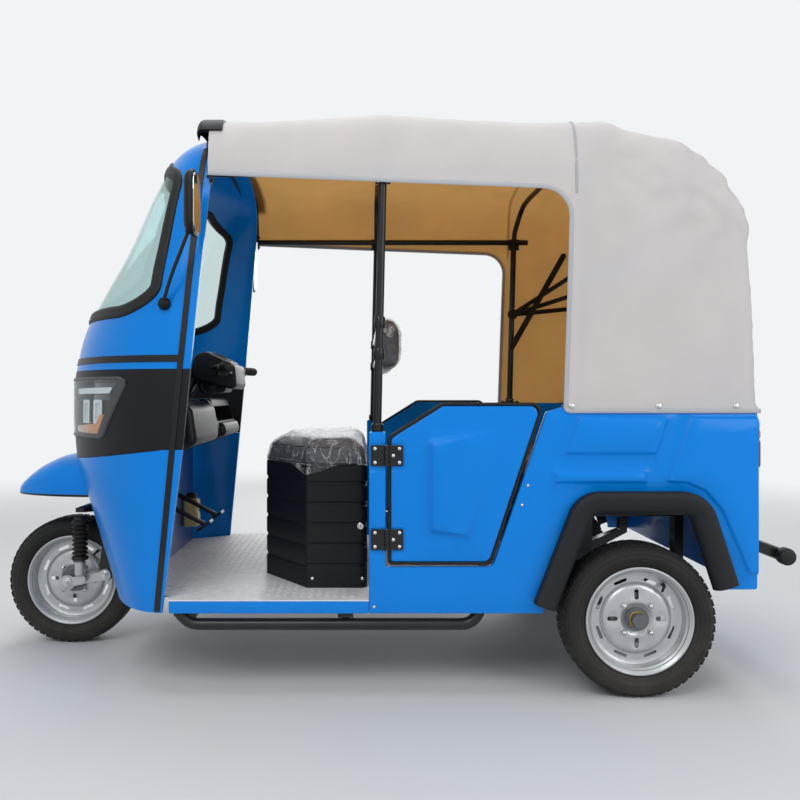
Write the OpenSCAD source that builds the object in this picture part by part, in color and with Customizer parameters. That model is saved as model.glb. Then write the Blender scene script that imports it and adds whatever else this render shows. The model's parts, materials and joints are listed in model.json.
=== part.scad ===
// Three-wheeled passenger auto rickshaw: blue cab and tub, canvas hood on a tube frame.
// Millimetres. +X forward, +Y to the vehicle's left, +Z up. Origin on the ground, mid-length.

/* [Overall] */
// Distance between the front and rear axles
wheelbase = 2000; // [1900:10:2100]
// Rear axle to the back of the bumper caps
rear_overhang = 532; // [500:2:580]
// Width across the blue side panels
body_w = 1220; // [1200:2:1240]
// Rear wheels' centre planes inside the side panels' outer faces
wheel_set = 40; // [30:1:50]
// Height of the canvas roof at the second bow
roof_z = 1904; // [1880:2:1930]
// Height of the floor's upper face
floor_z = 308; // [300:1:320]

/* [Wheels] */
// Tyre outside diameter
tyre_od = 486; // [476:2:492]
// Tyre section width
tyre_w = 135; // [125:1:140]
// Rim diameter over its flanges
rim_od = 344; // [336:2:352]
// Rim width over its flanges
rim_w = 110; // [100:1:116]

/* [Cab] */
// Door-opening edge of the cab, behind the front axle, at the sill
cab_edge_set = 490; // [480:2:500]
// How far the door-opening edge leans back from sill to roof
cab_lean = 150; // [130:2:170]
// Nose ahead of the door-opening edge
nose_reach = 455; // [440:1:470]
// Top of the cab shell below the roof
cab_drop = 38; // [34:1:50]
// Wall of the cab shell
cab_wall = 14; // [10:1:18]
// Half width of the opening for the front wheel
wheel_bay_half = 255; // [245:1:270]

/* [Steering] */
// Steering axis lean from vertical, in degrees
rake = 28; // [26:0.5:29]
// Axle ahead of the steering axis, level with the axle
axle_lead = 40; // [34:1:46]
// Handlebar length over the grips
bar_span = 660; // [620:5:700]

/* [Tub] */
// Front face of the door post, ahead of the rear axle
post_set = 856; // [840:2:870]
// Width of the door post along the vehicle
post_w = 54; // [48:1:60]
// Top of the door post
post_top_z = 841; // [820:1:860]
// Top of the door
door_top_z = 934; // [924:1:944]
// Underside of the door
door_foot_z = 419; // [405:1:430]
// Length of the door along its top and slanted corner
door_len = 504; // [490:2:520]
// Underside of the side panels
sill_z = 264; // [255:1:272]
// Top edge of the side panels
tub_top_z = 921; // [912:1:930]
// Back of the tub behind the rear axle
tub_tail = 378; // [366:2:390]
// Wall of the side panels and doors
panel_t = 22; // [18:1:26]

/* [Seats] */
// Height of the driver's seat box
seat_box_h = 414; // [395:1:430]
// Thickness of the driver's cushion
cushion_t = 84; // [70:1:95]
// Air between the passenger bench and the side panels
bench_air = 13; // [6:1:20]

/* [Hood] */
// Hem of the canvas over the door opening, below the roof
hem_drop = 264; // [240:2:280]
// Canvas thickness
canvas_t = 6; // [5:0.5:8]
// Frame tube diameter
tube_d = 26; // [24:1:30]

/* [Hidden] */
$fn = 64;
// Passes cuts clear of the faces that they open
overrun = 40;
// Air between pieces that seat on each other
seat_gap = 0.3;
// Air round shafts and pins
bearing_gap = 0.3;
// Air between moving and fixed panels
panel_gap = 6;
arc_steps = 6;

// Reference places
wheel_r = tyre_od / 2;
front_axle_x = (wheelbase + rear_overhang - wheel_r) / 2;
rear_axle_x = front_axle_x - wheelbase;
side_y = body_w / 2;
wheel_y = side_y - wheel_set;
inner_y = side_y - panel_t;
post_x = rear_axle_x + post_set;
door_front_x = post_x - post_w;
tail_x = rear_axle_x - tub_tail;
cab_edge_x = front_axle_x - cab_edge_set;
cab_top_z = roof_z - cab_drop;
hem_z = roof_z - hem_drop;
bench_w = 2 * (inner_y - bench_air);

// Rounded outlines: each corner is [x, y, radius]
function unit(v) = v / norm(v);
function corner(p0, p1, p2, r) =
    let (a = unit([p0.x - p1.x, p0.y - p1.y]), b = unit([p2.x - p1.x, p2.y - p1.y]),
         half = acos(max(-1, min(1, a * b))) / 2, reach = r / tan(half),
         centre = [p1.x, p1.y] + unit(a + b) * r / sin(half),
         s = [p1.x, p1.y] + a * reach - centre, e = [p1.x, p1.y] + b * reach - centre,
         from = atan2(s.y, s.x), turn = atan2(e.y, e.x) - from,
         sweep = turn > 180 ? turn - 360 : turn < -180 ? turn + 360 : turn)
    [for (i = [0 : arc_steps]) centre + r * [cos(from + sweep * i / arc_steps),
        sin(from + sweep * i / arc_steps)]];
function rounded(p) =
    [for (i = [0 : len(p) - 1])
        each (p[i][2] > 0 ? corner(p[(i + len(p) - 1) % len(p)], p[i], p[(i + 1) % len(p)], p[i][2])
                          : [[p[i].x, p[i].y]])];

// A side-view outline, thick inwards from y_out
module side_plate(y_out, thick) {
    translate([0, y_out, 0]) rotate([90, 0, 0]) linear_extrude(height = thick) children();
}
// A front-view outline, thick forwards from x_back
module front_plate(x_back, thick) {
    translate([x_back, 0, 0]) rotate([90, 0, 90]) linear_extrude(height = thick) children();
}
module both_sides() {
    children();
    mirror([0, 1, 0]) children();
}
// A straight round bar between two points
module bar(p, q, r) {
    d = q - p;
    translate(p) rotate([0, acos(d.z / norm(d)), atan2(d.y, d.x)]) cylinder(r = r, h = norm(d));
}
// A bent round tube along points that turn gently
tube_sides = 10;
module tube(path, r) {
    last = len(path) - 1;
    rings = [for (i = [0 : last])
        let (t = unit(path[min(i + 1, last)] - path[max(i - 1, 0)]),
             side = abs(t.y) > abs(t.x) ? unit(cross(t, [1, 0, 0])) : unit(cross(t, [0, 1, 0])),
                 up = cross(side, t))
        for (k = [0 : tube_sides - 1])
            path[i] + r * (cos(360 * k / tube_sides) * side + sin(360 * k / tube_sides) * up)];
    walls = [for (i = [0 : last - 1], k = [0 : tube_sides - 1])
        let (a = i * tube_sides + k, b = i * tube_sides + (k + 1) % tube_sides)
        [a, b, b + tube_sides, a + tube_sides]];
    polyhedron(rings, concat(walls, [[for (k = [tube_sides - 1 : -1 : 0]) k],
                                     [for (k = [0 : tube_sides - 1]) last * tube_sides + k]]));
}

// Cab shell: half ellipses stacked from sill to roof
// Columns: height share, nose share, half-width share
cab_shares = [
    [0.000, 0.594, 0.984], [0.090, 0.720, 0.984], [0.183, 0.840, 0.984], [0.288, 0.972, 0.984],
    [0.394, 1.000, 0.984], [0.455, 1.000, 0.982], [0.512, 0.966, 0.978], [0.554, 0.931, 0.973],
    [0.616, 0.838, 0.965], [0.680, 0.705, 0.955], [0.740, 0.573, 0.943], [0.800, 0.462, 0.931],
    [0.858, 0.364, 0.915], [0.905, 0.268, 0.885], [0.938, 0.198, 0.835], [0.963, 0.130, 0.745],
    [0.983, 0.045, 0.620], [1.000, -0.076, 0.400]];
cab_h = cab_top_z - sill_z;
cab_arc_steps = 16;
// Rows closer together than this are left out
row_air = 1;
function cab_z(u) = sill_z + cab_h * u;
function cab_u(z) = (z - sill_z) / cab_h;
function cab_back(z) = cab_edge_x - cab_lean * cab_u(z);
function cab_nose(z) = cab_edge_x + nose_reach * lookup(cab_u(z), [for (s = cab_shares) [s[0], s[1]]]);
function cab_half(z) = side_y * lookup(cab_u(z), [for (s = cab_shares) [s[0], s[2]]]);
// The solid inside the cab's outer skin between two heights, taken in by inset and run back by tail
module cab_solid(inset, tail, low, high) {
    rows = concat([low],
        [for (s = cab_shares) let (z = cab_z(s[0])) if (z > low + row_air && z < high - row_air) z], [high]);
    n = cab_arc_steps + 3;
    last = len(rows) - 1;
    points = [for (i = [0 : last])
        let (z = rows[i], back = cab_back(z), deep = max(cab_nose(z) - back - inset, cab_wall),
            half = cab_half(z) - inset,
             at = i == 0 ? z - tail : i == last && high == cab_top_z ? z - inset : i == last ? z + tail : z)
        each concat([for (k = [0 : cab_arc_steps])
                        [back + deep * cos(180 * k / cab_arc_steps - 90),
                            half * sin(180 * k / cab_arc_steps - 90), at]],
                    [[back - tail, half, at], [back - tail, -half, at]])];
    faces = [for (i = [0 : last - 1], k = [0 : n - 1])
        [i * n + k, (i + 1) * n + k, (i + 1) * n + (k + 1) % n, i * n + (k + 1) % n]];
    polyhedron(points, concat(faces, [[for (k = [0 : n - 1]) k],
        [for (k = [n - 1 : -1 : 0]) last * n + k]]));
}
edge_return = 12;
module cab_shell(outer, inner, low, high) {
    difference() {
        cab_flush(outer, low, high);
        cab_solid(inner, overrun, low, high);
    }
}
// The same solid with level ends and a short return behind the door-opening edge
module cab_flush(inset, low, high) {
    intersection() {
        cab_solid(inset, edge_return, low, high);
        translate([cab_edge_x - wheelbase / 2, -body_w, low])
            cube([wheelbase, 2 * body_w, high - low + (high == cab_top_z ? overrun : 0)]);
    }
}

// Belt lines of the cab, each from the nose to the door-opening edge
belt_top_z = 1042;
belt_nose_z = 722;
belt_edge_z = 784;
strip_z = 1066;
strip_h = 18;
strip_t = 3;
// Air under the trim strips, which follow the shell's flats
trim_gap = 1.2;
far_x = front_axle_x + wheel_r;
// The region below the belt's slanting lower edge, shifted by drop
module under_belt(drop) {
    side_plate(body_w, 2 * body_w)
        polygon([[post_x, 0], [far_x, 0], [far_x, belt_nose_z - drop], [front_axle_x, belt_nose_z - drop],
                 [cab_edge_x, belt_edge_z - drop], [post_x, belt_edge_z - drop]]);
}

// Windscreen outline in the front view, placed between the belt's top and the cab's top
upper_h = cab_top_z - belt_top_z;
screen_foot_share = 0.2146;
screen_top_share = 0.8795;
screen_shoulder_share = 0.7803;
screen_foot_z = belt_top_z + upper_h * screen_foot_share;
screen_top_z = belt_top_z + upper_h * screen_top_share;
screen_shoulder_z = belt_top_z + upper_h * screen_shoulder_share;
screen_foot_half_share = 0.905;
screen_top_half_share = 0.800;
screen_crown_half_share = 0.500;
screen_r = 90;
seal_w = 34;
seal_proud = 5;
glass_t = 5;
glass_set = 5;
module screen_outline(inset) {
    foot = side_y * screen_foot_half_share - inset / 3;
    shoulder = side_y * screen_top_half_share - inset / 3;
    crown = side_y * screen_crown_half_share;
    polygon(rounded([
        [-foot, screen_foot_z + inset, screen_r], [foot, screen_foot_z + inset, screen_r],
        [shoulder, screen_shoulder_z - inset / 2, screen_r], [crown, screen_top_z - inset, screen_r],
        [-crown, screen_top_z - inset, screen_r], [-shoulder, screen_shoulder_z - inset / 2, screen_r]]));
}
module screen_cut(inset) {
    front_plate(cab_edge_x - cab_lean + edge_return, wheelbase) screen_outline(inset);
}

module upper_cowl() {
    color("dodgerblue") difference() {
        cab_shell(0, cab_wall, belt_top_z, cab_top_z);
        screen_cut(0);
    }
}
module belt_strip() {
    difference() {
        cab_shell(-strip_t - trim_gap, -trim_gap, strip_z, strip_z + strip_h);
        translate([cab_edge_x - wheelbase, -body_w, 0])
            cube([wheelbase + cab_back(strip_z) + edge_return + strip_w / 2 - cab_edge_x, 2 * body_w, cab_h]);
    }
}
module windscreen_seal() {
    color("black") difference() {
        intersection() {
            cab_shell(-seal_proud, cab_wall, screen_low_z, screen_high_z);
            screen_cut(seat_gap);
        }
        screen_cut(seal_w);
    }
}
module windscreen() {
    color("lightcyan", 0.4) intersection() {
        cab_shell(glass_set, glass_set + glass_t, screen_low_z, screen_high_z);
        screen_cut(seal_w + seat_gap);
    }
}
screen_low_z = screen_foot_z - seal_w;
screen_high_z = screen_top_z + seal_w;

// Headlamp outline in the side view
lamp_top_z = 1014;
lamp_foot_z = 816;
lamp_top_back_x_set = 366;
lamp_top_back_x = front_axle_x - lamp_top_back_x_set;
lamp_foot_back_x_set = 264;
lamp_foot_back_x = front_axle_x - lamp_foot_back_x_set;
lamp_inner_y = 150;
lamp_r = 16;
lens_t = 5;
bowl_deep = 60;
bowl_wall = 8;
module lamp_cut(inset) {
    both_sides() side_plate(body_w, body_w - lamp_inner_y - inset)
        polygon(rounded([[far_x, lamp_foot_z + inset, 0],
            [lamp_foot_back_x + inset, lamp_foot_z + inset, lamp_r],
                         [lamp_top_back_x + inset, lamp_top_z - inset, lamp_r],
                             [far_x, lamp_top_z - inset, 0]]));
}
module belt_panel() {
    color("dimgray") difference() {
        cab_shell(0, cab_wall, belt_nose_z, belt_top_z - seat_gap);
        under_belt(0);
        lamp_cut(0);
    }
}
module headlamp_lenses() {
    color("lightgray", 0.5) intersection() {
        cab_shell(-lens_t, lens_t, lamp_foot_z, lamp_top_z);
        lamp_cut(seat_gap);
    }
}
module headlamp_bowls() {
    color("silver") difference() {
        intersection() {
            cab_shell(lens_t + seat_gap, bowl_deep, lamp_foot_z, lamp_top_z);
            lamp_cut(seat_gap);
        }
        intersection() {
            cab_shell(0, bowl_deep - bowl_wall, lamp_foot_z, lamp_top_z);
            lamp_cut(bowl_wall);
        }
    }
}

// Leg shield, open in front for the wheel
bay_top_z = 600;
module wheel_bay() {
    translate([cab_edge_x, -wheel_bay_half, 0]) cube([wheelbase, 2 * wheel_bay_half, bay_top_z]);
}
module leg_shield() {
    color("dodgerblue") difference() {
        intersection() {
            cab_shell(0, cab_wall, sill_z, belt_edge_z);
            under_belt(seat_gap);
        }
        wheel_bay();
    }
}

// Trim along the door-opening edge of the cab
strip_w = 20;
edge_strip_t = 4;
module edge_strips() {
    intersection() {
        cab_shell(-edge_strip_t - trim_gap, -trim_gap, sill_z, trim_top_z);
        side_plate(body_w, 2 * body_w)
            polygon([[cab_back(sill_z) + edge_return, sill_z],
                [cab_back(sill_z) + edge_return + strip_w, sill_z],
                     [cab_back(trim_top_z) + edge_return + strip_w, trim_top_z],
                         [cab_back(trim_top_z) + edge_return, trim_top_z]]);
    }
}
trim_drop = 92;
trim_top_z = cab_top_z - trim_drop;
module cab_trim() {
    color("black") {
        belt_strip();
        edge_strips();
    }
}

// Lofts over hoops. Columns: foot x, foot z, crown x, crown z, half width
// Cross shape of every hoop: half-width share, height share
hoop_shares = [[1.000, 0.000], [1.000, 0.400], [0.988, 0.740], [0.972, 0.850], [0.940, 0.928],
               [0.870, 0.970], [0.700, 0.988], [0.350, 0.997], [0.000, 1.000]];
function hoop_point(h, share, inset) =
    let (y = (h[4] - inset) * share[0], rise = share[1])
    [h[0] + (h[2] - h[0]) * rise, y, h[1] + (h[3] - inset - h[1]) * rise];
function hoop_path(h, inset, from) =
    let (n = len(hoop_shares) - 1)
    [for (i = [-n : n]) let (p = hoop_point(h, hoop_shares[n - abs(i)], inset)) if (p.z >= from) [p.x,
        sign(i) * p.y, p.z]];
module hoop_loft(hoops, inset, first_push, last_push) {
    n = 2 * len(hoop_shares) - 1;
    last = len(hoops) - 1;
    points = [for (i = [0 : last])
        let (push = i == 0 ? first_push : i == last ? last_push : 0)
        for (p = hoop_path(hoops[i], inset, -body_w)) p + [push, 0, 0]];
    walls = [for (i = [0 : last - 1], k = [0 : n - 1])
        [i * n + k, (i + 1) * n + k, (i + 1) * n + (k + 1) % n, i * n + (k + 1) % n]];
    polyhedron(points, concat(walls, [[for (k = [0 : n - 1]) k],
        [for (k = [n - 1 : -1 : 0]) last * n + k]]));
}

// Front mudguard
guard_tip_set = 187;
guard_root_set = 100;
guard_foot_z = 592;
// Columns: place share from root to tip, crown share, half-width share
guard_shares = [[1.00, 0.08, 0.40], [0.94, 0.24, 0.52], [0.82, 0.46, 0.66], [0.62, 0.72, 0.80],
    [0.34, 0.93, 0.92], [0.00, 1.00, 1.00]];
guard_rise = 150;
guard_half = 235;
guard_t = 10;
guard_hoops = [for (s = guard_shares)
    let (x = front_axle_x - guard_root_set + (guard_tip_set + guard_root_set) * s[0])
    [x, guard_foot_z, x, guard_foot_z + guard_rise * s[1], guard_half * s[2]]];
module front_mudguard() {
    color("dodgerblue") difference() {
        hoop_loft(guard_hoops, 0, 0, 0);
        translate([0, 0, -guard_t]) hoop_loft(guard_hoops, guard_t, -guard_t, -overrun);
        cab_solid(-seat_gap, overrun, guard_foot_z - guard_rise, guard_foot_z + 2 * guard_rise);
    }
}

// Canvas hood
hood_front_x_set = 632;
hood_front_x = front_axle_x - hood_front_x_set;
bow_b_x_set = 9;
bow_b_x = door_front_x + bow_b_x_set;
bow_c_x_set = 98;
bow_c_x = rear_axle_x + bow_c_x_set;
canvas_foot_z_set = 14;
canvas_foot_z = tub_top_z - canvas_foot_z_set;
canvas_half = side_y + seat_gap + canvas_t;
c_foot_x_set = 192;
c_foot_x = rear_axle_x + c_foot_x_set;
// Columns: foot x, foot z, crown x, crown z, half width
front_drop = 26;
c_drop = 26;
d1_drop = 97;
d2_drop = 204;
d3_drop = 322;
tail_flare = 6;
tail_lean = 22;
d1_foot_share = 0.30;
d1_crown_share = 0.492;
d2_foot_share = 0.66;
d2_crown_share = 0.785;
hood_hoops = [
    [hood_front_x, canvas_foot_z, hood_front_x, roof_z - front_drop, canvas_half],
    [bow_b_x, canvas_foot_z, bow_b_x, roof_z, canvas_half],
    [c_foot_x, canvas_foot_z, bow_c_x, roof_z - c_drop, canvas_half],
    [rear_axle_x - tub_tail * d1_foot_share, canvas_foot_z, rear_axle_x - tub_tail * d1_crown_share,
        roof_z - d1_drop, canvas_half],
    [rear_axle_x - tub_tail * d2_foot_share, canvas_foot_z, rear_axle_x - tub_tail * d2_crown_share,
        roof_z - d2_drop, canvas_half],
    [tail_x - tail_flare, canvas_foot_z, tail_x - tail_flare + tail_lean, roof_z - d3_drop, canvas_half]];
opening_back_x_set = 30;
opening_back_x = c_foot_x + opening_back_x_set;
opening_r = 95;
opening_lean = 12;
// The hem falls by twice this from front to back
hem_fall = 23;
module side_opening() {
    side_plate(body_w, 2 * body_w)
        polygon(rounded([[opening_back_x + opening_lean, 0, 0],
                         [opening_back_x - opening_lean, hem_z - hem_fall, opening_r],
                         [hood_front_x, hem_z + hem_fall, 0], [hood_front_x + overrun, hem_z + hem_fall, 0],
                         [hood_front_x + overrun, 0, 0]]));
}
rear_window_w = 620;
rear_window_h_share = 0.384;
rear_window_foot_share = 0.403;
rear_window_h = (roof_z - d3_drop - canvas_foot_z) * rear_window_h_share;
rear_window_z = canvas_foot_z + (roof_z - d3_drop - canvas_foot_z) * rear_window_foot_share;
rear_window_r = 50;
film_t = 3;
module rear_window_outline(inset) {
    half = rear_window_w / 2 - inset;
    polygon(rounded([[-half, rear_window_z + inset, rear_window_r],
        [half, rear_window_z + inset, rear_window_r],
                     [half, rear_window_z + rear_window_h - inset, rear_window_r],
                     [-half, rear_window_z + rear_window_h - inset, rear_window_r]]));
}
module canvas_hood() {
    color("whitesmoke") difference() {
        hoop_loft(hood_hoops, 0, 0, 0);
        hoop_loft(hood_hoops, canvas_t, overrun, canvas_t);
        translate([tail_x + canvas_t - tail_flare, -side_y - seat_gap, canvas_foot_z - overrun])
            cube([wheelbase, body_w + 2 * seat_gap, 2 * overrun]);
        side_opening();
        front_plate(tail_x - overrun, 2 * overrun) rear_window_outline(0);
    }
}
module rear_window() {
    color("lightcyan", 0.5) intersection() {
        difference() {
            hoop_loft(hood_hoops, 0, 0, 0);
            hoop_loft(hood_hoops, film_t, overrun, film_t);
        }
        front_plate(tail_x - overrun, 2 * overrun) rear_window_outline(seat_gap);
    }
}
visor_len = 84;
visor_t = 16;
visor_rise = 7;
visor_drop = 106;
visor_foot_z = roof_z - visor_drop;
module header_visor() {
    hoops = [for (i = [0, 1])
        let (step = visor_len / 2 - visor_len * i)
        hood_hoops[0] + [step, 0, step, visor_rise, visor_rise]];
    color("dimgray") difference() {
        hoop_loft(hoops, 0, 0, 0);
        hoop_loft([hoops[0] , hoops[1]], visor_t, overrun, -overrun);
        translate([hood_front_x - wheelbase / 2, -body_w, 0]) cube([wheelbase, 2 * body_w, visor_foot_z]);
        cab_solid(-seat_gap, overrun, visor_foot_z - visor_t, cab_top_z);
        hoop_loft(hood_hoops, -seat_gap, 0, 0);
    }
}

// Hood frame
tube_r = tube_d / 2;
frame_air = 3;
frame_inset = canvas_t + tube_r + frame_air;
rail_rise = 28;
rail_z = hem_z + rail_rise;
rail_y_set = 25;
rail_y = side_y - rail_y_set;
rail_front_x_set = 14;
rail_front_x = cab_back(rail_z) - rail_front_x_set;
rail_back_x_set = 84;
rail_back_x = c_foot_x - rail_back_x_set;
pole_foot_x = door_front_x + post_w / 2;
brace_share = 0.36;
brace_z = tub_top_z + (rail_z - tub_top_z) * brace_share;
brace_drop = 100;
pole_lean = 20;
brace_x_set = 10;
brace_x = pole_foot_x - brace_x_set;
brace_r = 11;
iron_share = 0.549;
iron_z = tub_top_z + (rail_z - tub_top_z) * iron_share;
iron_x = c_foot_x - pole_lean / 2;
iron_y = rail_y - tube_r;
// Fold-down bows: each leg runs straight from the pivot to the bow's shoulder
function bow_path(h) =
    let (top = [for (p = hoop_path(h, frame_inset,
        h[1] + (h[3] - h[1]) * hoop_shares[2][1] - row_air)) p])
    concat([[iron_x, -iron_y, iron_z]], top, [[iron_x, iron_y, iron_z]]);
// Roof bows: both ends stand in the side rails
bow_sink = 4;
function rail_bow_path(h) =
    let (x = h[0] + (h[2] - h[0]) * (rail_z - h[1]) / (h[3] - h[1]))
    concat([[x, -rail_y, rail_z - bow_sink]], hoop_path(h, frame_inset, rail_z + 2 * tube_d), [[x,
        rail_y, rail_z - bow_sink]]);
module hood_frame() {
    color("black") {
        hood_irons();
        both_sides() {
            bar([rail_back_x, rail_y, rail_z], [rail_front_x, rail_y, rail_z], tube_r * rail_share);
            bar([pole_foot_x, rail_y, post_top_z + seat_gap], [bow_b_x, rail_y, rail_z], tube_r);
            bar([c_foot_x, rail_y, tub_top_z + seat_gap], [c_foot_x - pole_lean, rail_y, rail_z], tube_r);
        }
        for (z = [brace_z, brace_z - brace_drop])
            bar([brace_x, -rail_y, z], [brace_x, rail_y, z], brace_r);
        for (i = [1, 2]) tube(rail_bow_path(hood_hoops[i]), tube_r * roof_bow_share);
        for (h = [hood_hoops[3], hood_hoops[4] + bow_step / 2, hood_hoops[5] + bow_step])
            tube(bow_path(h), tube_r * bow_share);
    }
}
bow_share = 0.8;
// The last two bows stand ahead of the slope that they carry
bow_step = [frame_inset, 0, frame_inset, 0, 0];
roof_bow_share = 0.88;
rail_share = 0.94;
// Scissor stay from the pole to the first fold-down bow
iron_t = 6;
iron_w = 26;
iron_knee_x = rear_axle_x - iron_w * 2;
iron_drop = 68;
iron_knee_z = rail_z - iron_drop;
iron_foot_share = 0.347;
iron_foot_z = tub_top_z + (rail_z - tub_top_z) * iron_foot_share;
module link(a, b) {
    d = b - a;
    translate([a.x, a.y]) rotate(atan2(d.y, d.x)) {
        translate([0, -iron_w / 2]) square([norm(d), iron_w]);
        circle(d = iron_w);
        translate([norm(d), 0]) circle(d = iron_w);
    }
}
module hood_irons() {
    foot_x = c_foot_x - pole_lean * (iron_foot_z - tub_top_z) / (rail_z - tub_top_z);
    plate_y = iron_y - tube_r - seat_gap;
    both_sides() {
        side_plate(plate_y, iron_t) link([foot_x, iron_foot_z], [iron_knee_x, iron_knee_z]);
        bar([foot_x, plate_y - iron_t / 2, iron_foot_z],
            [foot_x, iron_y - seat_gap, iron_foot_z], iron_w / 4);
    }
}

// Chassis
rail_w = 40;
rail_h = 60;
rail_share_y = 0.492;
rail_half = side_y * rail_share_y;
floor_t = 4;
deck_z = 606;
deck_t = 16;
chassis_front_x_set = 290;
chassis_front_x = front_axle_x - chassis_front_x_set;
kick_foot_x_set = 400;
kick_foot_x = rear_axle_x + kick_foot_x_set;
kick_top_x_set = 280;
kick_top_x = rear_axle_x + kick_top_x_set;
chassis_back_x_set = 40;
chassis_back_x = tail_x + chassis_back_x_set;
low_top = floor_z - floor_t;
high_top = deck_z - deck_t;
cross_w = 50;
kick_set = 40;
sill_t = 30;
head_foot_s = 420;
head_len = 170;
head_r = 36;
stem_r = 25;
module on_steering_axis(s) {
    translate([front_axle_x - axle_lead, 0, wheel_r]) rotate([0, -rake, 0])
        translate([0, 0, s]) children();
}
function axis_x(z) = front_axle_x - axle_lead - (z - wheel_r) * tan(rake);
module chassis_frame() {
    color("black") difference() {
        union() {
            both_sides() side_plate(rail_half + rail_w / 2, rail_w)
                polygon([[chassis_front_x, low_top - rail_h], [chassis_front_x, low_top],
                    [kick_foot_x, low_top],
                         [kick_top_x, high_top], [chassis_back_x, high_top],
                             [chassis_back_x, high_top - rail_h],
                         [kick_top_x - kick_set, high_top - rail_h],
                             [kick_foot_x - kick_set, low_top - rail_h]]);
            for (x = [chassis_front_x - cross_w, kick_foot_x])
                translate([x, -rail_half, low_top - rail_h]) cube([cross_w, 2 * rail_half, rail_h]);
            for (x = [kick_top_x - 2 * cross_w, chassis_back_x])
                translate([x, -rail_half, high_top - rail_h]) cube([cross_w, 2 * rail_half, rail_h]);
            for (x = [cab_edge_x - 2 * cross_w, post_x + cross_w])
                translate([x, -side_y + sill_t, low_top - rail_h])
                    cube([cross_w, body_w - 2 * sill_t, rail_h]);
            on_steering_axis(head_foot_s) cylinder(r = head_r, h = head_len);
            side_plate(strut_half, 2 * strut_half)
                polygon([[bulkhead_x + bulkhead_t + seat_gap, low_top - rail_h / 2],
                    [chassis_front_x - rail_h / 4, low_top - rail_h / 2],
                         [axis_x(head_low_z), head_low_z], [axis_x(head_high_z), head_high_z]]);
        }
        on_steering_axis(head_foot_s - overrun)
            cylinder(r = stem_r + bearing_gap, h = head_len + 2 * overrun);
    }
}
strut_half = 22;
head_low_z = wheel_r + (head_foot_s + head_len / 4) * cos(rake);
head_high_z = wheel_r + (head_foot_s + head_len * 3 / 4) * cos(rake);

// Floor, sills, bulkhead
bulkhead_x_set = 355;
bulkhead_x = front_axle_x - bulkhead_x_set;
bulkhead_top_z = 742;
bulkhead_t = 6;
module floor_plate() {
    color("silver") translate([riser_x, -side_y, floor_z - floor_t])
        intersection() {
            cube([bulkhead_x - riser_x, body_w, floor_t]);
            floor_outline();
        }
}
riser_x_set = 436;
riser_x = rear_axle_x + riser_x_set;
riser_t = 6;
module floor_outline() {
    translate([0, side_y, 0]) linear_extrude(height = floor_t) polygon([
        [0, -inner_y + seat_gap], [post_x - riser_x - post_w - seat_gap, -inner_y + seat_gap],
        [post_x - riser_x - post_w - seat_gap, -inner_y + seat_gap],
            [post_x - riser_x + seat_gap, -inner_y + seat_gap],
        [post_x - riser_x + seat_gap, -side_y], [floor_front_x - riser_x, -side_y],
        [floor_front_x - riser_x, -floor_front_half],
        [bulkhead_x - riser_x, -floor_nose_half], [bulkhead_x - riser_x, floor_nose_half],
        [floor_front_x - riser_x, floor_front_half],
        [floor_front_x - riser_x, side_y], [post_x - riser_x + seat_gap, side_y],
        [post_x - riser_x + seat_gap, inner_y - seat_gap], [0, inner_y - seat_gap]]);
}
floor_air = 2;
floor_front_x = cab_back(floor_z) - edge_return - floor_air;
floor_front_share = 0.918;
floor_nose_share = 0.787;
floor_front_half = side_y * floor_front_share;
floor_nose_half = side_y * floor_nose_share;
module sills() {
    color("dodgerblue") both_sides()
        translate([post_x + seat_gap, side_y - sill_t, sill_z])
            cube([floor_front_x - post_x - seat_gap, sill_t, low_top - sill_z]);
}
module bulkhead() {
    color("navy") front_plate(bulkhead_x, bulkhead_t)
        polygon(rounded([[-floor_nose_half, low_top, 0], [floor_nose_half, low_top, 0],
                         [floor_nose_half, bulkhead_top_z, bulkhead_r],
                             [-floor_nose_half, bulkhead_top_z, bulkhead_r]]));
}
bulkhead_r = 60;

// Dash
dash_back_x_set = 545;
dash_back_x = front_axle_x - dash_back_x_set;
dash_front_x = bulkhead_x - seat_gap;
dash_top_z = 944;
dash_foot_z = 776;
dash_half_share = 0.852;
dash_half = side_y * dash_half_share;
dash_r = 40;
column_hole_r = 62;
module dash() {
    color("dimgray") difference() {
        side_plate(dash_half, 2 * dash_half)
            polygon(rounded([[dash_back_x, dash_foot_z + dash_r, 0],
                [dash_front_x, dash_foot_z - dash_r, 0],
                             [dash_front_x, dash_top_z, 0], [dash_back_x + dash_r, dash_top_z, dash_r]]));
        on_steering_axis(head_foot_s + head_len) cylinder(r = column_hole_r, h = wheelbase);
        side_plate(column_hole_r, 2 * column_hole_r)
            polygon([[axis_x(dash_foot_z) , dash_foot_z - overrun],
                [axis_x(dash_top_z), dash_top_z + overrun],
                     [far_x, dash_top_z + overrun], [far_x, dash_foot_z - overrun]]);
        translate([dash_back_x - overrun, -body_w, dash_pocket_z])
            cube([dash_pocket_deep + overrun, body_w - column_hole_r - dash_r, dash_pocket_h]);
    }
}
dash_pocket_z = 850;
dash_pocket_h = 60;
dash_pocket_deep = 90;

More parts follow.
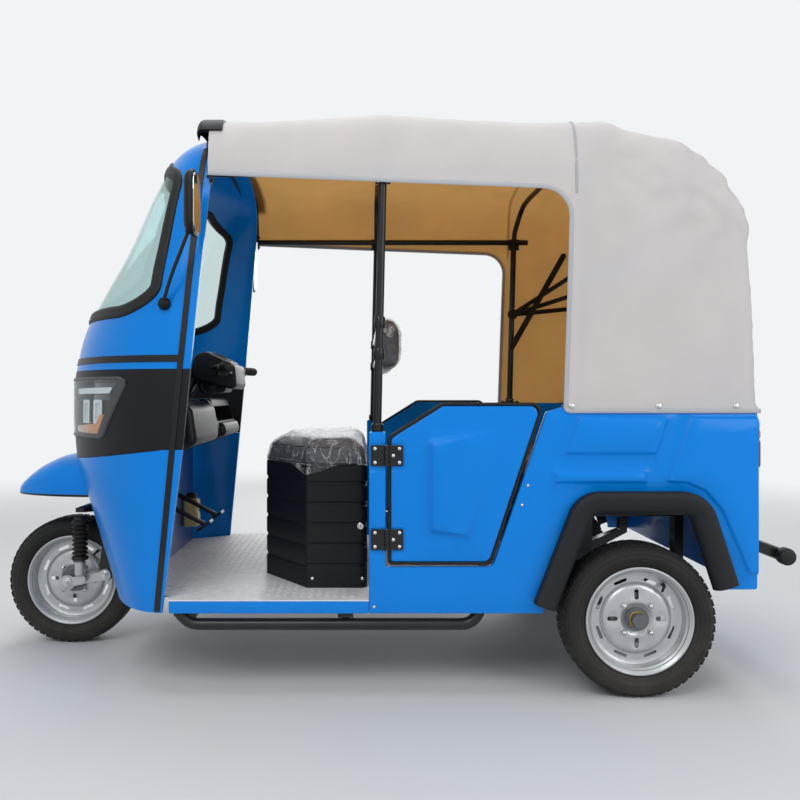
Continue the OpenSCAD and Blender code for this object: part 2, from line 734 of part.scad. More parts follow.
// Pedals and the brake fluid bottle on the bulkhead
pedal_y = -120;
pedal_z = 470;
pedal_reach = 170;
pedal_w = 60;
pedal_t = 10;
pedal_tilt = 35;
arm_r = 9;
module pedals() {
    color("black") for (y = [pedal_y, -pedal_y]) {
        bar([bulkhead_x - arm_r, y, pedal_z + pedal_reach / 2],
            [bulkhead_x - pedal_reach, y, pedal_z], arm_r);
        translate([bulkhead_x - pedal_reach, y, pedal_z]) rotate([0, pedal_tilt, 0])
            translate([-pedal_w / 2, -pedal_w / 2, -pedal_t]) cube([pedal_w, pedal_w, pedal_t]);
    }
}
bottle_y = -300;
bottle_z = 395;
bottle_h = 120;
bottle_w = 66;
bottle_r = 14;
cap_r = 22;
cap_h = 22;
module brake_fluid_bottle() {
    color("khaki") translate([bulkhead_x - bottle_w - seat_gap, bottle_y, bottle_z]) {
        linear_extrude(height = bottle_h)
            polygon(rounded([[0, -bottle_w / 2, bottle_r], [bottle_w, -bottle_w / 2, bottle_r],
                             [bottle_w, bottle_w / 2, bottle_r], [0, bottle_w / 2, bottle_r]]));
        translate([bottle_w / 2, 0, bottle_h]) cylinder(r = cap_r, h = cap_h);
    }
}

// Driver's seat
box_front_share = 0.618;
box_front_x = post_x + (dash_back_x - post_x) * box_front_share;
box_back_x_set = 4;
box_back_x = post_x + box_back_x_set;
box_shoulder_share = 0.347;
box_shoulder_x = post_x + (dash_back_x - post_x) * box_shoulder_share;
box_half_share = 0.741;
box_front_half_share = 0.369;
box_half = side_y * box_half_share;
box_front_half = side_y * box_front_half_share;
box_r = 24;
rib_h = 12;
rib_deep = 4;
rib_count = 5;
box_top_z = floor_z + seat_box_h;
module box_outline(inset) {
    polygon(rounded([[box_back_x + inset, -box_half + inset, box_r],
        [box_shoulder_x, -box_half + inset, box_r],
                     [box_front_x - inset, -box_front_half, box_r],
                         [box_front_x - inset, box_front_half, box_r],
                     [box_shoulder_x, box_half - inset, box_r],
                         [box_back_x + inset, box_half - inset, box_r]]));
}
module seat_box() {
    pitch = seat_box_h / (rib_count + 1);
    color("black") difference() {
        translate([0, 0, floor_z]) linear_extrude(height = seat_box_h) box_outline(0);
        for (i = [1 : rib_count])
            translate([0, 0, floor_z + pitch * i]) linear_extrude(height = rib_h) difference() {
                square([2 * wheelbase, 2 * body_w], center = true);
                box_outline(rib_deep);
            }
    }
}
module driver_cushion() {
    color("slategray") translate([0, 0, box_top_z + seat_gap])
        linear_extrude(height = cushion_t) box_outline(-rib_deep);
}
rest_t = 56;
rest_rise = 32;
rest_top_z = brace_z + rest_rise;
rest_h = 176;
rest_half_share = 0.705;
rest_half = side_y * rest_half_share;
rest_r = 24;
module driver_backrest() {
    color("slategray") side_plate(rest_half, 2 * rest_half)
        translate([brace_x - brace_r - seat_gap - rest_t, rest_top_z - rest_h])
            polygon(rounded([[0, 0, rest_r], [rest_t, 0, 0], [rest_t, rest_h, 0], [0, rest_h, rest_r]]));
}

// Side panels of the tub with the door opening and the wheel arch
arch_front_foot_x_set = 300;
arch_front_foot_x = rear_axle_x + arch_front_foot_x_set;
arch_front_top_x_set = 172;
arch_front_top_x = rear_axle_x + arch_front_top_x_set;
arch_back_top_x_set = 184;
arch_back_top_x = rear_axle_x - arch_back_top_x_set;
arch_back_foot_x_set = 270;
arch_back_foot_x = rear_axle_x - arch_back_foot_x_set;
tail_foot_z = 340;
arch_top_z = 616;
arch_r = 70;
arch_lean_share = 0.8;
flare_foot = 24;
arch_front_foot_z = sill_z + flare_foot;
arch_back_foot_z = tail_foot_z + flare_foot / 2;
door_slant_x_set = 178;
door_slant_x = door_front_x - door_slant_x_set;
door_corner_z = 826;
door_back_top_x = door_front_x - door_len;
door_back_foot_x_set = 168;
door_back_foot_x = door_back_top_x + door_back_foot_x_set;
door_r = 26;
shoulder_r = 60;
module side_outline() {
    polygon(rounded([
        [post_x, sill_z, 0], [post_x, post_top_z, 0], [door_front_x, post_top_z, 0],
        [door_front_x, door_foot_z - panel_gap, 0],
        [door_back_foot_x - panel_gap / 2, door_foot_z - panel_gap, door_r],
        [door_back_top_x - panel_gap, door_top_z - shoulder_r / 2, 0],
            [door_back_top_x - shoulder_r, tub_top_z, shoulder_r / 2],
        [tail_x, tub_top_z, 0], [tail_x, tail_foot_z, 0],
        [arch_back_foot_x, tail_foot_z, 0], [arch_back_foot_x, arch_back_foot_z, 0],
            [arch_back_top_x, arch_top_z, arch_r],
        [arch_front_top_x, arch_top_z, arch_r], [arch_front_foot_x, arch_front_foot_z, 0],
            [arch_front_foot_x, sill_z, 0]]));
}
// Pressed recesses of the rear quarter: left foot, right foot, foot height, rise, lean
press_deep = 5;
press_r = 10;
// Columns: back x and front x set from the rear axle, foot z, top z, lean of both ends
press_table = [[-60, 241, 765, 894, -44], [-30, 272, 674, 720, 0]];
ridge_table = [[-84, -70, 681, 892, -88]];
ridge_out = 4;
module pressings(table, corner_r) {
    for (p = table)
        polygon(rounded([[rear_axle_x + p[0], p[2], corner_r], [rear_axle_x + p[1], p[2], corner_r],
                         [rear_axle_x + p[1] + p[4], p[3], corner_r],
                             [rear_axle_x + p[0] + p[4], p[3], corner_r]]));
}
module side_panel() {
    color("dodgerblue") {
        difference() {
            side_plate(side_y, panel_t) side_outline();
            side_plate(side_y + overrun, overrun + press_deep) pressings(press_table, press_r);
        }
        side_plate(side_y + ridge_out, ridge_out + press_deep) pressings(ridge_table, ridge_out);
    }
}
module side_panel_left() { side_panel(); }
module side_panel_right() { mirror([0, 1, 0]) side_panel(); }

// Wheel arch flares
flare_out = 40;
flare_w = 74;
flare_chamfer = 16;
module arch_outline(grow) {
    polygon(rounded([[arch_back_foot_x - grow, 0, 0], [arch_back_foot_x - grow, arch_back_foot_z, 0],
                     [arch_back_top_x - grow * arch_lean_share, arch_top_z + grow, arch_r + grow],
                     [arch_front_top_x + grow * arch_lean_share, arch_top_z + grow, arch_r + grow],
                     [arch_front_foot_x + grow, arch_front_foot_z, 0],
                         [arch_front_foot_x + grow, 0, 0]]));
}
module below_flares() {
    polygon([[rear_axle_x - wheelbase / 2, 0], [rear_axle_x + wheelbase / 2, 0],
        [rear_axle_x + wheelbase / 2, arch_front_foot_z],
             [rear_axle_x, arch_front_foot_z], [rear_axle_x, arch_back_foot_z],
                 [rear_axle_x - wheelbase / 2, arch_back_foot_z]]);
}
module wheel_arch_flares() {
    color("dimgray") both_sides() difference() {
        union() {
            side_plate(side_y + flare_out - flare_chamfer, flare_out - flare_chamfer - seat_gap)
                arch_outline(flare_w / 2);
            side_plate(side_y + flare_out, flare_out - seat_gap)
                arch_outline(flare_w / 2 - flare_chamfer);
            side_plate(side_y + flare_out, flare_out + panel_t) arch_outline(-seat_gap);
        }
        side_plate(body_w, 2 * body_w) arch_outline(-flare_w / 2);
        side_plate(body_w, 2 * body_w) below_flares();
    }
}

// Rear of the tub
module rear_panel() {
    color("dodgerblue") front_plate(tail_x, panel_t)
        polygon([[-inner_y + seat_gap, tail_foot_z], [inner_y - seat_gap, tail_foot_z],
                 [inner_y - seat_gap, tub_top_z], [-inner_y + seat_gap, tub_top_z]]);
}
tail_lamp_z = 720;
tail_lamp_h = 165;
tail_lamp_w = 96;
tail_lamp_t = 24;
tail_lamp_r = 20;
module tail_lamps() {
    color("firebrick") both_sides() front_plate(tail_x - tail_lamp_t - seat_gap, tail_lamp_t)
        translate([side_y - panel_t - tail_lamp_w, tail_lamp_z])
            polygon(rounded([[0, 0, tail_lamp_r], [tail_lamp_w, 0, tail_lamp_r],
                             [tail_lamp_w, tail_lamp_h, tail_lamp_r], [0, tail_lamp_h, tail_lamp_r]]));
}
module rear_deck() {
    color("mediumblue") {
        translate([tail_x + panel_t + seat_gap, -inner_y + seat_gap, deck_z - deck_t])
            cube([riser_x - tail_x - panel_t - seat_gap, 2 * (inner_y - seat_gap), deck_t]);
        translate([riser_x - riser_t, -inner_y + seat_gap, low_top])
            cube([riser_t, 2 * (inner_y - seat_gap), deck_z - low_top]);
    }
}
unit_len = 300;
unit_air = 60;
unit_w = 2 * (rail_half - rail_w - unit_air);
unit_h = 178;
module power_unit() {
    color("gray")
        translate([kick_top_x - 2 * cross_w - unit_len / 2, -unit_w / 2,
            high_top - rail_h - unit_h - seat_gap])
        cube([unit_len / 2 + 2 * cross_w, unit_w, unit_h]);
}

// Passenger bench
bench_front_x_set = 10;
bench_front_x = riser_x - bench_front_x_set;
bench_len = 400;
bench_t = 130;
bench_r = 40;
back_rise = 470;
back_t = 110;
back_lean = 24;
module bench_cushion() {
    color("dimgray") side_plate(bench_w / 2, bench_w)
        translate([bench_front_x - bench_len, deck_z + seat_gap])
            polygon(rounded([[0, 0, 0], [bench_len, 0, 0], [bench_len, bench_t, bench_r],
                [0, bench_t, 0]]));
}
module bench_backrest() {
    color("dimgray") side_plate(bench_w / 2, bench_w)
        translate([bench_front_x - bench_len - seat_gap, deck_z + seat_gap])
            polygon(rounded([[0, 0, 0], [-back_rise * tan(back_lean), back_rise + bench_t / 2, bench_r],
                             [-back_rise * tan(back_lean) - back_t, back_rise + bench_t / 2, bench_r],
                                 [-back_t, 0, 0]]));
}

// Bumper and step bars
bumper_r = 21;
bumper_cap_r = 28;
bumper_z = 432;
bumper_half_share = 0.918;
bumper_half = side_y * bumper_half_share;
cap_len = 40;
// Arms slope down from the tail to the bar
bumper_arm_w = 30;
bumper_arm_h = 36;
bumper_arm_rise = 46;
bumper_x = rear_axle_x - rear_overhang + bumper_cap_r;
module rear_bumper() {
    color("black") {
        bar([bumper_x, -bumper_half, bumper_z], [bumper_x, bumper_half, bumper_z], bumper_r);
        both_sides() {
            bar([bumper_x, bumper_half - cap_len, bumper_z],
                [bumper_x, bumper_half, bumper_z], bumper_cap_r);
            side_plate(bumper_half - cap_len, bumper_arm_w)
                polygon([[bumper_x, bumper_z - bumper_arm_h / 2], [bumper_x, bumper_z + bumper_arm_h / 2],
                         [tail_x - seat_gap, bumper_z + bumper_arm_rise + bumper_arm_h / 2],
                         [tail_x - seat_gap, bumper_z + bumper_arm_rise - bumper_arm_h / 2]]);
        }
    }
}
step_r = 19;
step_y_set = 34;
step_y = side_y - step_y_set;
step_z = 222;
step_front_x_set = 20;
step_front_x = cab_edge_x - step_front_x_set;
step_back_x_set = 330;
step_back_x = post_x - step_back_x_set;
step_rise = 60;
module step_bars() {
    color("black") both_sides() {
        tube([[step_back_x - step_rise, step_y, step_z], [step_front_x, step_y, step_z]], step_r);
        for (x = [cab_edge_x - 2 * cross_w + cross_w / 2, post_x + cross_w + cross_w / 2])
            translate([x - cross_w / 4, step_y - 2 * step_r, step_z - step_r / 2])
                cube([cross_w / 2, step_r, low_top - rail_h - step_z + step_r / 2 - seat_gap]);
        for (x = [cab_edge_x - 2 * cross_w + cross_w / 2, post_x + cross_w + cross_w / 2])
            translate([x - cross_w / 4, step_y - 2 * step_r, step_z - step_r / 2])
                cube([cross_w / 2, 2 * step_r, step_r]);
    }
}

// Mirrors
// Each stalk stands on a corner of the cab shell's facets
mirror_row = 8;
mirror_turn = 90 - 180 / cab_arc_steps;
mirror_base_z = cab_z(cab_shares[mirror_row][0]);
mirror_deep = cab_nose(mirror_base_z) - cab_back(mirror_base_z);
mirror_base = [cab_back(mirror_base_z) + mirror_deep * cos(mirror_turn),
    cab_half(mirror_base_z) * sin(mirror_turn), mirror_base_z];
mirror_out = unit([cos(mirror_turn) / mirror_deep, sin(mirror_turn) / cab_half(mirror_base_z), 0]);
mirror_x_set = 120;
mirror_x = cab_edge_x - mirror_x_set;
mirror_y_set = 64;
mirror_y = side_y + mirror_y_set;
mirror_rise = 300;
mirror_z = mirror_base_z + mirror_rise;
mirror_w = 120;
mirror_h = 200;
mirror_t = 34;
mirror_r = 40;
mirror_glass_t = 3;
stalk_r = 6;
base_r = 26;
mirror_lift = 2;
base_share = 0.8;
module mirror_outline(inset) {
    w = mirror_w / 2 - inset;
    h = mirror_h / 2 - inset;
    polygon(rounded([[-w, -h, mirror_r], [w, -h, mirror_r], [w, h, mirror_r], [-w, h, mirror_r]]));
}
module mirrors() {
    root = mirror_base + mirror_out * mirror_lift;
    color("black") both_sides() {
        bar(root, root + mirror_out * base_r, base_r * base_share);
        bar(root + mirror_out * base_r / 2, [mirror_x + mirror_t / 2, mirror_y,
            mirror_z - mirror_h / 3], stalk_r);
        front_plate(mirror_x, mirror_t) translate([mirror_y, mirror_z]) mirror_outline(0);
    }
}
module mirror_glasses() {
    color("lightsteelblue") both_sides()
        front_plate(mirror_x - mirror_glass_t - seat_gap, mirror_glass_t)
            translate([mirror_y, mirror_z]) mirror_outline(mirror_t / 4);
}

// Doors with rubber edges and hinges
door_edge_w = 10;
back_inset_share = 1.1;
foot_inset_share = 0.8;
hinge_r = 7;
hinge_y = side_y + hinge_r;
hinge_leaf_w = 44;
hinge_leaf_h = 66;
hinge_leaf_t = 5;
hinge_pin_r = 3;
hinge_high_z = 766;
hinge_low_z = 500;
hinge_x = door_front_x - panel_gap / 2;
module door_outline(inset) {
    polygon(rounded([
        [door_front_x - panel_gap - inset, door_foot_z + inset, 0],
            [door_front_x - panel_gap - inset, door_corner_z - inset / 2, door_r],
        [door_slant_x - inset / 3, door_top_z - inset, door_r],
            [door_back_top_x + inset * back_inset_share, door_top_z - inset, door_r],
        [door_back_foot_x + inset * foot_inset_share, door_foot_z + inset, door_r]]));
}
// Raised field of the door. Columns: set behind the door's front edge, set above the door's foot
door_field_out = 6;
door_field_r = 20;
door_field_table = [[130, 101], [130, 396], [403, 457], [273, 70]];
module door_panel() {
    color("dodgerblue") {
        side_plate(side_y, panel_t) door_outline(door_edge_w);
        side_plate(side_y + door_field_out, door_field_out + panel_t / 2)
            polygon(rounded([for (c = door_field_table) [door_front_x - c[0], door_foot_z + c[1],
                door_field_r]]));
    }
}
module door_edge() {
    color("black") difference() {
        side_plate(side_y, panel_t) door_outline(0);
        side_plate(side_y + overrun, panel_t + 2 * overrun) door_outline(door_edge_w - seat_gap);
    }
}
// Door leaves carry the pins and the outer knuckles, post leaves the middle knuckle
module hinge_leaf(side) {
    for (z = [hinge_low_z, hinge_high_z]) {
        translate([hinge_x + (side > 0 ? hinge_r + seat_gap : -hinge_r - seat_gap - hinge_leaf_w),
            side_y + seat_gap, z - hinge_leaf_h / 2])
            cube([hinge_leaf_w, hinge_leaf_t, hinge_leaf_h]);
    }
}
knuckle_gap = 0.6;
module knuckle(z, h) {
    translate([hinge_x, hinge_y + seat_gap, z]) cylinder(r = hinge_r, h = h);
}
module leaf_bridge(side, z, h) {
    translate([side > 0 ? hinge_x : hinge_x - hinge_r - hinge_pin_r, side_y + seat_gap, z])
        cube([hinge_r + hinge_pin_r, hinge_leaf_t, h]);
}
module post_hinge_pair() {
    third = hinge_leaf_h / 3;
    color("black") {
        hinge_leaf(1);
        for (z = [hinge_low_z, hinge_high_z]) difference() {
            union() {
                knuckle(z - third / 2, third);
                leaf_bridge(1, z - third / 2, third);
            }
            translate([hinge_x, hinge_y + seat_gap, z - third])
                cylinder(r = hinge_pin_r + bearing_gap, h = 2 * third);
        }
    }
}
module door_hinges() {
    third = hinge_leaf_h / 3;
    color("black") {
        hinge_leaf(-1);
        for (z = [hinge_low_z, hinge_high_z]) {
            for (s = [-third * 3 / 2, third / 2 + knuckle_gap]) {
                knuckle(z + s, third - knuckle_gap);
                leaf_bridge(-1, z + s, third - knuckle_gap);
            }
            translate([hinge_x, hinge_y + seat_gap, z - third]) cylinder(r = hinge_pin_r, h = 2 * third);
        }
    }
}
module post_hinges() { both_sides() post_hinge_pair(); }
module door_left() { door_panel(); }
module door_right() { mirror([0, 1, 0]) door_panel(); }
module door_edge_left() { door_edge(); }
module door_edge_right() { mirror([0, 1, 0]) door_edge(); }
module door_hinges_left() { door_hinges(); }
module door_hinges_right() { mirror([0, 1, 0]) door_hinges(); }

// Wheels, drawn on the origin with the outer face towards +Y
bead_gap = 0.2;
seat_r_set = 16;
seat_r = rim_od / 2 - seat_r_set;
flange_t = 8;
barrel_t = 6;
rim_half = rim_w / 2;
shoulder = 34;
module ring(profile) {
    rotate([90, 0, 0]) mirror([0, 0, 1]) rotate_extrude($fn = 96) polygon(profile);
}
module tyre() {
    color("black") ring(rounded([
        [seat_r + bead_gap, -rim_half + flange_t + bead_gap, 0],
            [rim_od / 2 + bead_gap, -rim_half + flange_t + bead_gap, 0],
        [rim_od / 2 + shoulder / 2, -tyre_w / 2, shoulder / 2],
            [wheel_r, -tyre_w / 2 + shoulder / 3, shoulder / 2],
        [wheel_r, tyre_w / 2 - shoulder / 3, shoulder / 2],
            [rim_od / 2 + shoulder / 2, tyre_w / 2, shoulder / 2],
        [rim_od / 2 + bead_gap, rim_half - flange_t - bead_gap, 0],
            [seat_r + bead_gap, rim_half - flange_t - bead_gap, 0]]));
}
// Disc face from barrel to hub. Columns: radius share of the rim, set from the wheel's centre plane
disc_t = 6;
disc_shares = [[0.80, 0.12], [0.66, 0.12], [0.61, 0.36], [0.29, 0.42], [0.25, 0.26], [0.22, 0.26]];
slot_count = 8;
slot_len = 38;
slot_w = 12;
slot_share = 0.72;
hand_count = 4;
hand_share = 0.45;
lug_share = 0.35;
hand_r = 9;
lug_r = 10;
lug_h = 16;
module rim() {
    r = rim_od / 2;
    front = [for (s = disc_shares) [r * s[0], rim_half * s[1]]];
    back = [for (i = [len(front) - 1 : -1 : 0]) front[i] - [0, disc_t]];
    color("lightgray") {
        ring([[r, rim_half], [r, rim_half - flange_t], [seat_r, rim_half - flange_t],
            [seat_r, -rim_half + flange_t],
              [r, -rim_half + flange_t], [r, -rim_half], [seat_r - barrel_t, -rim_half],
                  [seat_r - barrel_t, rim_half]]);
        difference() {
            ring(concat([[seat_r - barrel_t / 2, rim_half * disc_shares[0][1]]], front, back,
                        [[seat_r - barrel_t / 2, rim_half * disc_shares[0][1] - disc_t]]));
            for (i = [0 : slot_count - 1]) rotate([0, 360 * (i + 0.5) / slot_count, 0])
                translate([-slot_len / 2, -rim_half, r * slot_share - slot_w / 2])
                    cube([slot_len, 2 * rim_half, slot_w]);
            for (i = [0 : hand_count - 1]) rotate([0, 360 * i / hand_count, 0])
                translate([0, 0, r * hand_share]) rotate([90, 0, 0])
                    cylinder(r = hand_r, h = 2 * rim_half, center = true);
        }
        for (i = [0 : hand_count - 1]) rotate([0, 360 * (i + 0.5) / hand_count, 0])
            translate([0, rim_half * disc_shares[3][1] - disc_t / 2, r * lug_share])
                rotate([-90, 0, 0]) cylinder(r = lug_r, h = lug_h, $fn = 6);
    }
}
drum_r = 81;
drum_len = 64;
shaft_r = 15;
shaft_len = 60;
boss_r = disc_shares[5][0] * rim_od / 2 - seat_gap;
nut_r = 24;
nut_h = 30;
axle_half_set = 100;
axle_half = wheel_y - axle_half_set;
disc_back_y = rim_half * disc_shares[5][1] - disc_t;
module rear_hub() {
    color("gray") {
        translate([0, disc_back_y - drum_len - seat_gap, 0]) rotate([-90, 0, 0])
            cylinder(r = drum_r, h = drum_len);
        translate([0, disc_back_y - drum_len - seat_gap, 0]) rotate([-90, 0, 0])
            cylinder(r = boss_r, h = drum_len + 3 * disc_t);
        translate([0, disc_back_y + 2 * disc_t, 0]) rotate([-90, 0, 0])
            cylinder(r = nut_r, h = nut_h, $fn = 6);
        translate([0, axle_half - wheel_y - shaft_len, 0]) rotate([-90, 0, 0])
            cylinder(r = shaft_r, h = shaft_len + drum_len);
    }
}
module at_rear_left() { translate([rear_axle_x, wheel_y, wheel_r]) children(); }
module at_rear_right() { mirror([0, 1, 0]) at_rear_left() children(); }
module at_front() { translate([front_axle_x, 0, wheel_r]) children(); }
module rear_tyre_left() { at_rear_left() tyre(); }
module rear_rim_left() { at_rear_left() rim(); }
module rear_hub_left() { at_rear_left() rear_hub(); }
module rear_tyre_right() { at_rear_right() tyre(); }
module rear_rim_right() { at_rear_right() rim(); }
module rear_hub_right() { at_rear_right() rear_hub(); }
module front_tyre() { at_front() tyre(); }
module front_rim() { at_front() rim(); }
axle_r = 10;
hub_half = 66;
module front_hub() {
    color("gray") at_front() difference() {
        union() {
            rotate([90, 0, 0]) cylinder(r = boss_r, h = 2 * hub_half, center = true);
            translate([0, disc_back_y - drum_len - seat_gap, 0]) rotate([-90, 0, 0])
                cylinder(r = drum_r, h = drum_len);
        }
        rotate([90, 0, 0]) cylinder(r = axle_r + bearing_gap, h = 4 * hub_half, center = true);
    }
}

// Rear axle and springs
axle_tube_r = 38;
diff_r = 95;
diff_len = 150;
module rear_axle() {
    color("black") translate([rear_axle_x, 0, wheel_r]) difference() {
        union() {
            rotate([90, 0, 0]) cylinder(r = axle_tube_r, h = 2 * axle_half, center = true);
            rotate([90, 0, 0]) cylinder(r = diff_r, h = diff_len, center = true);
        }
        both_sides() translate([0, axle_half - shaft_len - seat_gap, 0]) rotate([-90, 0, 0])
            cylinder(r = shaft_r + bearing_gap, h = 2 * shaft_len);
    }
}
spring_half = 255;
spring_w = 50;
spring_t = 24;
spring_rise = 90;
spring_seat_z = wheel_r + axle_tube_r + seat_gap;
hanger_w = 30;
module leaf_springs() {
    color("black") both_sides() side_plate(rail_half + spring_w / 2, spring_w) {
        polygon([[rear_axle_x - spring_half, spring_seat_z + spring_rise],
            [rear_axle_x - spring_half / 3, spring_seat_z],
                 [rear_axle_x + spring_half / 3, spring_seat_z],
                     [rear_axle_x + spring_half, spring_seat_z + spring_rise],
                 [rear_axle_x + spring_half, spring_seat_z + spring_rise + spring_t],
                     [rear_axle_x + spring_half / 3, spring_seat_z + 2 * spring_t],
                 [rear_axle_x - spring_half / 3, spring_seat_z + 2 * spring_t],
                     [rear_axle_x - spring_half, spring_seat_z + spring_rise + spring_t]]);
        translate([rear_axle_x - spring_half, spring_seat_z + spring_rise])
            square([hanger_w, high_top - rail_h - seat_gap - spring_seat_z - spring_rise]);
        translate([kick_top_x - kick_set - 2 * hanger_w, spring_seat_z + spring_rise / 2])
            square([hanger_w, high_top - rail_h - seat_gap - spring_seat_z - spring_rise / 2]);
    }
}

// Front fork with leading links and shocks, and the handlebar
crown_s = 330;
crown_t = 16;
crown_half = 158;
leg_y = 84;
leg_t = 12;
pivot_x_set = 144;
pivot_x = front_axle_x - pivot_x_set;
pivot_z_set = 30;
pivot_z = wheel_r + pivot_z_set;
pivot_r = 12;
leg_w = 44;
arm_w = 34;
arm_t = 12;
shock_y_set = 32;
shock_y = leg_y + leg_t + arm_t + shock_y_set;
shock_top_x_set = 80;
shock_top_x = front_axle_x - shock_top_x_set;
shock_foot_x_set = 62;
shock_foot_x = front_axle_x - shock_foot_x_set;
shock_foot_z_set = 22;
shock_foot_z = wheel_r + shock_foot_z_set;
shock_r = 31;
rod_r = 9;
damper_r = 20;
stem_top_s = 900;
crown_z = wheel_r + crown_s * cos(rake);
module front_fork() {
    color("black") {
        on_steering_axis(crown_s) cylinder(r = stem_r, h = stem_top_s - crown_s);
        hull() {
            on_steering_axis(crown_s) cylinder(r = stem_r + crown_t, h = crown_t, $fn = 32);
            translate([shock_top_x, -shock_y - rod_r, crown_z - crown_t])
                cube([shock_r, 2 * (shock_y + rod_r), crown_t]);
        }
        both_sides() {
            side_plate(leg_y + leg_t, leg_t)
                polygon(rounded([[axis_x(crown_z) - leg_w / 2, crown_z + crown_t / 2, 0],
                    [axis_x(crown_z) + leg_w, crown_z + crown_t / 2, 0],
                                 [pivot_x + leg_w / 2, pivot_z + leg_w, 0],
                                     [pivot_x + leg_w / 2, pivot_z - leg_w / 2, leg_w / 3],
                                 [pivot_x - leg_w / 2, pivot_z - leg_w / 2, leg_w / 3],
                                     [pivot_x - leg_w / 2, pivot_z + leg_w, 0]]));
            bar([pivot_x, leg_y, pivot_z], [pivot_x, leg_y + leg_t + arm_t + seat_gap, pivot_z], pivot_r);
        }
    }
}
module fork_links() {
    color("silver") {
        both_sides() difference() {
            side_plate(leg_y + leg_t + seat_gap + arm_t, arm_t) {
                link_outline([pivot_x, pivot_z], [front_axle_x, wheel_r]);
            }
            bar([pivot_x, leg_y, pivot_z],
                [pivot_x, leg_y + 2 * leg_t + 2 * arm_t, pivot_z], pivot_r + seat_gap);
        }
        bar([front_axle_x, -leg_y - leg_t - arm_t, wheel_r],
            [front_axle_x, leg_y + leg_t + arm_t, wheel_r], axle_r);
        both_sides()
            bar([shock_foot_x, leg_y + leg_t + arm_t, shock_foot_z],
                [shock_foot_x, shock_y, shock_foot_z], rod_r);
    }
}
module link_outline(a, b) {
    d = b - a;
    translate([a.x, a.y]) rotate(atan2(d.y, d.x)) {
        translate([0, -arm_w / 2]) square([norm(d), arm_w]);
        circle(d = arm_w + arm_t);
        translate([norm(d), 0]) circle(d = arm_w + 2 * arm_t);
    }
}
spring_turns = 6;
damper_share = 0.98;
coil_first_share = 0.22;
coil_step_share = 0.10;
cup_shares = [0.20, 0.88];
coil_r = 6;
module front_shocks() {
    top_z = crown_z - crown_t - seat_gap;
    len = top_z - shock_foot_z - 2 * rod_r;
    color("black") both_sides()
        translate([shock_foot_x, shock_y, shock_foot_z + rod_r + seat_gap])
            rotate([0, atan2(shock_top_x + shock_r / 2 - shock_foot_x, top_z - shock_foot_z), 0]) {
                cylinder(r = damper_r, h = len * damper_share);
                for (i = [0 : spring_turns])
                    translate([0, 0, len * (coil_first_share + coil_step_share * i)]) rotate_extrude()
                        translate([shock_r - coil_r, 0]) circle(r = coil_r, $fn = 16);
                for (s = cup_shares) translate([0, 0, len * s]) cylinder(r = shock_r, h = coil_r);
            }
}
bar_z = wheel_r + stem_top_s * cos(rake);
bar_x = axis_x(bar_z);
bar_r = 12;
bar_sweep = 90;
grip_r = 17;
grip_len = 125;
pod_len = 190;
pod_w = 250;
pod_h = 120;
pod_r = 40;
pod_back_share = 0.75;
module handlebar() {
    color("black") {
        difference() {
            translate([bar_x - pod_len / 2, 0, bar_z - pod_h / 3]) rotate([0, -rake / 2, 0])
                side_plate(pod_w / 2, pod_w)
                polygon(rounded([[-pod_len / 2, 0, pod_r / 2], [pod_len / 2, 0, pod_r],
                    [pod_len / 2, pod_h, pod_r], [-pod_len / 3, pod_h * pod_back_share, pod_r / 2]]));
            on_steering_axis(crown_s)
                cylinder(r = stem_r + seat_gap, h = stem_top_s - crown_s + seat_gap);
        }
        both_sides()
            bar([bar_x - pod_len / 2, 0, bar_z + pod_h / 6],
                [bar_x - pod_len / 2 - bar_sweep, bar_span / 2, bar_z + pod_h / 6], bar_r);
    }
}
module handlebar_grips() {
    tip = [bar_x - pod_len / 2 - bar_sweep, bar_span / 2, bar_z + pod_h / 6];
    root = [bar_x - pod_len / 2, 0, bar_z + pod_h / 6];
    d = unit(tip - root);
    color("black") both_sides() difference() {
        bar(tip - d * grip_len, tip + d * grip_r, grip_r);
        bar(root, tip + d * seat_gap, bar_r + seat_gap);
    }
}

upper_cowl();
windscreen_seal();
windscreen();
belt_panel();
headlamp_lenses();
headlamp_bowls();
leg_shield();
cab_trim();
front_mudguard();
canvas_hood();
rear_window();
header_visor();
hood_frame();
chassis_frame();
floor_plate();
sills();
bulkhead();
dash();
pedals();
brake_fluid_bottle();
seat_box();
driver_cushion();
driver_backrest();
side_panel_left();
side_panel_right();
wheel_arch_flares();
rear_panel();
tail_lamps();
rear_deck();
power_unit();
bench_cushion();
bench_backrest();
rear_bumper();
step_bars();
mirrors();
mirror_glasses();
post_hinges();
door_left();
door_edge_left();
door_hinges_left();
door_right();
door_edge_right();
door_hinges_right();
rear_axle();
leaf_springs();
rear_tyre_left();
rear_rim_left();
rear_hub_left();
rear_tyre_right();
rear_rim_right();
rear_hub_right();
front_fork();
fork_links();
front_shocks();
handlebar();
handlebar_grips();
front_tyre();
front_rim();
front_hub();
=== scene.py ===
import bmesh
import bpy
import json
import math
import numpy as np
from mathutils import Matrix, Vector, noise
from mathutils.geometry import delaunay_2d_cdt


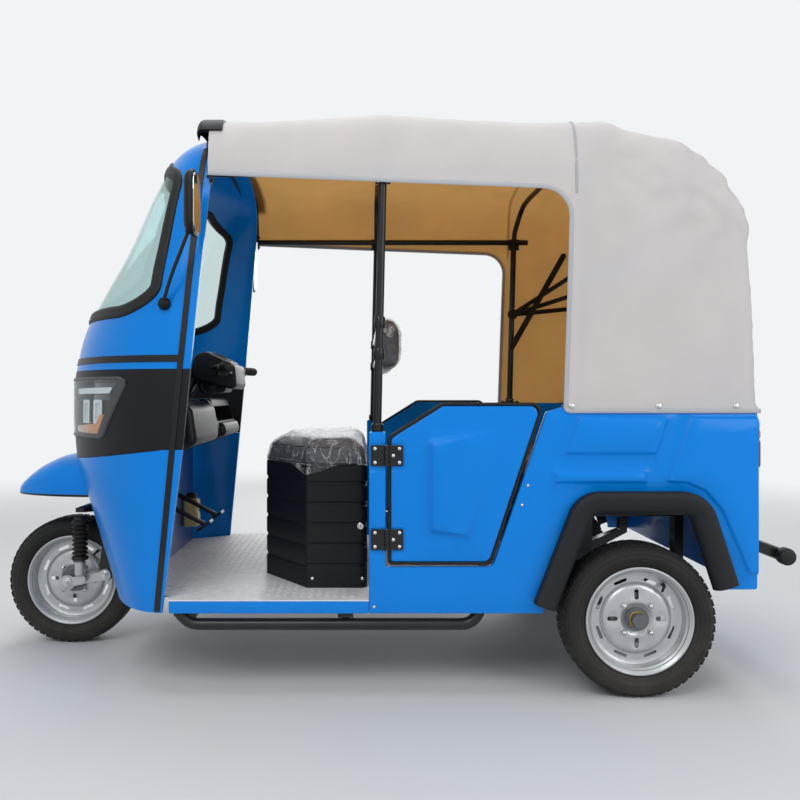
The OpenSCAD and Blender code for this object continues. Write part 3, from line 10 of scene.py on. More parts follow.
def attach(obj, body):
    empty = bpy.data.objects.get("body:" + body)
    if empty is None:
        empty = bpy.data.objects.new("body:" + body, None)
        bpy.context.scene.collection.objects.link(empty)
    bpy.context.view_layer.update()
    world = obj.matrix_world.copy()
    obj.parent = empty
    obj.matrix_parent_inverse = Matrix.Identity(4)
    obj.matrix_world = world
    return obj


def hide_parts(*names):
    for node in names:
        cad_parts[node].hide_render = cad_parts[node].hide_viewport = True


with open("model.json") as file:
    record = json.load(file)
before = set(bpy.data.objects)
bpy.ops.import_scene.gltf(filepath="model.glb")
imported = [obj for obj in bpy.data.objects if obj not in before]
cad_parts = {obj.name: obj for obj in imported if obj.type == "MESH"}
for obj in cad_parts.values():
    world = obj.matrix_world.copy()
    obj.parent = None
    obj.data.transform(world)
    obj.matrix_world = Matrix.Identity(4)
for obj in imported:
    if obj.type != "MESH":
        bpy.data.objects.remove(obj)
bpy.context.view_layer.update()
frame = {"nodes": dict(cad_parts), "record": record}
cadNodes = frame["nodes"]
slotOf = {s["node"]: s["material_slot"] for s in frame["record"]["subparts"]}
print("stage: frame loaded")

# main places of the vehicle, in metres
places = {
    "frontAxleX": 1.1445, "rearAxleX": -0.8555, "wheelR": 0.243, "wheelY": 0.570,
    "sideY": 0.610, "sillZ": 0.264, "tubTopZ": 0.921, "tailX": -1.2335,
    "postX": 0.0005, "doorFrontX": -0.0535,
}


# small geometry helpers
def lerp(a, b, s):
    return a + (b - a) * s


def smoothStep(x):
    x = min(1.0, max(0.0, x))
    return x * x * (3 - 2 * x)


def smoothTable(xs, ys):
    xs, ys = np.array(xs, float), np.array(ys, float)  # monotone cubic through the table
    h, d = np.diff(xs), np.diff(ys) / np.diff(xs)
    m = np.zeros(len(xs))
    m[0], m[-1] = d[0], d[-1]
    for i in range(1, len(xs) - 1):
        m[i] = 0 if d[i - 1] * d[i] <= 0 else 2 * d[i - 1] * d[i] / (d[i - 1] + d[i])

    def at(x):
        x = min(max(x, xs[0]), xs[-1])
        i = min(int(np.searchsorted(xs, x, side="right")) - 1, len(xs) - 2)
        s = (x - xs[i]) / h[i]
        return ((1 + 2 * s) * (1 - s) ** 2 * ys[i] + s * (1 - s) ** 2 * h[i] * m[i]
                + s * s * (3 - 2 * s) * ys[i + 1] + s * s * (s - 1) * h[i] * m[i + 1])
    return at


def roundedPolygon(corners, steps=8):
    points, n = [], len(corners)  # corners are (x, y, radius)
    for i, c in enumerate(corners):
        p = Vector(c[:2])
        if c[2] <= 0:
            points.append(p)
            continue
        a = (Vector(corners[i - 1][:2]) - p).normalized()
        b = (Vector(corners[(i + 1) % n][:2]) - p).normalized()
        half = a.angle(b) / 2
        centre = p + (a + b).normalized() * (c[2] / math.sin(half))
        s, e = p + a * (c[2] / math.tan(half)) - centre, p + b * (c[2] / math.tan(half)) - centre
        turn = math.atan2(s.x * e.y - s.y * e.x, s.dot(e))
        for k in range(steps + 1):
            w = turn * k / steps
            points.append(centre + Vector((s.x * math.cos(w) - s.y * math.sin(w),
                        s.x * math.sin(w) + s.y * math.cos(w))))
    return [(q.x, q.y) for q in points]


def resampled(points, spacing, closed=True):
    pts = [np.array(p, float) for p in points]
    if closed:
        pts.append(pts[0])
    out = []
    for a, b in zip(pts[:-1], pts[1:]):
        n = max(1, int(math.ceil(np.linalg.norm(b - a) / spacing)))
        out += [a + (b - a) * k / n for k in range(n)]
    if not closed:
        out.append(pts[-1])
    return [tuple(p) for p in out]


def insetPolygon(points, d):
    p = np.array(points, float)  # counter-clockwise or not, d moves inwards
    area = np.sum(p[:, 0] * np.roll(p[:, 1], -1) - np.roll(p[:, 0], -1) * p[:, 1])
    e = np.roll(p, -1, 0) - p
    e /= np.maximum(np.linalg.norm(e, axis=1, keepdims=True), 1e-12)
    n = np.stack([-e[:, 1], e[:, 0]], 1) * (1 if area > 0 else -1)
    before = np.roll(n, 1, 0)
    miter = n + before
    scale = d / np.maximum(0.3, 1 + np.sum(n * before, 1))
    return [tuple(q) for q in p + miter * scale[:, None]]


def insideMask(pts, polygon):
    x, y = pts[:, 0], pts[:, 1]
    inside = np.zeros(len(pts), bool)
    p = np.array(polygon, float)
    q = np.roll(p, -1, 0)
    for (x1, y1), (x2, y2) in zip(p, q):
        hit = (y1 > y) != (y2 > y)
        if hit.any():
            inside[hit] ^= x[hit] < (x2 - x1) * (y[hit] - y1) / (y2 - y1) + x1
    return inside


def edgeDistance(pts, polygon):
    best = np.full(len(pts), 1e9)
    p = np.array(polygon, float)
    for a, b in zip(p, np.roll(p, -1, 0)):
        ab = b - a
        s = np.clip(((pts - a) @ ab) / max(ab @ ab, 1e-18), 0, 1)
        best = np.minimum(best, np.linalg.norm(pts - (a + s[:, None] * ab), axis=1))
    return best


def filled(outline, holes, spacing, guides=()):
    loops = [outline] + list(holes) + list(guides)  # a triangle mesh inside a flat outline
    verts, edges = [], []
    for loop in loops:
        s = len(verts)
        verts += [tuple(p) for p in loop]
        edges += [(s + k, s + (k + 1) % len(loop)) for k in range(len(loop))]
    if spacing:
        o = np.array(outline, float)
        lo, hi = o.min(0), o.max(0)
        gx = np.arange(lo[0] + spacing / 2, hi[0], spacing)
        gy = np.arange(lo[1] + spacing / 2, hi[1], spacing * 0.866)
        grid = np.array([(x + (spacing / 2 if j % 2 else 0), y) for j, y in enumerate(gy) for x in gx])
        keep = insideMask(grid, outline)
        for h in holes:
            keep &= ~insideMask(grid, h)
        for loop in loops:
            keep &= edgeDistance(grid, loop) > spacing * 0.45
        verts += [tuple(p) for p in grid[keep]]
    made = delaunay_2d_cdt([Vector(v) for v in verts], edges, [], 0, 1e-7)
    flat = np.array([tuple(v) for v in made[0]], float)
    faces = np.array([f for f in made[2] if len(f) == 3], int)
    mid = flat[faces].mean(1)
    keep = insideMask(mid, outline)
    for h in holes:
        keep &= ~insideMask(mid, h)
    return flat, faces[keep]


def boundaryEdges(faces):
    count = {}
    for f in faces:
        for a, b in zip(f, np.roll(f, -1)):
            key = (min(a, b), max(a, b))
            count.setdefault(key, []).append((a, b))
    return [v[0] for v in count.values() if len(v) == 1]


def liftedShell(outline, holes, spacing, lift, outer, inner):
    flat, faces = filled(outline, holes, spacing)  # a thick skin over a flat pattern
    n = len(flat)
    top = [lift(u, v, outer) for u, v in flat]
    low = [lift(u, v, inner) for u, v in flat]
    allFaces = [tuple(f) for f in faces] + [tuple(n + k for k in f[::-1]) for f in faces]
    allFaces += [(b, a, n + a, n + b) for a, b in boundaryEdges(faces)]
    return top + low, allFaces


def tubeMesh(points, radius, sides=16, closed=False):
    pts = [Vector(p) for p in points]
    n = len(pts)
    radii = radius if hasattr(radius, "__len__") else [radius] * n
    verts, faces, side = [], [], None
    for i, p in enumerate(pts):
        t = (pts[(i + 1) % n] - pts[i - 1] if closed
            else pts[min(i + 1, n - 1)] - pts[max(i - 1, 0)]).normalized()
        if side is None:
            side = t.orthogonal().normalized()
        side = (side - t * side.dot(t)).normalized()
        up = t.cross(side)
        verts += [tuple(p + (side * math.cos(2 * math.pi * k / sides) + up
                    * math.sin(2 * math.pi * k / sides)) * radii[i]) for k in range(sides)]
    for i in range(n if closed else n - 1):
        j = (i + 1) % n
        faces += [(i * sides + k, i * sides + (k + 1) % sides, j * sides + (k + 1) % sides, j * sides + k)
            for k in range(sides)]
    if not closed:
        faces += [tuple(range(sides))[::-1], tuple((n - 1) * sides + k for k in range(sides))]
    return verts, faces


def bentPath(corners, bend, steps=6):
    pts = [Vector(c) for c in corners]  # a polyline with its corners rounded
    out = [pts[0]]
    for a, p, b in zip(pts[:-2], pts[1:-1], pts[2:]):
        r = min(bend, (a - p).length * 0.49, (b - p).length * 0.49)
        s, e = p + (a - p).normalized() * r, p + (b - p).normalized() * r
        out += [(1 - w) ** 2 * s + 2 * w * (1 - w) * p + w * w * e
            for w in [k / steps for k in range(steps + 1)]]
    return out + [pts[-1]]


def sweptMesh(points, normals, profile, closed=False):
    pts, n = [Vector(p) for p in points], len(points)  # profile is (across, out) pairs
    m, verts, faces = len(profile), [], []
    for i, p in enumerate(pts):
        t = (pts[(i + 1) % n] - pts[i - 1] if closed
            else pts[min(i + 1, n - 1)] - pts[max(i - 1, 0)]).normalized()
        out = Vector(normals[i])
        out = (out - t * out.dot(t)).normalized()
        across = t.cross(out)
        verts += [tuple(p + across * a + out * b) for a, b in profile]
    for i in range(n if closed else n - 1):
        j = (i + 1) % n
        faces += [(i * m + k, i * m + (k + 1) % m, j * m + (k + 1) % m, j * m + k) for k in range(m)]
    if not closed:
        faces += [tuple(range(m))[::-1], tuple((n - 1) * m + k for k in range(m))]
    return verts, faces


def latheMesh(profile, centre, segments=96, closed=True, flip=1):
    m, verts, faces = len(profile), [], []  # profile is (radius, set along Y) pairs
    for i in range(segments):
        a = 2 * math.pi * i / segments
        verts += [(centre[0] + r * math.sin(a), centre[1] + flip * y, centre[2] + r * math.cos(a))
            for r, y in profile]
    for i in range(segments):
        j = (i + 1) % segments
        faces += [(i * m + k, i * m + (k + 1) % m, j * m + (k + 1) % m, j * m + k)
            for k in range(m if closed else m - 1)]
    return verts, faces


def stackMesh(rings):
    n, verts, faces = len(rings[0]), [], []  # closed rings of equal length, first and last capped
    for r in rings:
        verts += [tuple(p) for p in r]
    for i in range(len(rings) - 1):
        faces += [(i * n + k, i * n + (k + 1) % n, (i + 1) * n + (k + 1) % n, (i + 1) * n + k)
            for k in range(n)]
    faces += [tuple(range(n))[::-1], tuple((len(rings) - 1) * n + k for k in range(n))]
    return verts, faces


def joined(*parts):
    verts, faces = [], []
    for v, f in parts:
        s = len(verts)
        verts += [tuple(p) for p in v]
        faces += [tuple(k + s for k in g) for g in f]
    return verts, faces


def mirrored(part):
    return [(x, -y, z) for x, y, z in part[0]], [tuple(f[::-1]) for f in part[1]]


def bothSides(part):
    return joined(part, mirrored(part))


def boxMesh(low, high, bevel=0.0):
    bm = bmesh.new()
    bmesh.ops.create_cube(bm, size=1.0)
    for v in bm.verts:
        v.co = Vector([lerp(l, h, c + 0.5) for l, h, c in zip(low, high, v.co)])
    if bevel:
        bmesh.ops.bevel(bm, geom=bm.edges[:], offset=bevel, segments=3, profile=0.5, affect="EDGES")
    bm.verts.index_update()
    part = [tuple(v.co) for v in bm.verts], [tuple(v.index for v in f.verts) for f in bm.faces]
    bm.free()
    return part


def addPiece(name, part, body, material, sharp=32, replaces=()):
    mesh = bpy.data.meshes.new(name)
    mesh.from_pydata([tuple(map(float, v)) for v in part[0]], [], [tuple(int(k) for k in f) for f in part[1]])
    bm = bmesh.new()
    bm.from_mesh(mesh)
    bmesh.ops.recalc_face_normals(bm, faces=bm.faces[:])
    bm.to_mesh(mesh)
    bm.free()
    mesh.shade_smooth()
    mesh.set_sharp_from_angle(angle=math.radians(sharp))
    for m in material if isinstance(material, (list, tuple)) else [material]:
        mesh.materials.append(m)
    obj = bpy.data.objects.new(name, mesh)
    bpy.context.scene.collection.objects.link(obj)
    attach(obj, body)
    if replaces:
        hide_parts(*replaces)
    return obj


# shared shader effects
def toLinear(hexColour):
    c = [int(hexColour[i:i + 2], 16) / 255 for i in (1, 3, 5)]
    return [x / 12.92 if x <= 0.04045 else ((x + 0.055) / 1.055) ** 2.4 for x in c]


def newGroup(name, inputs, outputs):
    tree = bpy.data.node_groups.new(name, "ShaderNodeTree")
    for label, kind, value in inputs:
        socket = tree.interface.new_socket(label, in_out="INPUT", socket_type=kind)
        if value is not None:
            socket.default_value = value
    for label, kind in outputs:
        tree.interface.new_socket(label, in_out="OUTPUT", socket_type=kind)
    return tree, tree.nodes.new("NodeGroupInput"), tree.nodes.new("NodeGroupOutput")


def makeGrain():
    tree, source, out = newGroup("grain",
        [("Vector", "NodeSocketVector", None), ("Scale", "NodeSocketFloat", 40.0),
            ("Amount", "NodeSocketFloat", 0.1)],
        [("Shade", "NodeSocketFloat"), ("Height", "NodeSocketFloat")])
    n, link = tree.nodes, tree.links.new
    coarse = n.new("ShaderNodeTexNoise")
    fine = n.new("ShaderNodeTexNoise")
    times = n.new("ShaderNodeMath")
    times.operation = "MULTIPLY"
    times.inputs[1].default_value = 9.0
    coarse.inputs["Detail"].default_value = 4.0
    fine.inputs["Detail"].default_value = 3.0
    spread = n.new("ShaderNodeMapRange")
    spread.inputs["From Min"].default_value = 0.25
    spread.inputs["From Max"].default_value = 0.75
    less = n.new("ShaderNodeMath")
    less.operation = "SUBTRACT"
    less.inputs[0].default_value = 1.0
    link(source.outputs["Vector"], coarse.inputs["Vector"])
    link(source.outputs["Vector"], fine.inputs["Vector"])
    link(source.outputs["Scale"], coarse.inputs["Scale"])
    link(source.outputs["Scale"], times.inputs[0])
    link(times.outputs[0], fine.inputs["Scale"])
    link(coarse.outputs["Fac"], spread.inputs["Value"])
    link(source.outputs["Amount"], less.inputs[1])
    link(less.outputs[0], spread.inputs["To Min"])
    spread.inputs["To Max"].default_value = 1.0
    link(spread.outputs["Result"], out.inputs["Shade"])
    link(fine.outputs["Fac"], out.inputs["Height"])
    return tree


def makeDust():
    tree, source, out = newGroup("dust", [("Vector", "NodeSocketVector", None),
            ("Base", "NodeSocketColor", (0.5, 0.5, 0.5, 1)), ("Amount", "NodeSocketFloat", 0.2),
            ("Reach", "NodeSocketFloat", 0.6)],
        [("Colour", "NodeSocketColor"), ("Mask", "NodeSocketFloat")])
    n, link = tree.nodes, tree.links.new
    split = n.new("ShaderNodeSeparateXYZ")
    fall = n.new("ShaderNodeMapRange")
    fall.inputs["From Min"].default_value = 0.0
    fall.inputs["To Min"].default_value = 1.0
    fall.inputs["To Max"].default_value = 0.0
    speck = n.new("ShaderNodeTexNoise")
    speck.inputs["Scale"].default_value = 14.0
    speck.inputs["Detail"].default_value = 6.0
    mask = n.new("ShaderNodeMath")
    mask.operation = "MULTIPLY"
    part = n.new("ShaderNodeMath")
    part.operation = "MULTIPLY"
    blend = n.new("ShaderNodeMix")
    blend.data_type = "RGBA"
    blend.inputs["B"].default_value = (0.34, 0.31, 0.27, 1)
    link(source.outputs["Vector"], split.inputs[0])
    link(split.outputs["Z"], fall.inputs["Value"])
    link(source.outputs["Reach"], fall.inputs["From Max"])
    link(source.outputs["Vector"], speck.inputs["Vector"])
    link(fall.outputs["Result"], mask.inputs[0])
    link(speck.outputs["Fac"], mask.inputs[1])
    link(mask.outputs[0], part.inputs[0])
    link(source.outputs["Amount"], part.inputs[1])
    link(part.outputs[0], blend.inputs["Factor"])
    link(source.outputs["Base"], blend.inputs["A"])
    link(blend.outputs["Result"], out.inputs["Colour"])
    link(part.outputs[0], out.inputs["Mask"])
    return tree


def makeWeave():
    tree, source, out = newGroup("weave",
        [("Vector", "NodeSocketVector", None), ("Scale", "NodeSocketFloat", 900.0)],
        [("Height", "NodeSocketFloat")])
    n, link = tree.nodes, tree.links.new
    waves = []
    for way in ("X", "Z"):
        wave = n.new("ShaderNodeTexWave")
        wave.bands_direction = way
        wave.inputs["Distortion"].default_value = 0.4
        link(source.outputs["Vector"], wave.inputs["Vector"])
        link(source.outputs["Scale"], wave.inputs["Scale"])
        waves.append(wave)
    both = n.new("ShaderNodeMath")
    both.operation = "MULTIPLY"
    link(waves[0].outputs["Fac"], both.inputs[0])
    link(waves[1].outputs["Fac"], both.inputs[1])
    link(both.outputs[0], out.inputs["Height"])
    return tree


grainGroup, dustGroup, weaveGroup = makeGrain(), makeDust(), makeWeave()


def surface(name, colour, rough=0.4, metal=0.0, grain=(30.0, 0.12), bump=0.05, dust=0.12, coat=0.0,
        weave=0.0, clear=0.0, deep=0.001, spec=0.5, through=0.0, glintStreaks=0.0):
    m = bpy.data.materials.new(name)
    m.use_nodes = True
    n, link = m.node_tree.nodes, m.node_tree.links.new
    shader = n["Principled BSDF"]
    where = n.new("ShaderNodeTexCoord")
    g = n.new("ShaderNodeGroup")
    g.node_tree = grainGroup
    g.inputs["Scale"].default_value = grain[0]
    g.inputs["Amount"].default_value = grain[1]
    link(where.outputs["Object"], g.inputs["Vector"])
    tint = n.new("ShaderNodeMix")
    tint.data_type = "RGBA"
    tint.blend_type = "MULTIPLY"
    tint.inputs["Factor"].default_value = 1.0
    tint.inputs["A"].default_value = (*toLinear(colour), 1)
    link(g.outputs["Shade"], tint.inputs["B"])
    d = n.new("ShaderNodeGroup")
    d.node_tree = dustGroup
    d.inputs["Amount"].default_value = dust
    link(where.outputs["Object"], d.inputs["Vector"])
    link(tint.outputs["Result"], d.inputs["Base"])
    link(d.outputs["Colour"], shader.inputs["Base Color"])
    ruff = n.new("ShaderNodeMath")
    ruff.operation = "MULTIPLY_ADD"
    ruff.inputs[1].default_value = 0.35
    ruff.inputs[2].default_value = rough
    link(d.outputs["Mask"], ruff.inputs[0])
    link(ruff.outputs[0], shader.inputs["Roughness"])
    height = n.new("ShaderNodeBump")
    height.inputs["Strength"].default_value = bump
    height.inputs["Distance"].default_value = deep
    if weave:
        w = n.new("ShaderNodeGroup")
        w.node_tree = weaveGroup
        w.inputs["Scale"].default_value = weave
        link(where.outputs["Object"], w.inputs["Vector"])
        link(w.outputs["Height"], height.inputs["Height"])
    else:
        link(g.outputs["Height"], height.inputs["Height"])
    link(height.outputs["Normal"], shader.inputs["Normal"])
    shader.inputs["Metallic"].default_value = metal
    shader.inputs["Coat Weight"].default_value = coat
    shader.inputs["Coat Roughness"].default_value = 0.04
    shader.inputs["Specular IOR Level"].default_value = spec
    if through:  # daylight coming through cloth
        lit = n.new("ShaderNodeBsdfTranslucent")
        both = n.new("ShaderNodeMixShader")
        both.inputs[0].default_value = through
        link(d.outputs["Colour"], lit.inputs["Color"])
        link(shader.outputs[0], both.inputs[1])
        link(lit.outputs[0], both.inputs[2])
        link(both.outputs[0], n["Material Output"].inputs["Surface"])
    if clear:
        see = n.new("ShaderNodeBsdfTransparent")
        see.inputs["Color"].default_value = (*toLinear(colour), 1)
        face, gloss = n.new("ShaderNodeLayerWeight"), n.new("ShaderNodeBsdfGlossy")
        steep = n.new("ShaderNodeMath")
        face.inputs["Blend"].default_value = 0.3
        gloss.inputs["Roughness"].default_value = rough
        steep.operation = "POWER"
        steep.inputs[1].default_value = 3.0
        link(height.outputs["Normal"], gloss.inputs["Normal"])
        link(height.outputs["Normal"], face.inputs["Normal"])
        amount = n.new("ShaderNodeMath")
        amount.operation = "MULTIPLY_ADD"
        amount.inputs[1].default_value = 0.55
        amount.inputs[2].default_value = (1 - clear) / 2
        amount.use_clamp = True
        mix = n.new("ShaderNodeMixShader")
        link(face.outputs["Facing"], steep.inputs[0])
        link(steep.outputs[0], amount.inputs[0])
        share = amount
        if glintStreaks:  # painted highlight: thin noise lines raise the film's share of white gloss, standing in for light glinting off its creases
            stretch, glintNoise = n.new("ShaderNodeMapping"), n.new("ShaderNodeTexNoise")
            line = n.new("ShaderNodeMath")
            stretch.inputs["Scale"].default_value = (1.0, 1.0, 0.30)
            for key, value in (("Scale", glintStreaks), ("Detail", 3.0), ("Roughness", 0.6), ("Distortion", 1.4)):
                glintNoise.inputs[key].default_value = value
            line.operation = "COMPARE"
            line.inputs[1].default_value, line.inputs[2].default_value = 0.5, 0.022
            share = n.new("ShaderNodeMath")
            share.operation = "MULTIPLY_ADD"
            share.inputs[1].default_value = 0.42
            share.use_clamp = True
            link(where.outputs["Object"], stretch.inputs["Vector"])
            link(stretch.outputs["Vector"], glintNoise.inputs["Vector"])
            link(glintNoise.outputs["Fac"], line.inputs[0])
            link(line.outputs[0], share.inputs[0])
            link(amount.outputs[0], share.inputs[2])
        link(share.outputs[0], mix.inputs[0])
        link(see.outputs[0], mix.inputs[1])
        link(gloss.outputs[0], mix.inputs[2])
        link(mix.outputs[0], n["Material Output"].inputs["Surface"])
    return m


looks = {
    "bluePaint": surface("bluePaint", "#0084E4", rough=0.26, coat=0.10, grain=(3.0, 0.05), bump=0.01,
        dust=0.03, spec=0.16),
    "navyPaint": surface("navyPaint", "#0B3F8C", rough=0.35, coat=0.3, grain=(4.0, 0.08), bump=0.02),
    "blackTrim": surface("blackTrim", "#131518", rough=0.38, grain=(60.0, 0.2), bump=0.08, spec=0.28),
    "blackRubber": surface("blackRubber", "#131415", rough=0.55, grain=(70.0, 0.2), bump=0.15, spec=0.3),
    "clearGlass": surface("clearGlass", "#EAF3F3", rough=0.03, clear=0.93, grain=(2.0, 0.03), bump=0.0,
        dust=0.0),
    "clearLens": surface("clearLens", "#F4F7F8", rough=0.03, clear=0.90, grain=(2.0, 0.03), bump=0.0,
        dust=0.0),
    # the seat film's streaks are painted highlight lines of extra white gloss
    "clearFilm": surface("clearFilm", "#F4F6F8", rough=0.16, clear=0.78, grain=(24.0, 0.06), bump=1.0,
        deep=0.010, dust=0.0, glintStreaks=20.0),
    "windowFilm": surface("windowFilm", "#F2F4F2", rough=0.08, clear=0.86, grain=(9.0, 0.05), bump=0.4,
        deep=0.003, dust=0.0),
    "blackPlastic": surface("blackPlastic", "#131519", rough=0.42, grain=(120.0, 0.18), bump=0.22,
        dust=0.04, spec=0.2),
    "reflector": surface("reflector", "#E4E7EA", rough=0.08, metal=1.0, grain=(5.0, 0.04), bump=0.0,
        dust=0.0),
    "canvasOut": surface("canvasOut", "#EEF1F7", rough=0.62, grain=(5.0, 0.07), bump=0.12, weave=700.0,
        dust=0.0, through=0.40),
    "canvasSeam": surface("canvasSeam", "#B2B4B9", rough=0.62, grain=(5.0, 0.07), bump=0.12, weave=700.0,
        dust=0.0),
    "canvasIn": surface("canvasIn", "#E6B46C", rough=0.8, grain=(6.0, 0.12), bump=0.2, weave=500.0,
        dust=0.0, through=0.60),
    "blackSteel": surface("blackSteel", "#121316", rough=0.30, grain=(40.0, 0.2), bump=0.05, coat=0.12,
        spec=0.3),
    "floorAluminium": surface("floorAluminium", "#EDEEF0", rough=0.46, metal=0.12, grain=(25.0, 0.15),
        bump=0.05, dust=0.1),
    "amberPlastic": surface("amberPlastic", "#D8CC8C", rough=0.25, grain=(20.0, 0.1), bump=0.03),
    "seatVinyl": surface("seatVinyl", "#2B2E3A", rough=0.42, grain=(90.0, 0.18), bump=0.3),
    "benchVinyl": surface("benchVinyl", "#34312F", rough=0.45, grain=(90.0, 0.18), bump=0.3),
    "charcoalPlastic": surface("charcoalPlastic", "#1B1E22", rough=0.55, grain=(140.0, 0.22), bump=0.35,
        dust=0.06, spec=0.24),
    "redLens": surface("redLens", "#A80F14", rough=0.10, grain=(20.0, 0.1), bump=0.02, coat=0.6, dust=0.0),
    "amberLens": surface("amberLens", "#F08A12", rough=0.12, grain=(20.0, 0.1), bump=0.02, coat=0.6,
        dust=0.0),
    "castGrey": surface("castGrey", "#6C7074", rough=0.5, metal=0.7, grain=(50.0, 0.25), bump=0.3, dust=0.2),
    "mirrorFace": surface("mirrorFace", "#D5DDE2", rough=0.02, metal=1.0, grain=(3.0, 0.03), bump=0.0,
        dust=0.0),
    "tyreRubber": surface("tyreRubber", "#191A1B", rough=0.68, grain=(60.0, 0.25), bump=0.25, dust=0.18,
        spec=0.25),
    "silverPaint": surface("silverPaint", "#BFC2C5", rough=0.30, metal=0.55, grain=(30.0, 0.1), bump=0.04,
        dust=0.08),
    "brightSteel": surface("brightSteel", "#C9CBCD", rough=0.22, metal=1.0, grain=(45.0, 0.12), bump=0.03),
    "goldNut": surface("goldNut", "#C9A24C", rough=0.32, metal=0.9, grain=(45.0, 0.2), bump=0.05),
    "greyPlastic": surface("greyPlastic", "#8C9196", rough=0.4, grain=(80.0, 0.12), bump=0.1),
    "redButton": surface("redButton", "#C3161C", rough=0.3, grain=(30.0, 0.1), bump=0.02),
    "lampFrame": surface("lampFrame", "#3C3F42", rough=0.45, grain=(90.0, 0.15), bump=0.15),
    "lampDark": surface("lampDark", "#0B0C0E", rough=0.16, grain=(20.0, 0.1), bump=0.02, dust=0.0),
    "whiteLamp": surface("whiteLamp", "#F2F5F6", rough=0.2, grain=(10.0, 0.05), bump=0.0, dust=0.0),
}
lookOfSlot = {
    "blue_paint": "bluePaint", "navy_paint": "navyPaint", "black_trim": "blackTrim",
    "black_rubber": "blackRubber", "clear_glass": "clearGlass", "clear_lens": "clearLens",
    "clear_film": "windowFilm", "black_plastic": "blackPlastic", "bright_reflector": "reflector",
    "canvas": "canvasOut", "black_steel": "blackSteel", "floor_aluminium": "floorAluminium",
    "amber_plastic": "amberPlastic", "seat_vinyl": "seatVinyl", "bench_vinyl": "benchVinyl",
    "charcoal_plastic": "charcoalPlastic", "red_lens": "redLens", "cast_grey": "castGrey",
    "mirror_face": "mirrorFace", "tyre_rubber": "tyreRubber", "silver_steel": "silverPaint",
}
for nodeName, obj in cadNodes.items():
    obj.data.materials.clear()
    obj.data.materials.append(looks[lookOfSlot[slotOf[nodeName]]])
print("stage: materials")


# cab: skin rows from sill to roof
cab = {
    "edgeX": 0.6545, "lean": 0.150, "reach": 0.455, "topZ": 1.866, "wall": 0.014, "edgeReturn": 0.012,
    "quarter": 0.60, "cap": 0.24,
    "beltTopZ": 1.042, "beltNoseZ": 0.722, "beltEdgeZ": 0.784, "bayHalf": 0.255, "bayTopZ": 0.600,
    "bayR": 0.050,
    "heights": [0, 0.090, 0.183, 0.288, 0.394, 0.455, 0.512, 0.554, 0.616, 0.680, 0.740, 0.800, 0.858,
        0.905, 0.938, 0.963, 0.983, 1.0],
    "noses": [0.594, 0.720, 0.840, 0.972, 1.0, 1.0, 0.966, 0.931, 0.838, 0.705, 0.573, 0.462, 0.364, 0.268,
        0.198, 0.130, 0.045, -0.076],
    "halves": [0.984, 0.984, 0.984, 0.984, 0.984, 0.982, 0.978, 0.973, 0.965, 0.955, 0.943, 0.931, 0.915,
        0.885, 0.835, 0.745, 0.620, 0.400],
}
cabNose, cabHalf = smoothTable(cab["heights"], cab["noses"]), smoothTable(cab["heights"], cab["halves"])
cabTall = cab["topZ"] - places["sillZ"]
rowZ = np.linspace(places["sillZ"], cab["topZ"], 500)


def cabRow(z):
    u = (z - places["sillZ"]) / cabTall
    back = cab["edgeX"] - cab["lean"] * u
    return back, cab["edgeX"] + cab["reach"] * cabNose(u) - back, places["sideY"] * cabHalf(u)


rowHalf = np.array([cabRow(z)[2] for z in rowZ])
rowV = np.concatenate([[0], np.cumsum(np.hypot(np.diff(rowZ), np.diff(rowHalf)))])
topV = rowV[-1]


def rowOf(z):
    return float(np.interp(z, rowZ, rowV))


def cabSkin(u, v):
    z, s = float(np.interp(v, rowV, rowZ)), 1.0
    if v > topV:
        s = max(0.01, 1 - (v - topV) / cab["cap"])
        z = cab["topZ"] + 0.005 * (1 - s * s)
    back, deep, half = cabRow(min(z, cab["topZ"]))
    turn = max(-1, min(1, u / cab["quarter"])) * math.pi / 2
    over = max(0, abs(u) - cab["quarter"])
    return Vector((back + deep * s * math.cos(turn) - over, half * s * math.sin(turn), z))


def cabLift(u, v, inset):
    e = 0.002
    across = cabSkin(u + e, v) - cabSkin(u - e, v)
    up = cabSkin(u, min(v + e, topV + cab["cap"])) - cabSkin(u, max(v - e, 0))
    return tuple(cabSkin(u, v) - across.cross(up).normalized() * inset)


def acrossOf(y, z):
    return math.asin(max(-1, min(1, y / cabRow(z)[2]))) / (math.pi / 2) * cab["quarter"]


def aroundOf(x, z):
    back, deep, half = cabRow(z)
    return math.acos(max(-1, min(1, (x - back) / deep))) / (math.pi / 2) * cab["quarter"]


edgeU = cab["quarter"] + cab["edgeReturn"]
screen = {"footZ": 1.2188, "topZ": 1.7667, "shoulderZ": 1.685, "foot": 0.573, "shoulder": 0.523,
    "crown": 0.350, "r": 0.075, "seal": 0.034}


def screenOutline(inset):
    foot, shoulder = screen["foot"] - inset / 3, screen["shoulder"] - inset / 3
    flat = roundedPolygon([(-foot, screen["footZ"] + inset, screen["r"]),
            (foot, screen["footZ"] + inset, screen["r"]),
            (shoulder, screen["shoulderZ"] - inset / 2, screen["r"]),
            (screen["crown"], screen["topZ"] - inset, screen["r"]),
            (-screen["crown"], screen["topZ"] - inset, screen["r"]),
            (-shoulder, screen["shoulderZ"] - inset / 2, screen["r"])], 10)
    return [(acrossOf(y, z), rowOf(z)) for y, z in resampled(flat, 0.018)]


def beltLow(u):
    x = cabSkin(u, rowOf(0.75)).x
    share = min(1, max(0, (places["frontAxleX"] - x) / 0.490))
    return cab["beltNoseZ"] + (cab["beltEdgeZ"] - cab["beltNoseZ"]) * share


upperOutline = resampled([(-edgeU, rowOf(cab["beltTopZ"])), (edgeU, rowOf(cab["beltTopZ"])),
        (edgeU, topV + cab["cap"] * 0.97), (-edgeU, topV + cab["cap"] * 0.97)], 0.02)
upperCowl = addPiece("upperCowl", liftedShell(upperOutline, [screenOutline(0.004)], 0.024, cabLift, 0,
        cab["wall"]), "body", looks["bluePaint"], 40, ["upper_cowl"])

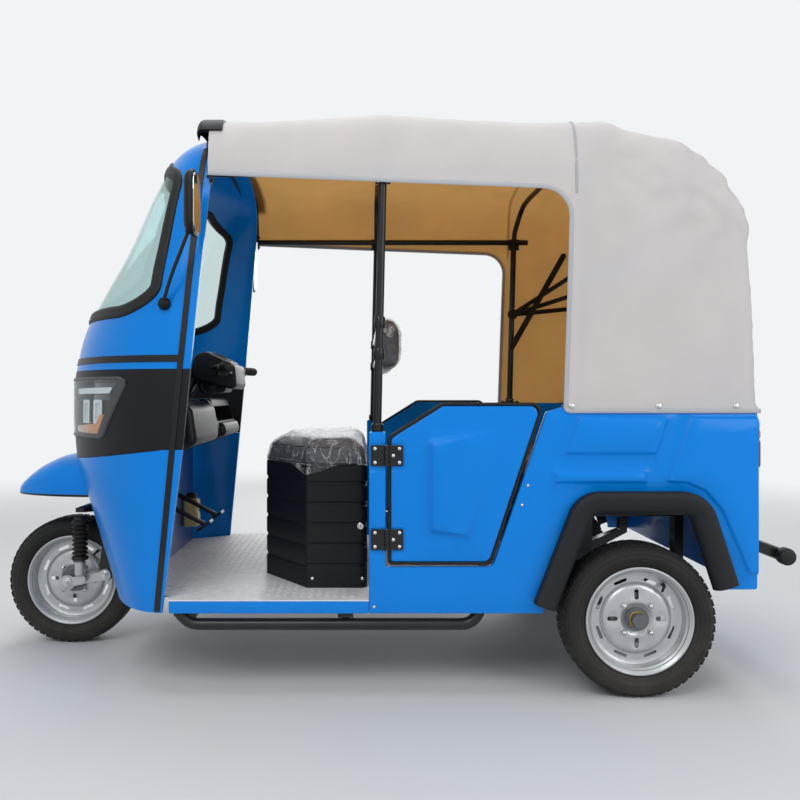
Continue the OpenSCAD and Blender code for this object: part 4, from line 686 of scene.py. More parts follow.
sealPath = screenOutline(0.014)
sealPoints = [cabLift(u, v, 0) for u, v in sealPath]
sealNormals = [Vector(cabLift(u, v, 0)) - Vector(cabLift(u, v, 0.01)) for u, v in sealPath]
sealProfile = [(-0.022, -0.002), (-0.021, 0.004), (-0.014, 0.008), (-0.004, 0.0085), (0.003, 0.006),
    (0.009, 0.0075), (0.018, 0.005), (0.021, 0.0), (0.020, -0.010), (-0.020, -0.014)]
addPiece("windscreenSeal", sweptMesh(sealPoints, sealNormals, sealProfile, True), "body",
    looks["blackRubber"], 50, ["windscreen_seal"])
addPiece("windscreenGlass", liftedShell(screenOutline(screen["seal"]), [], 0.03, cabLift, 0.004, 0.009),
    "body", looks["clearGlass"], 40, ["windscreen"])

lamp = {"topZ": 1.014, "footZ": 0.816, "topBackX": 0.7785, "footBackX": 0.8805, "innerY": 0.150, "r": 0.022,
    "deep": 0.058}


def lampOutline(inset, side):
    corners = [(acrossOf(lamp["innerY"] + inset, 0.9), rowOf(lamp["footZ"] + inset), lamp["r"]),
               (aroundOf(lamp["footBackX"] + inset, lamp["footZ"]), rowOf(lamp["footZ"] + inset), lamp["r"]),
               (aroundOf(lamp["topBackX"] + inset, lamp["topZ"]), rowOf(lamp["topZ"] - inset), lamp["r"]),
               (acrossOf(lamp["innerY"] + inset, 0.9), rowOf(lamp["topZ"] - inset), lamp["r"])]
    flat = resampled(roundedPolygon(corners, 8), 0.015)
    return [(side * u, v) for u, v in (flat if side > 0 else flat[::-1])]


beltOutline = [(u, rowOf(beltLow(u))) for u in np.linspace(-edgeU, edgeU, 70)]
beltOutline += [(u, rowOf(cab["beltTopZ"] - 0.001)) for u in np.linspace(edgeU, -edgeU, 70)]
addPiece("beltPanel", liftedShell(beltOutline, [lampOutline(0, 1), lampOutline(0, -1)], 0.024, cabLift, 0,
        cab["wall"]), "body", looks["blackPlastic"], 40, ["belt_panel"])
lensParts, bowlParts, bezelParts = [], [], []
for side in (1, -1):
    lensParts.append(liftedShell(lampOutline(0.003, side), [], 0.02, cabLift, -0.003, 0.001))
    ring = lampOutline(0.004, side)
    tray = liftedShell(ring, [], 0.02, cabLift, lamp["deep"], lamp["deep"] + 0.003)
    wall = [cabLift(u, v, d) for d in (0.003, lamp["deep"]) for u, v in ring]
    n = len(ring)
    bowlParts.append(joined(tray, (wall, [(k, (k + 1) % n, n + (k + 1) % n, n + k) for k in range(n)])))
    edge = lampOutline(0.001, side)
    edgeNormals = [Vector(cabLift(u, v, 0)) - Vector(cabLift(u, v, 0.01)) for u, v in edge]
    bezelParts.append(sweptMesh([cabLift(u, v, 0) for u, v in edge], edgeNormals,
            [(-0.006, -0.004), (-0.006, 0.003), (-0.002, 0.0055), (0.003, 0.0045), (0.006, 0.001),
                (0.006, -0.004)], True))
addPiece("headlampLenses", joined(*lensParts), "body", looks["clearLens"], 40,
    ["headlamp_lenses"])
addPiece("headlampBowls", joined(*bowlParts), "body", looks["lampDark"], 40,
    ["headlamp_bowls"])
addPiece("headlampBezels", joined(*bezelParts), "body", looks["lampFrame"], 50)

shieldFoot, shieldBay = rowOf(places["sillZ"]), rowOf(cab["bayTopZ"])
bayU = acrossOf(cab["bayHalf"], 0.45)
shieldFlat = roundedPolygon([(-edgeU, shieldFoot, 0), (-bayU, shieldFoot, cab["bayR"] / 2),
        (-bayU, shieldBay, cab["bayR"]), (bayU, shieldBay, cab["bayR"]),
        (bayU, shieldFoot, cab["bayR"] / 2), (edgeU, shieldFoot, 0)], 8)
shieldTop = [(u, rowOf(beltLow(u)) - 0.0012) for u in np.linspace(edgeU, -edgeU, 70)]
shieldOutline = resampled(shieldFlat, 0.02, False)[:-1] + shieldTop
addPiece("legShield", liftedShell(shieldOutline, [], 0.024, cabLift, 0, cab["wall"]), "body",
    looks["bluePaint"], 40, ["leg_shield"])

trim = {"stripZ": (1.064, 1.086), "edge": (0.012, 0.030), "proud": 0.004}
stripU = edgeU - 0.034
strip = resampled([(-stripU, rowOf(trim["stripZ"][0])), (stripU, rowOf(trim["stripZ"][0])),
        (stripU, rowOf(trim["stripZ"][1])), (-stripU, rowOf(trim["stripZ"][1]))], 0.02)
trimParts = [liftedShell(strip, [], 0, cabLift, -trim["proud"] * 0.7, 0.001)]
for side in (1, -1):
    band = []
    for z in np.linspace(places["sillZ"] + 0.004, 1.770, 60):
        band.append((side * aroundOf(cabRow(z)[0] + trim["edge"][0], z), rowOf(z)))
    other = [(side * aroundOf(cabRow(z)[0] + trim["edge"][1], z), rowOf(z))
        for z in np.linspace(places["sillZ"] + 0.004, 1.770, 60)]
    trimParts.append(liftedShell(band + other[::-1], [], 0, cabLift, -trim["proud"], 0.001))
addPiece("cabTrim", joined(*trimParts), "body", looks["blackTrim"], 40, ["cab_trim"])
print("stage: cab")

# front mudguard
guard = {"rootX": 1.0445, "tipX": 1.3315, "footZ": 0.592, "rise": 0.150, "half": 0.235, "t": 0.008,
    "tuck": -0.20}
guardCrown = smoothTable([0, 0.34, 0.62, 0.82, 0.94, 1.0], [1.0, 0.93, 0.72, 0.46, 0.24, 0.10])
guardHalf = smoothTable([0, 0.34, 0.62, 0.82, 0.94, 1.0], [1.0, 0.92, 0.80, 0.66, 0.52, 0.34])


def guardPoint(s, w, drop):
    x = lerp(guard["rootX"], guard["tipX"] - drop, s)
    half, rise = guard["half"] * guardHalf(max(s, 0)) - drop, guard["rise"] * guardCrown(max(s, 0))
    a = w * math.pi / 2
    y = half * math.copysign(abs(math.sin(a)) ** 0.62, w)
    z = guard["footZ"] + (rise - drop) * abs(math.cos(a)) ** 0.62
    return x, y, z - (0.002 if drop else 0)


guardS = [lerp(guard["tuck"], 1, i / 42) for i in range(43)]
guardW = [math.copysign(abs(k / 22) ** 0.9, k) for k in range(-22, 23)]
top = [guardPoint(s, w, 0) for s in guardS for w in guardW]
low = [guardPoint(s, w, guard["t"]) for s in guardS for w in guardW]
n, m = len(guardS), len(guardW)
faces = []
for i in range(n - 1):
    for k in range(m - 1):
        a = i * m + k
        faces += [(a, a + 1, a + m + 1, a + m), (n * m + a + m, n * m + a + m + 1, n * m + a + 1, n * m + a)]
for i in range(n - 1):
    for k in (0, m - 1):
        a = i * m + k
        faces.append((a, a + m, n * m + a + m, n * m + a))
for k in range(m - 1):
    for i in (0, n - 1):
        a = i * m + k
        faces.append((a, a + 1, n * m + a + 1, n * m + a))
addPiece("frontMudguard", (top + low, faces), "body", looks["bluePaint"], 50,
    ["front_mudguard"])
lipLeft = [guardPoint(s, 1, 0.004) for s in guardS[3:]]
lipRight = [guardPoint(s, -1, 0.004) for s in guardS[3:]]
lipFront = [guardPoint(1, w, 0.004) for w in guardW[::-1]]
lip = [(x, y, guard["footZ"] - 0.001) for x, y, z in lipLeft + lipFront[1:-1] + lipRight[::-1]]
addPiece("mudguardLip", tubeMesh(lip, 0.0055, 10), "body", looks["blackTrim"], 60)
print("stage: mudguard")


# canvas hood: one sheet over the bows, down the sides and across the back
hood = {
    "footX": [0.5125, -0.0445, -0.6635, -0.9689, -1.1050, -1.2395],
    "crownX": [0.5125, -0.0445, -0.7575, -1.0415, -1.1522, -1.2175],
    "crownZ": [1.878, 1.904, 1.878, 1.807, 1.700, 1.582], "footZ": 0.907, "half": 0.6150, "t": 0.003,
    "spacing": 0.024,
    "ys": [1, 1, 0.988, 0.972, 0.940, 0.870, 0.70, 0.35, 0],
    "hs": [0, 0.40, 0.74, 0.85, 0.928, 0.970, 0.988, 0.997, 1],
    "doorTopX": -0.6455, "doorFootX": -0.6215, "hemZ": (1.663, 1.617), "doorR": 0.095, "sag": 0.011,
    "crease": 0.0080, "noise": 0.0026,
    "window": (0.31, 0.13, 1.310, 0.05), "seamX": -0.660, "studXs": (-0.641, -0.917, -1.162), "studZ": 0.918,
}
hoodU = np.concatenate([[0], np.cumsum(np.hypot(np.diff(hood["crownX"]), np.diff(hood["crownZ"])))])
shapeSteps = np.hypot(np.diff(hood["ys"]) * hood["half"], np.diff(hood["hs"]) * 0.98)
shapeL = np.concatenate([[0], np.cumsum(shapeSteps)])
hoodL = float(shapeL[-1])
shapeY, shapeH = smoothTable(shapeL, hood["ys"]), smoothTable(shapeL, hood["hs"])
bowSoft = np.linspace(-0.008, 0.008, 7)


def alongHood(u, row):
    spots = np.clip(u + bowSoft * min(1, max(0, min(u, hoodU[-1] - u)) / 0.008), 0, hoodU[-1])
    return float(np.mean(np.interp(spots, hoodU, row)))


def hoodPoint(u, w, inset=0.0):
    q = hoodL - min(abs(w), hoodL)
    ys, hs = shapeY(q), shapeH(q)
    footX, crownX, crownZ = (alongHood(u, hood[k]) for k in ("footX", "crownX", "crownZ"))
    half = hood["half"] - inset
    return Vector((lerp(footX, crownX, hs), math.copysign(half * ys, w),
            hood["footZ"] + (crownZ - inset - hood["footZ"]) * hs))


def hoodAtSide(x, z):
    u, q = 0.7, 0.6  # where a side point lies on the flat pattern
    hList = np.array([shapeH(k) for k in np.linspace(0, hoodL, 200)])
    for k in range(60):
        crownZ = alongHood(u, hood["crownZ"])
        q = float(np.interp((z - hood["footZ"]) / (crownZ - hood["footZ"]), hList,
                np.linspace(0, hoodL, 200)))
        here = lerp(alongHood(u, hood["footX"]), alongHood(u, hood["crownX"]), shapeH(q))
        u = min(max(u + (here - x) * 0.8, 0), hoodU[-1])
    return u, hoodL - q


sidePath = roundedPolygon([(0.5125, hood["hemZ"][0], 0), (hood["doorTopX"], hood["hemZ"][1], hood["doorR"]),
        (hood["doorFootX"], hood["footZ"], 0.015), (hood["footX"][-1], hood["footZ"], 0),
        (-1.2175, 1.582, 0), (0.5125, 1.878, 0)], 12)[:-2]
sideXZ = resampled(sidePath, 0.022, False)
leftEdge = [hoodAtSide(x, z) for x, z in sideXZ]
leftEdge[0], leftEdge[-1] = (0.0, leftEdge[0][1]), (float(hoodU[-1]), hoodL)
rearW = np.linspace(hoodL, -hoodL, 110)
pattern = leftEdge + [(float(hoodU[-1]), w) for w in rearW[1:-1]] + [(u, -w) for u, w in leftEdge[::-1]]
pattern += [(0.0, w) for w in np.linspace(-leftEdge[0][1], leftEdge[0][1], 60)[1:-1]]
flat, roofFaces = filled(pattern, [], hood["spacing"])
roofVerts = [hoodPoint(u, w) for u, w in flat]
hoop = [hoodPoint(float(hoodU[-1]), w) for w in rearW]
wx, wz, wc, wr = hood["window"]
windowHole = resampled(roundedPolygon(
        [(-wx, wc - wz, wr), (wx, wc - wz, wr), (wx, wc + wz, wr), (-wx, wc + wz, wr)], 6), 0.03)
foot = [(y, hood["footZ"]) for y in np.linspace(-hood["half"], hood["half"], 48)]
backFlat, backFaces = filled([(p.y, p.z) for p in hoop] + foot[1:-1], [windowHole], hood["spacing"])


def backX(z):
    return lerp(hood["footX"][-1], hood["crownX"][-1],
        (z - hood["footZ"]) / (hood["crownZ"][-1] - hood["footZ"]))


hoodMesh = bpy.data.meshes.new("canvasSkin")
hoodMesh.from_pydata([tuple(v) for v in roofVerts] + [(backX(z), y, z) for y, z in backFlat], [],
    [tuple(f) for f in roofFaces] + [tuple(int(k) + len(roofVerts) for k in f) for f in backFaces])
bm = bmesh.new()
bm.from_mesh(hoodMesh)
bmesh.ops.remove_doubles(bm, verts=bm.verts[:], dist=2e-4)
bmesh.ops.recalc_face_normals(bm, faces=bm.faces[:])
if sum(f.normal.z for f in bm.faces if f.calc_center_median().z > 1.8) < 0:
    bmesh.ops.reverse_faces(bm, faces=bm.faces[:])
for turn in range(7):  # the fold round the last bow is rounded off
    near = [v for v in bm.verts if not v.is_boundary and v.co.x < -1.175]
    moved = {v: sum((e.other_vert(v).co for e in v.link_edges), Vector()) / len(v.link_edges) for v in near}
    for v, spot in moved.items():
        v.co = v.co.lerp(spot, 0.5 * smoothStep((-1.175 - v.co.x) / 0.04))
bm.normal_update()
shoulders = [hoodPoint(float(hoodU[k]), side * hoodL * 0.47) for k in (2, 3, 4) for side in (1, -1)]
lift = {}
for v in bm.verts:
    if v.is_boundary and v.co.z < 1.2:
        continue
    d = hood["noise"] * noise.noise(v.co * 5.0) + hood["noise"] * 0.5 * noise.noise(v.co * 13.0)
    for x0, x1, deep in ((0.5125, -0.0445, 0.7), (-0.0445, -0.7575, 1.0), (-0.7575, -1.0415, 0.5)):
        s = (x0 - v.co.x) / (x0 - x1)
        if 0 < s < 1 and v.co.z > 1.70:
            d -= hood["sag"] * deep * math.sin(math.pi * s) * smoothStep((v.co.z - 1.70) / 0.14)
    for p in shoulders:
        if p.y * v.co.y > 0 and v.co.x < -0.70:
            r = (v.co - p).length
            if 0.03 < r < 0.6:
                fan = math.atan2(v.co.z - p.z, v.co.x - p.x + 1e-4)
                wave = math.exp(-r / 0.20) * math.sin(fan * 8.0 + p.x * 9.0)
                d += hood["crease"] * wave * smoothStep((r - 0.03) / 0.08)
    if abs(v.co.y) > 0.5 and v.co.z < 1.6:
        fade = smoothStep((1.6 - v.co.z) / 0.2) * smoothStep((v.co.z - 0.93) / 0.2)
        d -= 0.004 * math.sin((v.co.x + 0.66) * 9.5) ** 2 * fade
    lift[v] = v.normal * min(d, 0.003)
for v, step in lift.items():
    v.co += step
bm.normal_update()
hoodArea = sum(f.calc_area() for f in bm.faces)
bm.to_mesh(hoodMesh)
bm.free()
outPts, outNormals = [tuple(v.co) for v in hoodMesh.vertices], [Vector(v.normal) for v in hoodMesh.vertices]
outFaces = [tuple(p.vertices) for p in hoodMesh.polygons]
inPts = [tuple(Vector(p) - n * hood["t"]) for p, n in zip(outPts, outNormals)]
count = len(outPts)
rim = [(b, a, count + a, count + b) for a, b in boundaryEdges(outFaces)]
canopy = addPiece("canopy", (outPts + inPts,
        outFaces + [tuple(count + k for k in f[::-1]) for f in outFaces] + rim), "body",
    [looks["canvasOut"], looks["canvasIn"]], 55, ["canvas_hood"])
for p in canopy.data.polygons:
    p.material_index = 1 if all(k >= count for k in p.vertices) else 0
bpy.data.meshes.remove(hoodMesh)


def onHood(u, w, out):
    e = 0.004
    a = hoodPoint(min(u + e, hoodU[-1]), w) - hoodPoint(max(u - e, 0), w)
    b = hoodPoint(u, w + e) - hoodPoint(u, w - e)
    n = b.cross(a).normalized()
    p = hoodPoint(u, w)
    n = n if n.dot(Vector((0, p.y, p.z - 1.2))) > 0 else -n
    return canopy.closest_point_on_mesh(p)[1] + n * out, n


gridU, seamRun = np.linspace(0, hoodU[-1], 90), []
seamEnd = hoodAtSide(hood["seamX"], 1.600)[1]
for w in np.linspace(-seamEnd, seamEnd, 120):  # the cross seam stands straight over the door's rear edge
    hs = shapeH(hoodL - abs(w))
    spots = [-lerp(alongHood(u, hood["footX"]), alongHood(u, hood["crownX"]), hs) for u in gridU]
    seamRun.append(onHood(float(np.interp(-hood["seamX"], spots, gridU)), float(w), 0.0022))
seams = [sweptMesh([p for p, n in seamRun], [n for p, n in seamRun],
        [(-0.0034, -0.0012), (-0.0030, 0.0006), (-0.0006, 0.0009), (0.0, -0.0002), (0.0006, 0.0009),
            (0.0030, 0.0006), (0.0034, -0.0012)])]
hoodSeams = addPiece("hoodSeams", joined(*seams), "body", looks["canvasSeam"], 60)
hems = []
for side in (1, -1):
    run = [onHood(float(u), side * float(w), 0.0) for u, w in leftEdge]
    hems.append(sweptMesh([p for p, n in run], [n for p, n in run],
            [(-0.008, 0.0005), (-0.007, 0.0022), (0.004, 0.0022), (0.0065, 0.0), (0.004, -0.0055),
                (-0.007, -0.0050)]))
hoodHems = addPiece("hoodHems", joined(*hems), "body", looks["canvasSeam"], 60)
ring = [(y, z) for y, z in windowHole]
border = sweptMesh([(backX(z) - 0.001, y, z) for y, z in ring], [(-1, 0, 0)] * len(ring),
    [(-0.014, 0), (-0.013, 0.0025), (0.010, 0.0025), (0.012, 0)], True)
windowBorder = addPiece("windowBorder", border, "body", looks["canvasSeam"], 60)
print("stage: canopy", round(hoodArea, 3), len(outFaces))


# pressed panels: tub sides, rear, doors
def reliefPanel(outline, holes, spacing, presses, thick, edgeR):
    guides = [insetPolygon(outline, edgeR * 0.35), insetPolygon(outline, edgeR)]
    for h in holes:
        guides += [insetPolygon(h, -edgeR * 0.35), insetPolygon(h, -edgeR)]
    for poly, rise, slope, *fade in presses:
        guides += [poly, insetPolygon(poly, slope * 0.35), insetPolygon(poly, slope * 0.7),
            insetPolygon(poly, slope)]
    flat, faces = filled(outline, holes, spacing, guides)
    d = np.min([edgeDistance(flat, loop) for loop in [outline] + list(holes)], axis=0)
    near = np.clip(edgeR - d, 0, edgeR)
    height = np.sqrt(np.maximum(edgeR ** 2 - near ** 2, 0)) - edgeR
    for poly, rise, slope, *fade in presses:
        s = np.clip(edgeDistance(flat, poly) / slope, 0, 1) * insideMask(flat, poly)
        for full, level in fade:  # runs out level with the panel
            s = s * np.clip((np.asarray(flat)[:, 0] - level) / (full - level), 0, 1)
        height += rise * s * s * (3 - 2 * s)
    n = len(flat)
    verts = [(x, h, z) for (x, z), h in zip(flat, height)] + [(x, -thick, z) for x, z in flat]
    allFaces = [tuple(f) for f in faces] + [tuple(n + k for k in f[::-1]) for f in faces]
    return verts, allFaces + [(b, a, n + a, n + b) for a, b in boundaryEdges(faces)]


def atSide(part, y):
    return [(x, y + h, z) for x, h, z in part[0]], part[1]


tub = {
    "archFoot": (-0.5555, 0.288), "archFront": (-0.6835, 0.616), "archBack": (-1.0395, 0.616),
    "archTail": (-1.1255, 0.352), "archR": 0.07,
    "panelT": 0.022, "gap": 0.006, "edgeR": 0.005, "spacing": 0.045, "postTopZ": 0.841, "tailFootZ": 0.340,
    "presses": [([(-0.916, 0.765), (-0.614, 0.765), (-0.662, 0.897), (-0.957, 0.892)], 0.011, 0.014, 0.015),
                ([(-0.885, 0.674), (-0.583, 0.674), (-0.583, 0.720), (-0.885, 0.720)], 0.011, 0.010, 0.015),
                ([(-0.934, 0.679), (-1.008, 0.674), (-1.062, 0.650), (-1.113, 0.590), (-1.165, 0.470),
                        (-1.200, 0.385), (-1.262, 0.385), (-1.262, 0.892), (-1.016, 0.892)], 0.010, 0.012,
                    0.013),
                ([(0.020, 0.709), (0.020, 0.812), (-0.120, 0.812), (-0.120, 0.709)], -0.0025, 0.014, 0.010),
                ([(0.020, 0.443), (0.020, 0.540), (-0.120, 0.540), (-0.120, 0.443)], -0.0025, 0.014,
                    0.010)],
}
door = {"frontX": -0.0595, "slantX": -0.2315, "cornerZ": 0.826, "topZ": 0.934, "backTopX": -0.5575,
    "backFootX": -0.3895, "footZ": 0.419, "r": 0.026, "edge": 0.010,
    "press": [(-0.184, 0.520), (-0.184, 0.815), (-0.457, 0.876), (-0.327, 0.489)], "rise": 0.019,
    "slope": 0.022, "fade": (-0.21, -0.44)}


def rounds(points, r):
    return resampled(roundedPolygon([(x, z, r) for x, z in points], 6), 0.03)


side = roundedPolygon([
    (places["postX"], places["sillZ"], 0.004), (places["postX"], tub["postTopZ"], 0.006),
    (places["doorFrontX"], tub["postTopZ"], 0.006),
    (places["doorFrontX"], door["footZ"] - tub["gap"], 0.004),
    (door["backFootX"] - tub["gap"] / 2, door["footZ"] - tub["gap"], door["r"]),
    (door["backTopX"] - tub["gap"], door["topZ"] - 0.030, 0.01),
    (door["backTopX"] - 0.060, places["tubTopZ"], 0.030),
    (places["tailX"], places["tubTopZ"], 0.012), (places["tailX"], tub["tailFootZ"], 0.01),
    (tub["archTail"][0], tub["tailFootZ"], 0), (*tub["archTail"], 0),
    (*tub["archBack"], tub["archR"]), (*tub["archFront"], tub["archR"]), (*tub["archFoot"], 0),
    (tub["archFoot"][0], places["sillZ"], 0.004)], 8)
side = resampled(side, 0.03)
tubPresses = [(rounds(p, r), rise, slope) for p, rise, r, slope in tub["presses"]]
leftSide = atSide(reliefPanel(side, [], tub["spacing"], tubPresses, tub["panelT"], tub["edgeR"]),
    places["sideY"])
addPiece("tubSideLeft", leftSide, "body", looks["bluePaint"], 35, ["side_panel_left"])
addPiece("tubSideRight", mirrored(leftSide), "body", looks["bluePaint"], 35,
    ["side_panel_right"])


def doorOutline(inset):
    return [(door["frontX"] - inset, door["footZ"] + inset, 0.008),
        (door["frontX"] - inset, door["cornerZ"] - inset / 2, door["r"]),
        (door["slantX"] - inset / 3, door["topZ"] - inset, door["r"]),
        (door["backTopX"] + inset * 1.1, door["topZ"] - inset, door["r"]),
        (door["backFootX"] + inset * 0.8, door["footZ"] + inset, door["r"])]


doorFace = resampled(roundedPolygon(doorOutline(door["edge"]), 8), 0.03)
doorPresses = [(rounds(door["press"], 0.020), door["rise"], door["slope"], door["fade"])] + [
    (rounds([(x + (0.02 if x > 0 else 0), z) for x, z in p], r), rise, slope)
    for p, rise, r, slope in tub["presses"][-2:]]
leftDoor = atSide(reliefPanel(doorFace, [], 0.04, doorPresses, tub["panelT"], 0.005), places["sideY"])
rubberPath = resampled(roundedPolygon(doorOutline(door["edge"] / 2), 8), 0.02)
rubberProfile = [(-0.005, -0.022), (-0.0052, -0.002), (-0.003, 0.0022), (0.002, 0.003), (0.0048, 0.0),
    (0.0048, -0.022)]
rubber = sweptMesh([(x, places["sideY"], z) for x, z in rubberPath], [(0, 1, 0)] * len(rubberPath),
    rubberProfile, True)
for name, part, edge in (("Left", leftDoor, rubber), ("Right", mirrored(leftDoor), mirrored(rubber))):
    low = name.lower()
    addPiece("doorSkin" + name, part, "door_" + low, looks["bluePaint"], 35, ["door_" + low])
    addPiece("doorRubber" + name, edge, "door_" + low, looks["blackRubber"], 50,
        ["door_edge_" + low])

rearOutline = resampled([(-0.5877, tub["tailFootZ"]), (0.5877, tub["tailFootZ"]),
        (0.5877, places["tubTopZ"]), (-0.5877, places["tubTopZ"])], 0.04)
rearPresses = [(rounds([(-0.36, 0.62), (0.36, 0.62), (0.36, 0.86), (-0.36, 0.86)], 0.03), -0.006, 0.014),
    (rounds([(-0.46, 0.50), (0.46, 0.50), (0.46, 0.56), (-0.46, 0.56)], 0.02), 0.006, 0.012)]
rearFlat = reliefPanel(rearOutline, [], 0.06, rearPresses, tub["panelT"], 0.004)
addPiece("rearPanel", ([(places["tailX"] - h, y, z) for y, h, z in rearFlat[0]], rearFlat[1]), "body",
    looks["bluePaint"], 35, ["rear_panel"])
print("stage: panels")

# wheel arch flares swept along the arch
archLine = roundedPolygon([(tub["archTail"][0] - 0.003, tub["archTail"][1], 0), (*tub["archTail"], 0),
        (*tub["archBack"], tub["archR"]), (*tub["archFront"], tub["archR"]), (*tub["archFoot"], 0),
        (tub["archFoot"][0] + 0.001, tub["archFoot"][1], 0)], 14)[1:-1]
archLine = resampled(archLine, 0.02, False)
flareProfile = [(-0.037, 0.0004), (-0.0365, 0.010), (-0.032, 0.022), (-0.022, 0.033), (-0.006, 0.039),
    (0.016, 0.0395), (0.030, 0.038), (0.0355, 0.034), (0.037, 0.028), (0.037, -0.020), (0.033, -0.020),
    (0.033, 0.026), (0.026, 0.033), (0.0, 0.034), (-0.018, 0.028), (-0.026, 0.018), (-0.030, 0.0004)]
leftFlare = sweptMesh([(x, places["sideY"], z) for x, z in archLine], [(0, 1, 0)] * len(archLine),
    flareProfile)
addPiece("archFlares", bothSides(leftFlare), "body", looks["charcoalPlastic"], 45,
    ["wheel_arch_flares"])
print("stage: flares")

wheelSpots = {"rear_wheel_left": ((places["rearAxleX"], places["wheelY"], places["wheelR"]), 1),
    "rear_wheel_right": ((places["rearAxleX"], -places["wheelY"], places["wheelR"]), -1),
    "front_wheel": ((places["frontAxleX"], 0.0, places["wheelR"]), 1)}


# instances on points, used for bolts, studs, tread and ribs
def makeRepeat():
    group = bpy.data.node_groups.new("repeatOnPoints", "GeometryNodeTree")
    for label, kind in (("Geometry", "NodeSocketGeometry"), ("Piece", "NodeSocketObject"),
            ("Material", "NodeSocketMaterial"), ("Jitter", "NodeSocketFloat")):
        group.interface.new_socket(name=label, in_out="INPUT", socket_type=kind)
    group.interface.new_socket(name="Geometry", in_out="OUTPUT", socket_type="NodeSocketGeometry")
    n, l = group.nodes.new, group.links.new
    given, out = n("NodeGroupInput"), n("NodeGroupOutput")
    info, place = n("GeometryNodeObjectInfo"), n("GeometryNodeInstanceOnPoints")
    real, paint = n("GeometryNodeRealizeInstances"), n("GeometryNodeSetMaterial")
    facing, turnX = n("GeometryNodeInputNamedAttribute"), n("FunctionNodeAxesToRotation")
    turnY, turnZ = n("GeometryNodeInputNamedAttribute"), n("GeometryNodeInputNamedAttribute")
    for node, label in ((facing, "facing"), (turnY, "along")):
        node.data_type = "FLOAT_VECTOR"
        node.inputs["Name"].default_value = label
    turnZ.data_type = "FLOAT"
    turnZ.inputs["Name"].default_value = "size"
    chance, grow = n("FunctionNodeRandomValue"), n("ShaderNodeMath")
    chance.data_type = "FLOAT"
    chance.inputs["Seed"].default_value = 7
    low = n("ShaderNodeMath")
    low.operation = "SUBTRACT"
    low.inputs[0].default_value = 1.0
    l(given.outputs["Jitter"], low.inputs[1])
    l(low.outputs[0], chance.inputs[2])
    chance.inputs[3].default_value = 1.0
    grow.operation = "MULTIPLY"
    l(turnZ.outputs["Attribute"], grow.inputs[0])
    l(chance.outputs[1], grow.inputs[1])
    l(facing.outputs["Attribute"], turnX.inputs["Primary Axis"])
    l(turnY.outputs["Attribute"], turnX.inputs["Secondary Axis"])
    turnX.primary_axis, turnX.secondary_axis = "Z", "X"
    l(given.outputs["Piece"], info.inputs["Object"])
    l(given.outputs["Geometry"], place.inputs["Points"])
    l(info.outputs["Geometry"], place.inputs["Instance"])
    l(turnX.outputs["Rotation"], place.inputs["Rotation"])
    l(grow.outputs[0], place.inputs["Scale"])
    l(place.outputs["Instances"], real.inputs["Geometry"])
    l(real.outputs["Geometry"], paint.inputs["Geometry"])
    l(given.outputs["Material"], paint.inputs["Material"])
    l(paint.outputs["Geometry"], out.inputs["Geometry"])
    return group


repeatGroup = makeRepeat()


def repeated(name, piece, spots, body, material, jitter=0.0, sharp=35):
    seed = bpy.data.meshes.new(name + "Spots")  # spots are (place, facing, along, size)
    seed.from_pydata([tuple(s[0]) for s in spots], [], [])
    for label, kind, column in (("facing", "FLOAT_VECTOR", 1), ("along", "FLOAT_VECTOR", 2),
            ("size", "FLOAT", 3)):
        data = seed.attributes.new(label, kind, "POINT").data
        for i, s in enumerate(spots):
            if kind == "FLOAT":
                data[i].value = s[column]
            else:
                data[i].vector = Vector(s[column]).normalized()
    source = bpy.data.meshes.new(name + "Piece")
    source.from_pydata([tuple(map(float, v)) for v in piece[0]], [], [tuple(f) for f in piece[1]])
    source.shade_smooth()
    source.set_sharp_from_angle(angle=math.radians(sharp))
    sourceObj = bpy.data.objects.new(name + "Piece", source)
    holder = bpy.data.objects.new(name + "Points", seed)
    for o in (sourceObj, holder):
        bpy.context.scene.collection.objects.link(o)
    mod = holder.modifiers.new("repeat", "NODES")
    mod.node_group = repeatGroup
    ids = {i.name: i.identifier for i in repeatGroup.interface.items_tree if i.item_type == "SOCKET"
        and i.in_out == "INPUT"}
    mod[ids["Piece"]], mod[ids["Material"]], mod[ids["Jitter"]] = sourceObj, material, jitter
    bpy.context.view_layer.update()
    baked = bpy.data.meshes.new_from_object(holder.evaluated_get(bpy.context.evaluated_depsgraph_get()))
    baked.name = name
    obj = bpy.data.objects.new(name, baked)
    bpy.context.scene.collection.objects.link(obj)
    for o in (sourceObj, holder):
        bpy.data.objects.remove(o)
    for m in (source, seed):
        bpy.data.meshes.remove(m)
    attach(obj, body)
    return obj


def hexBolt(radius, height, washer=1.35):
    rings = []
    for r, z in ((radius * washer, 0), (radius * washer, height * 0.18),
            (radius * washer * 0.94, height * 0.25)):
        rings.append([(r * math.cos(k * math.pi / 12), r * math.sin(k * math.pi / 12), z) for k in range(24)])
    for r, z in ((radius, height * 0.25), (radius, height * 0.86), (radius * 0.86, height)):
        ring = []
        for k in range(24):
            a = k * math.pi / 12
            edge = r * math.cos(math.pi / 6) / math.cos((a % (math.pi / 3)) - math.pi / 6)
            ring.append((edge * math.cos(a), edge * math.sin(a), z))
        rings.append(ring)
    return stackMesh(rings)


def domeStud(radius, height):
    return stackMesh([[(r * radius * math.cos(k * math.pi / 10), r * radius * math.sin(k * math.pi / 10),
                    z * height) for k in range(20)]
            for r, z in ((1, 0), (1, 0.15), (0.92, 0.5), (0.72, 0.8), (0.38, 0.96), (0.05, 1.0))])


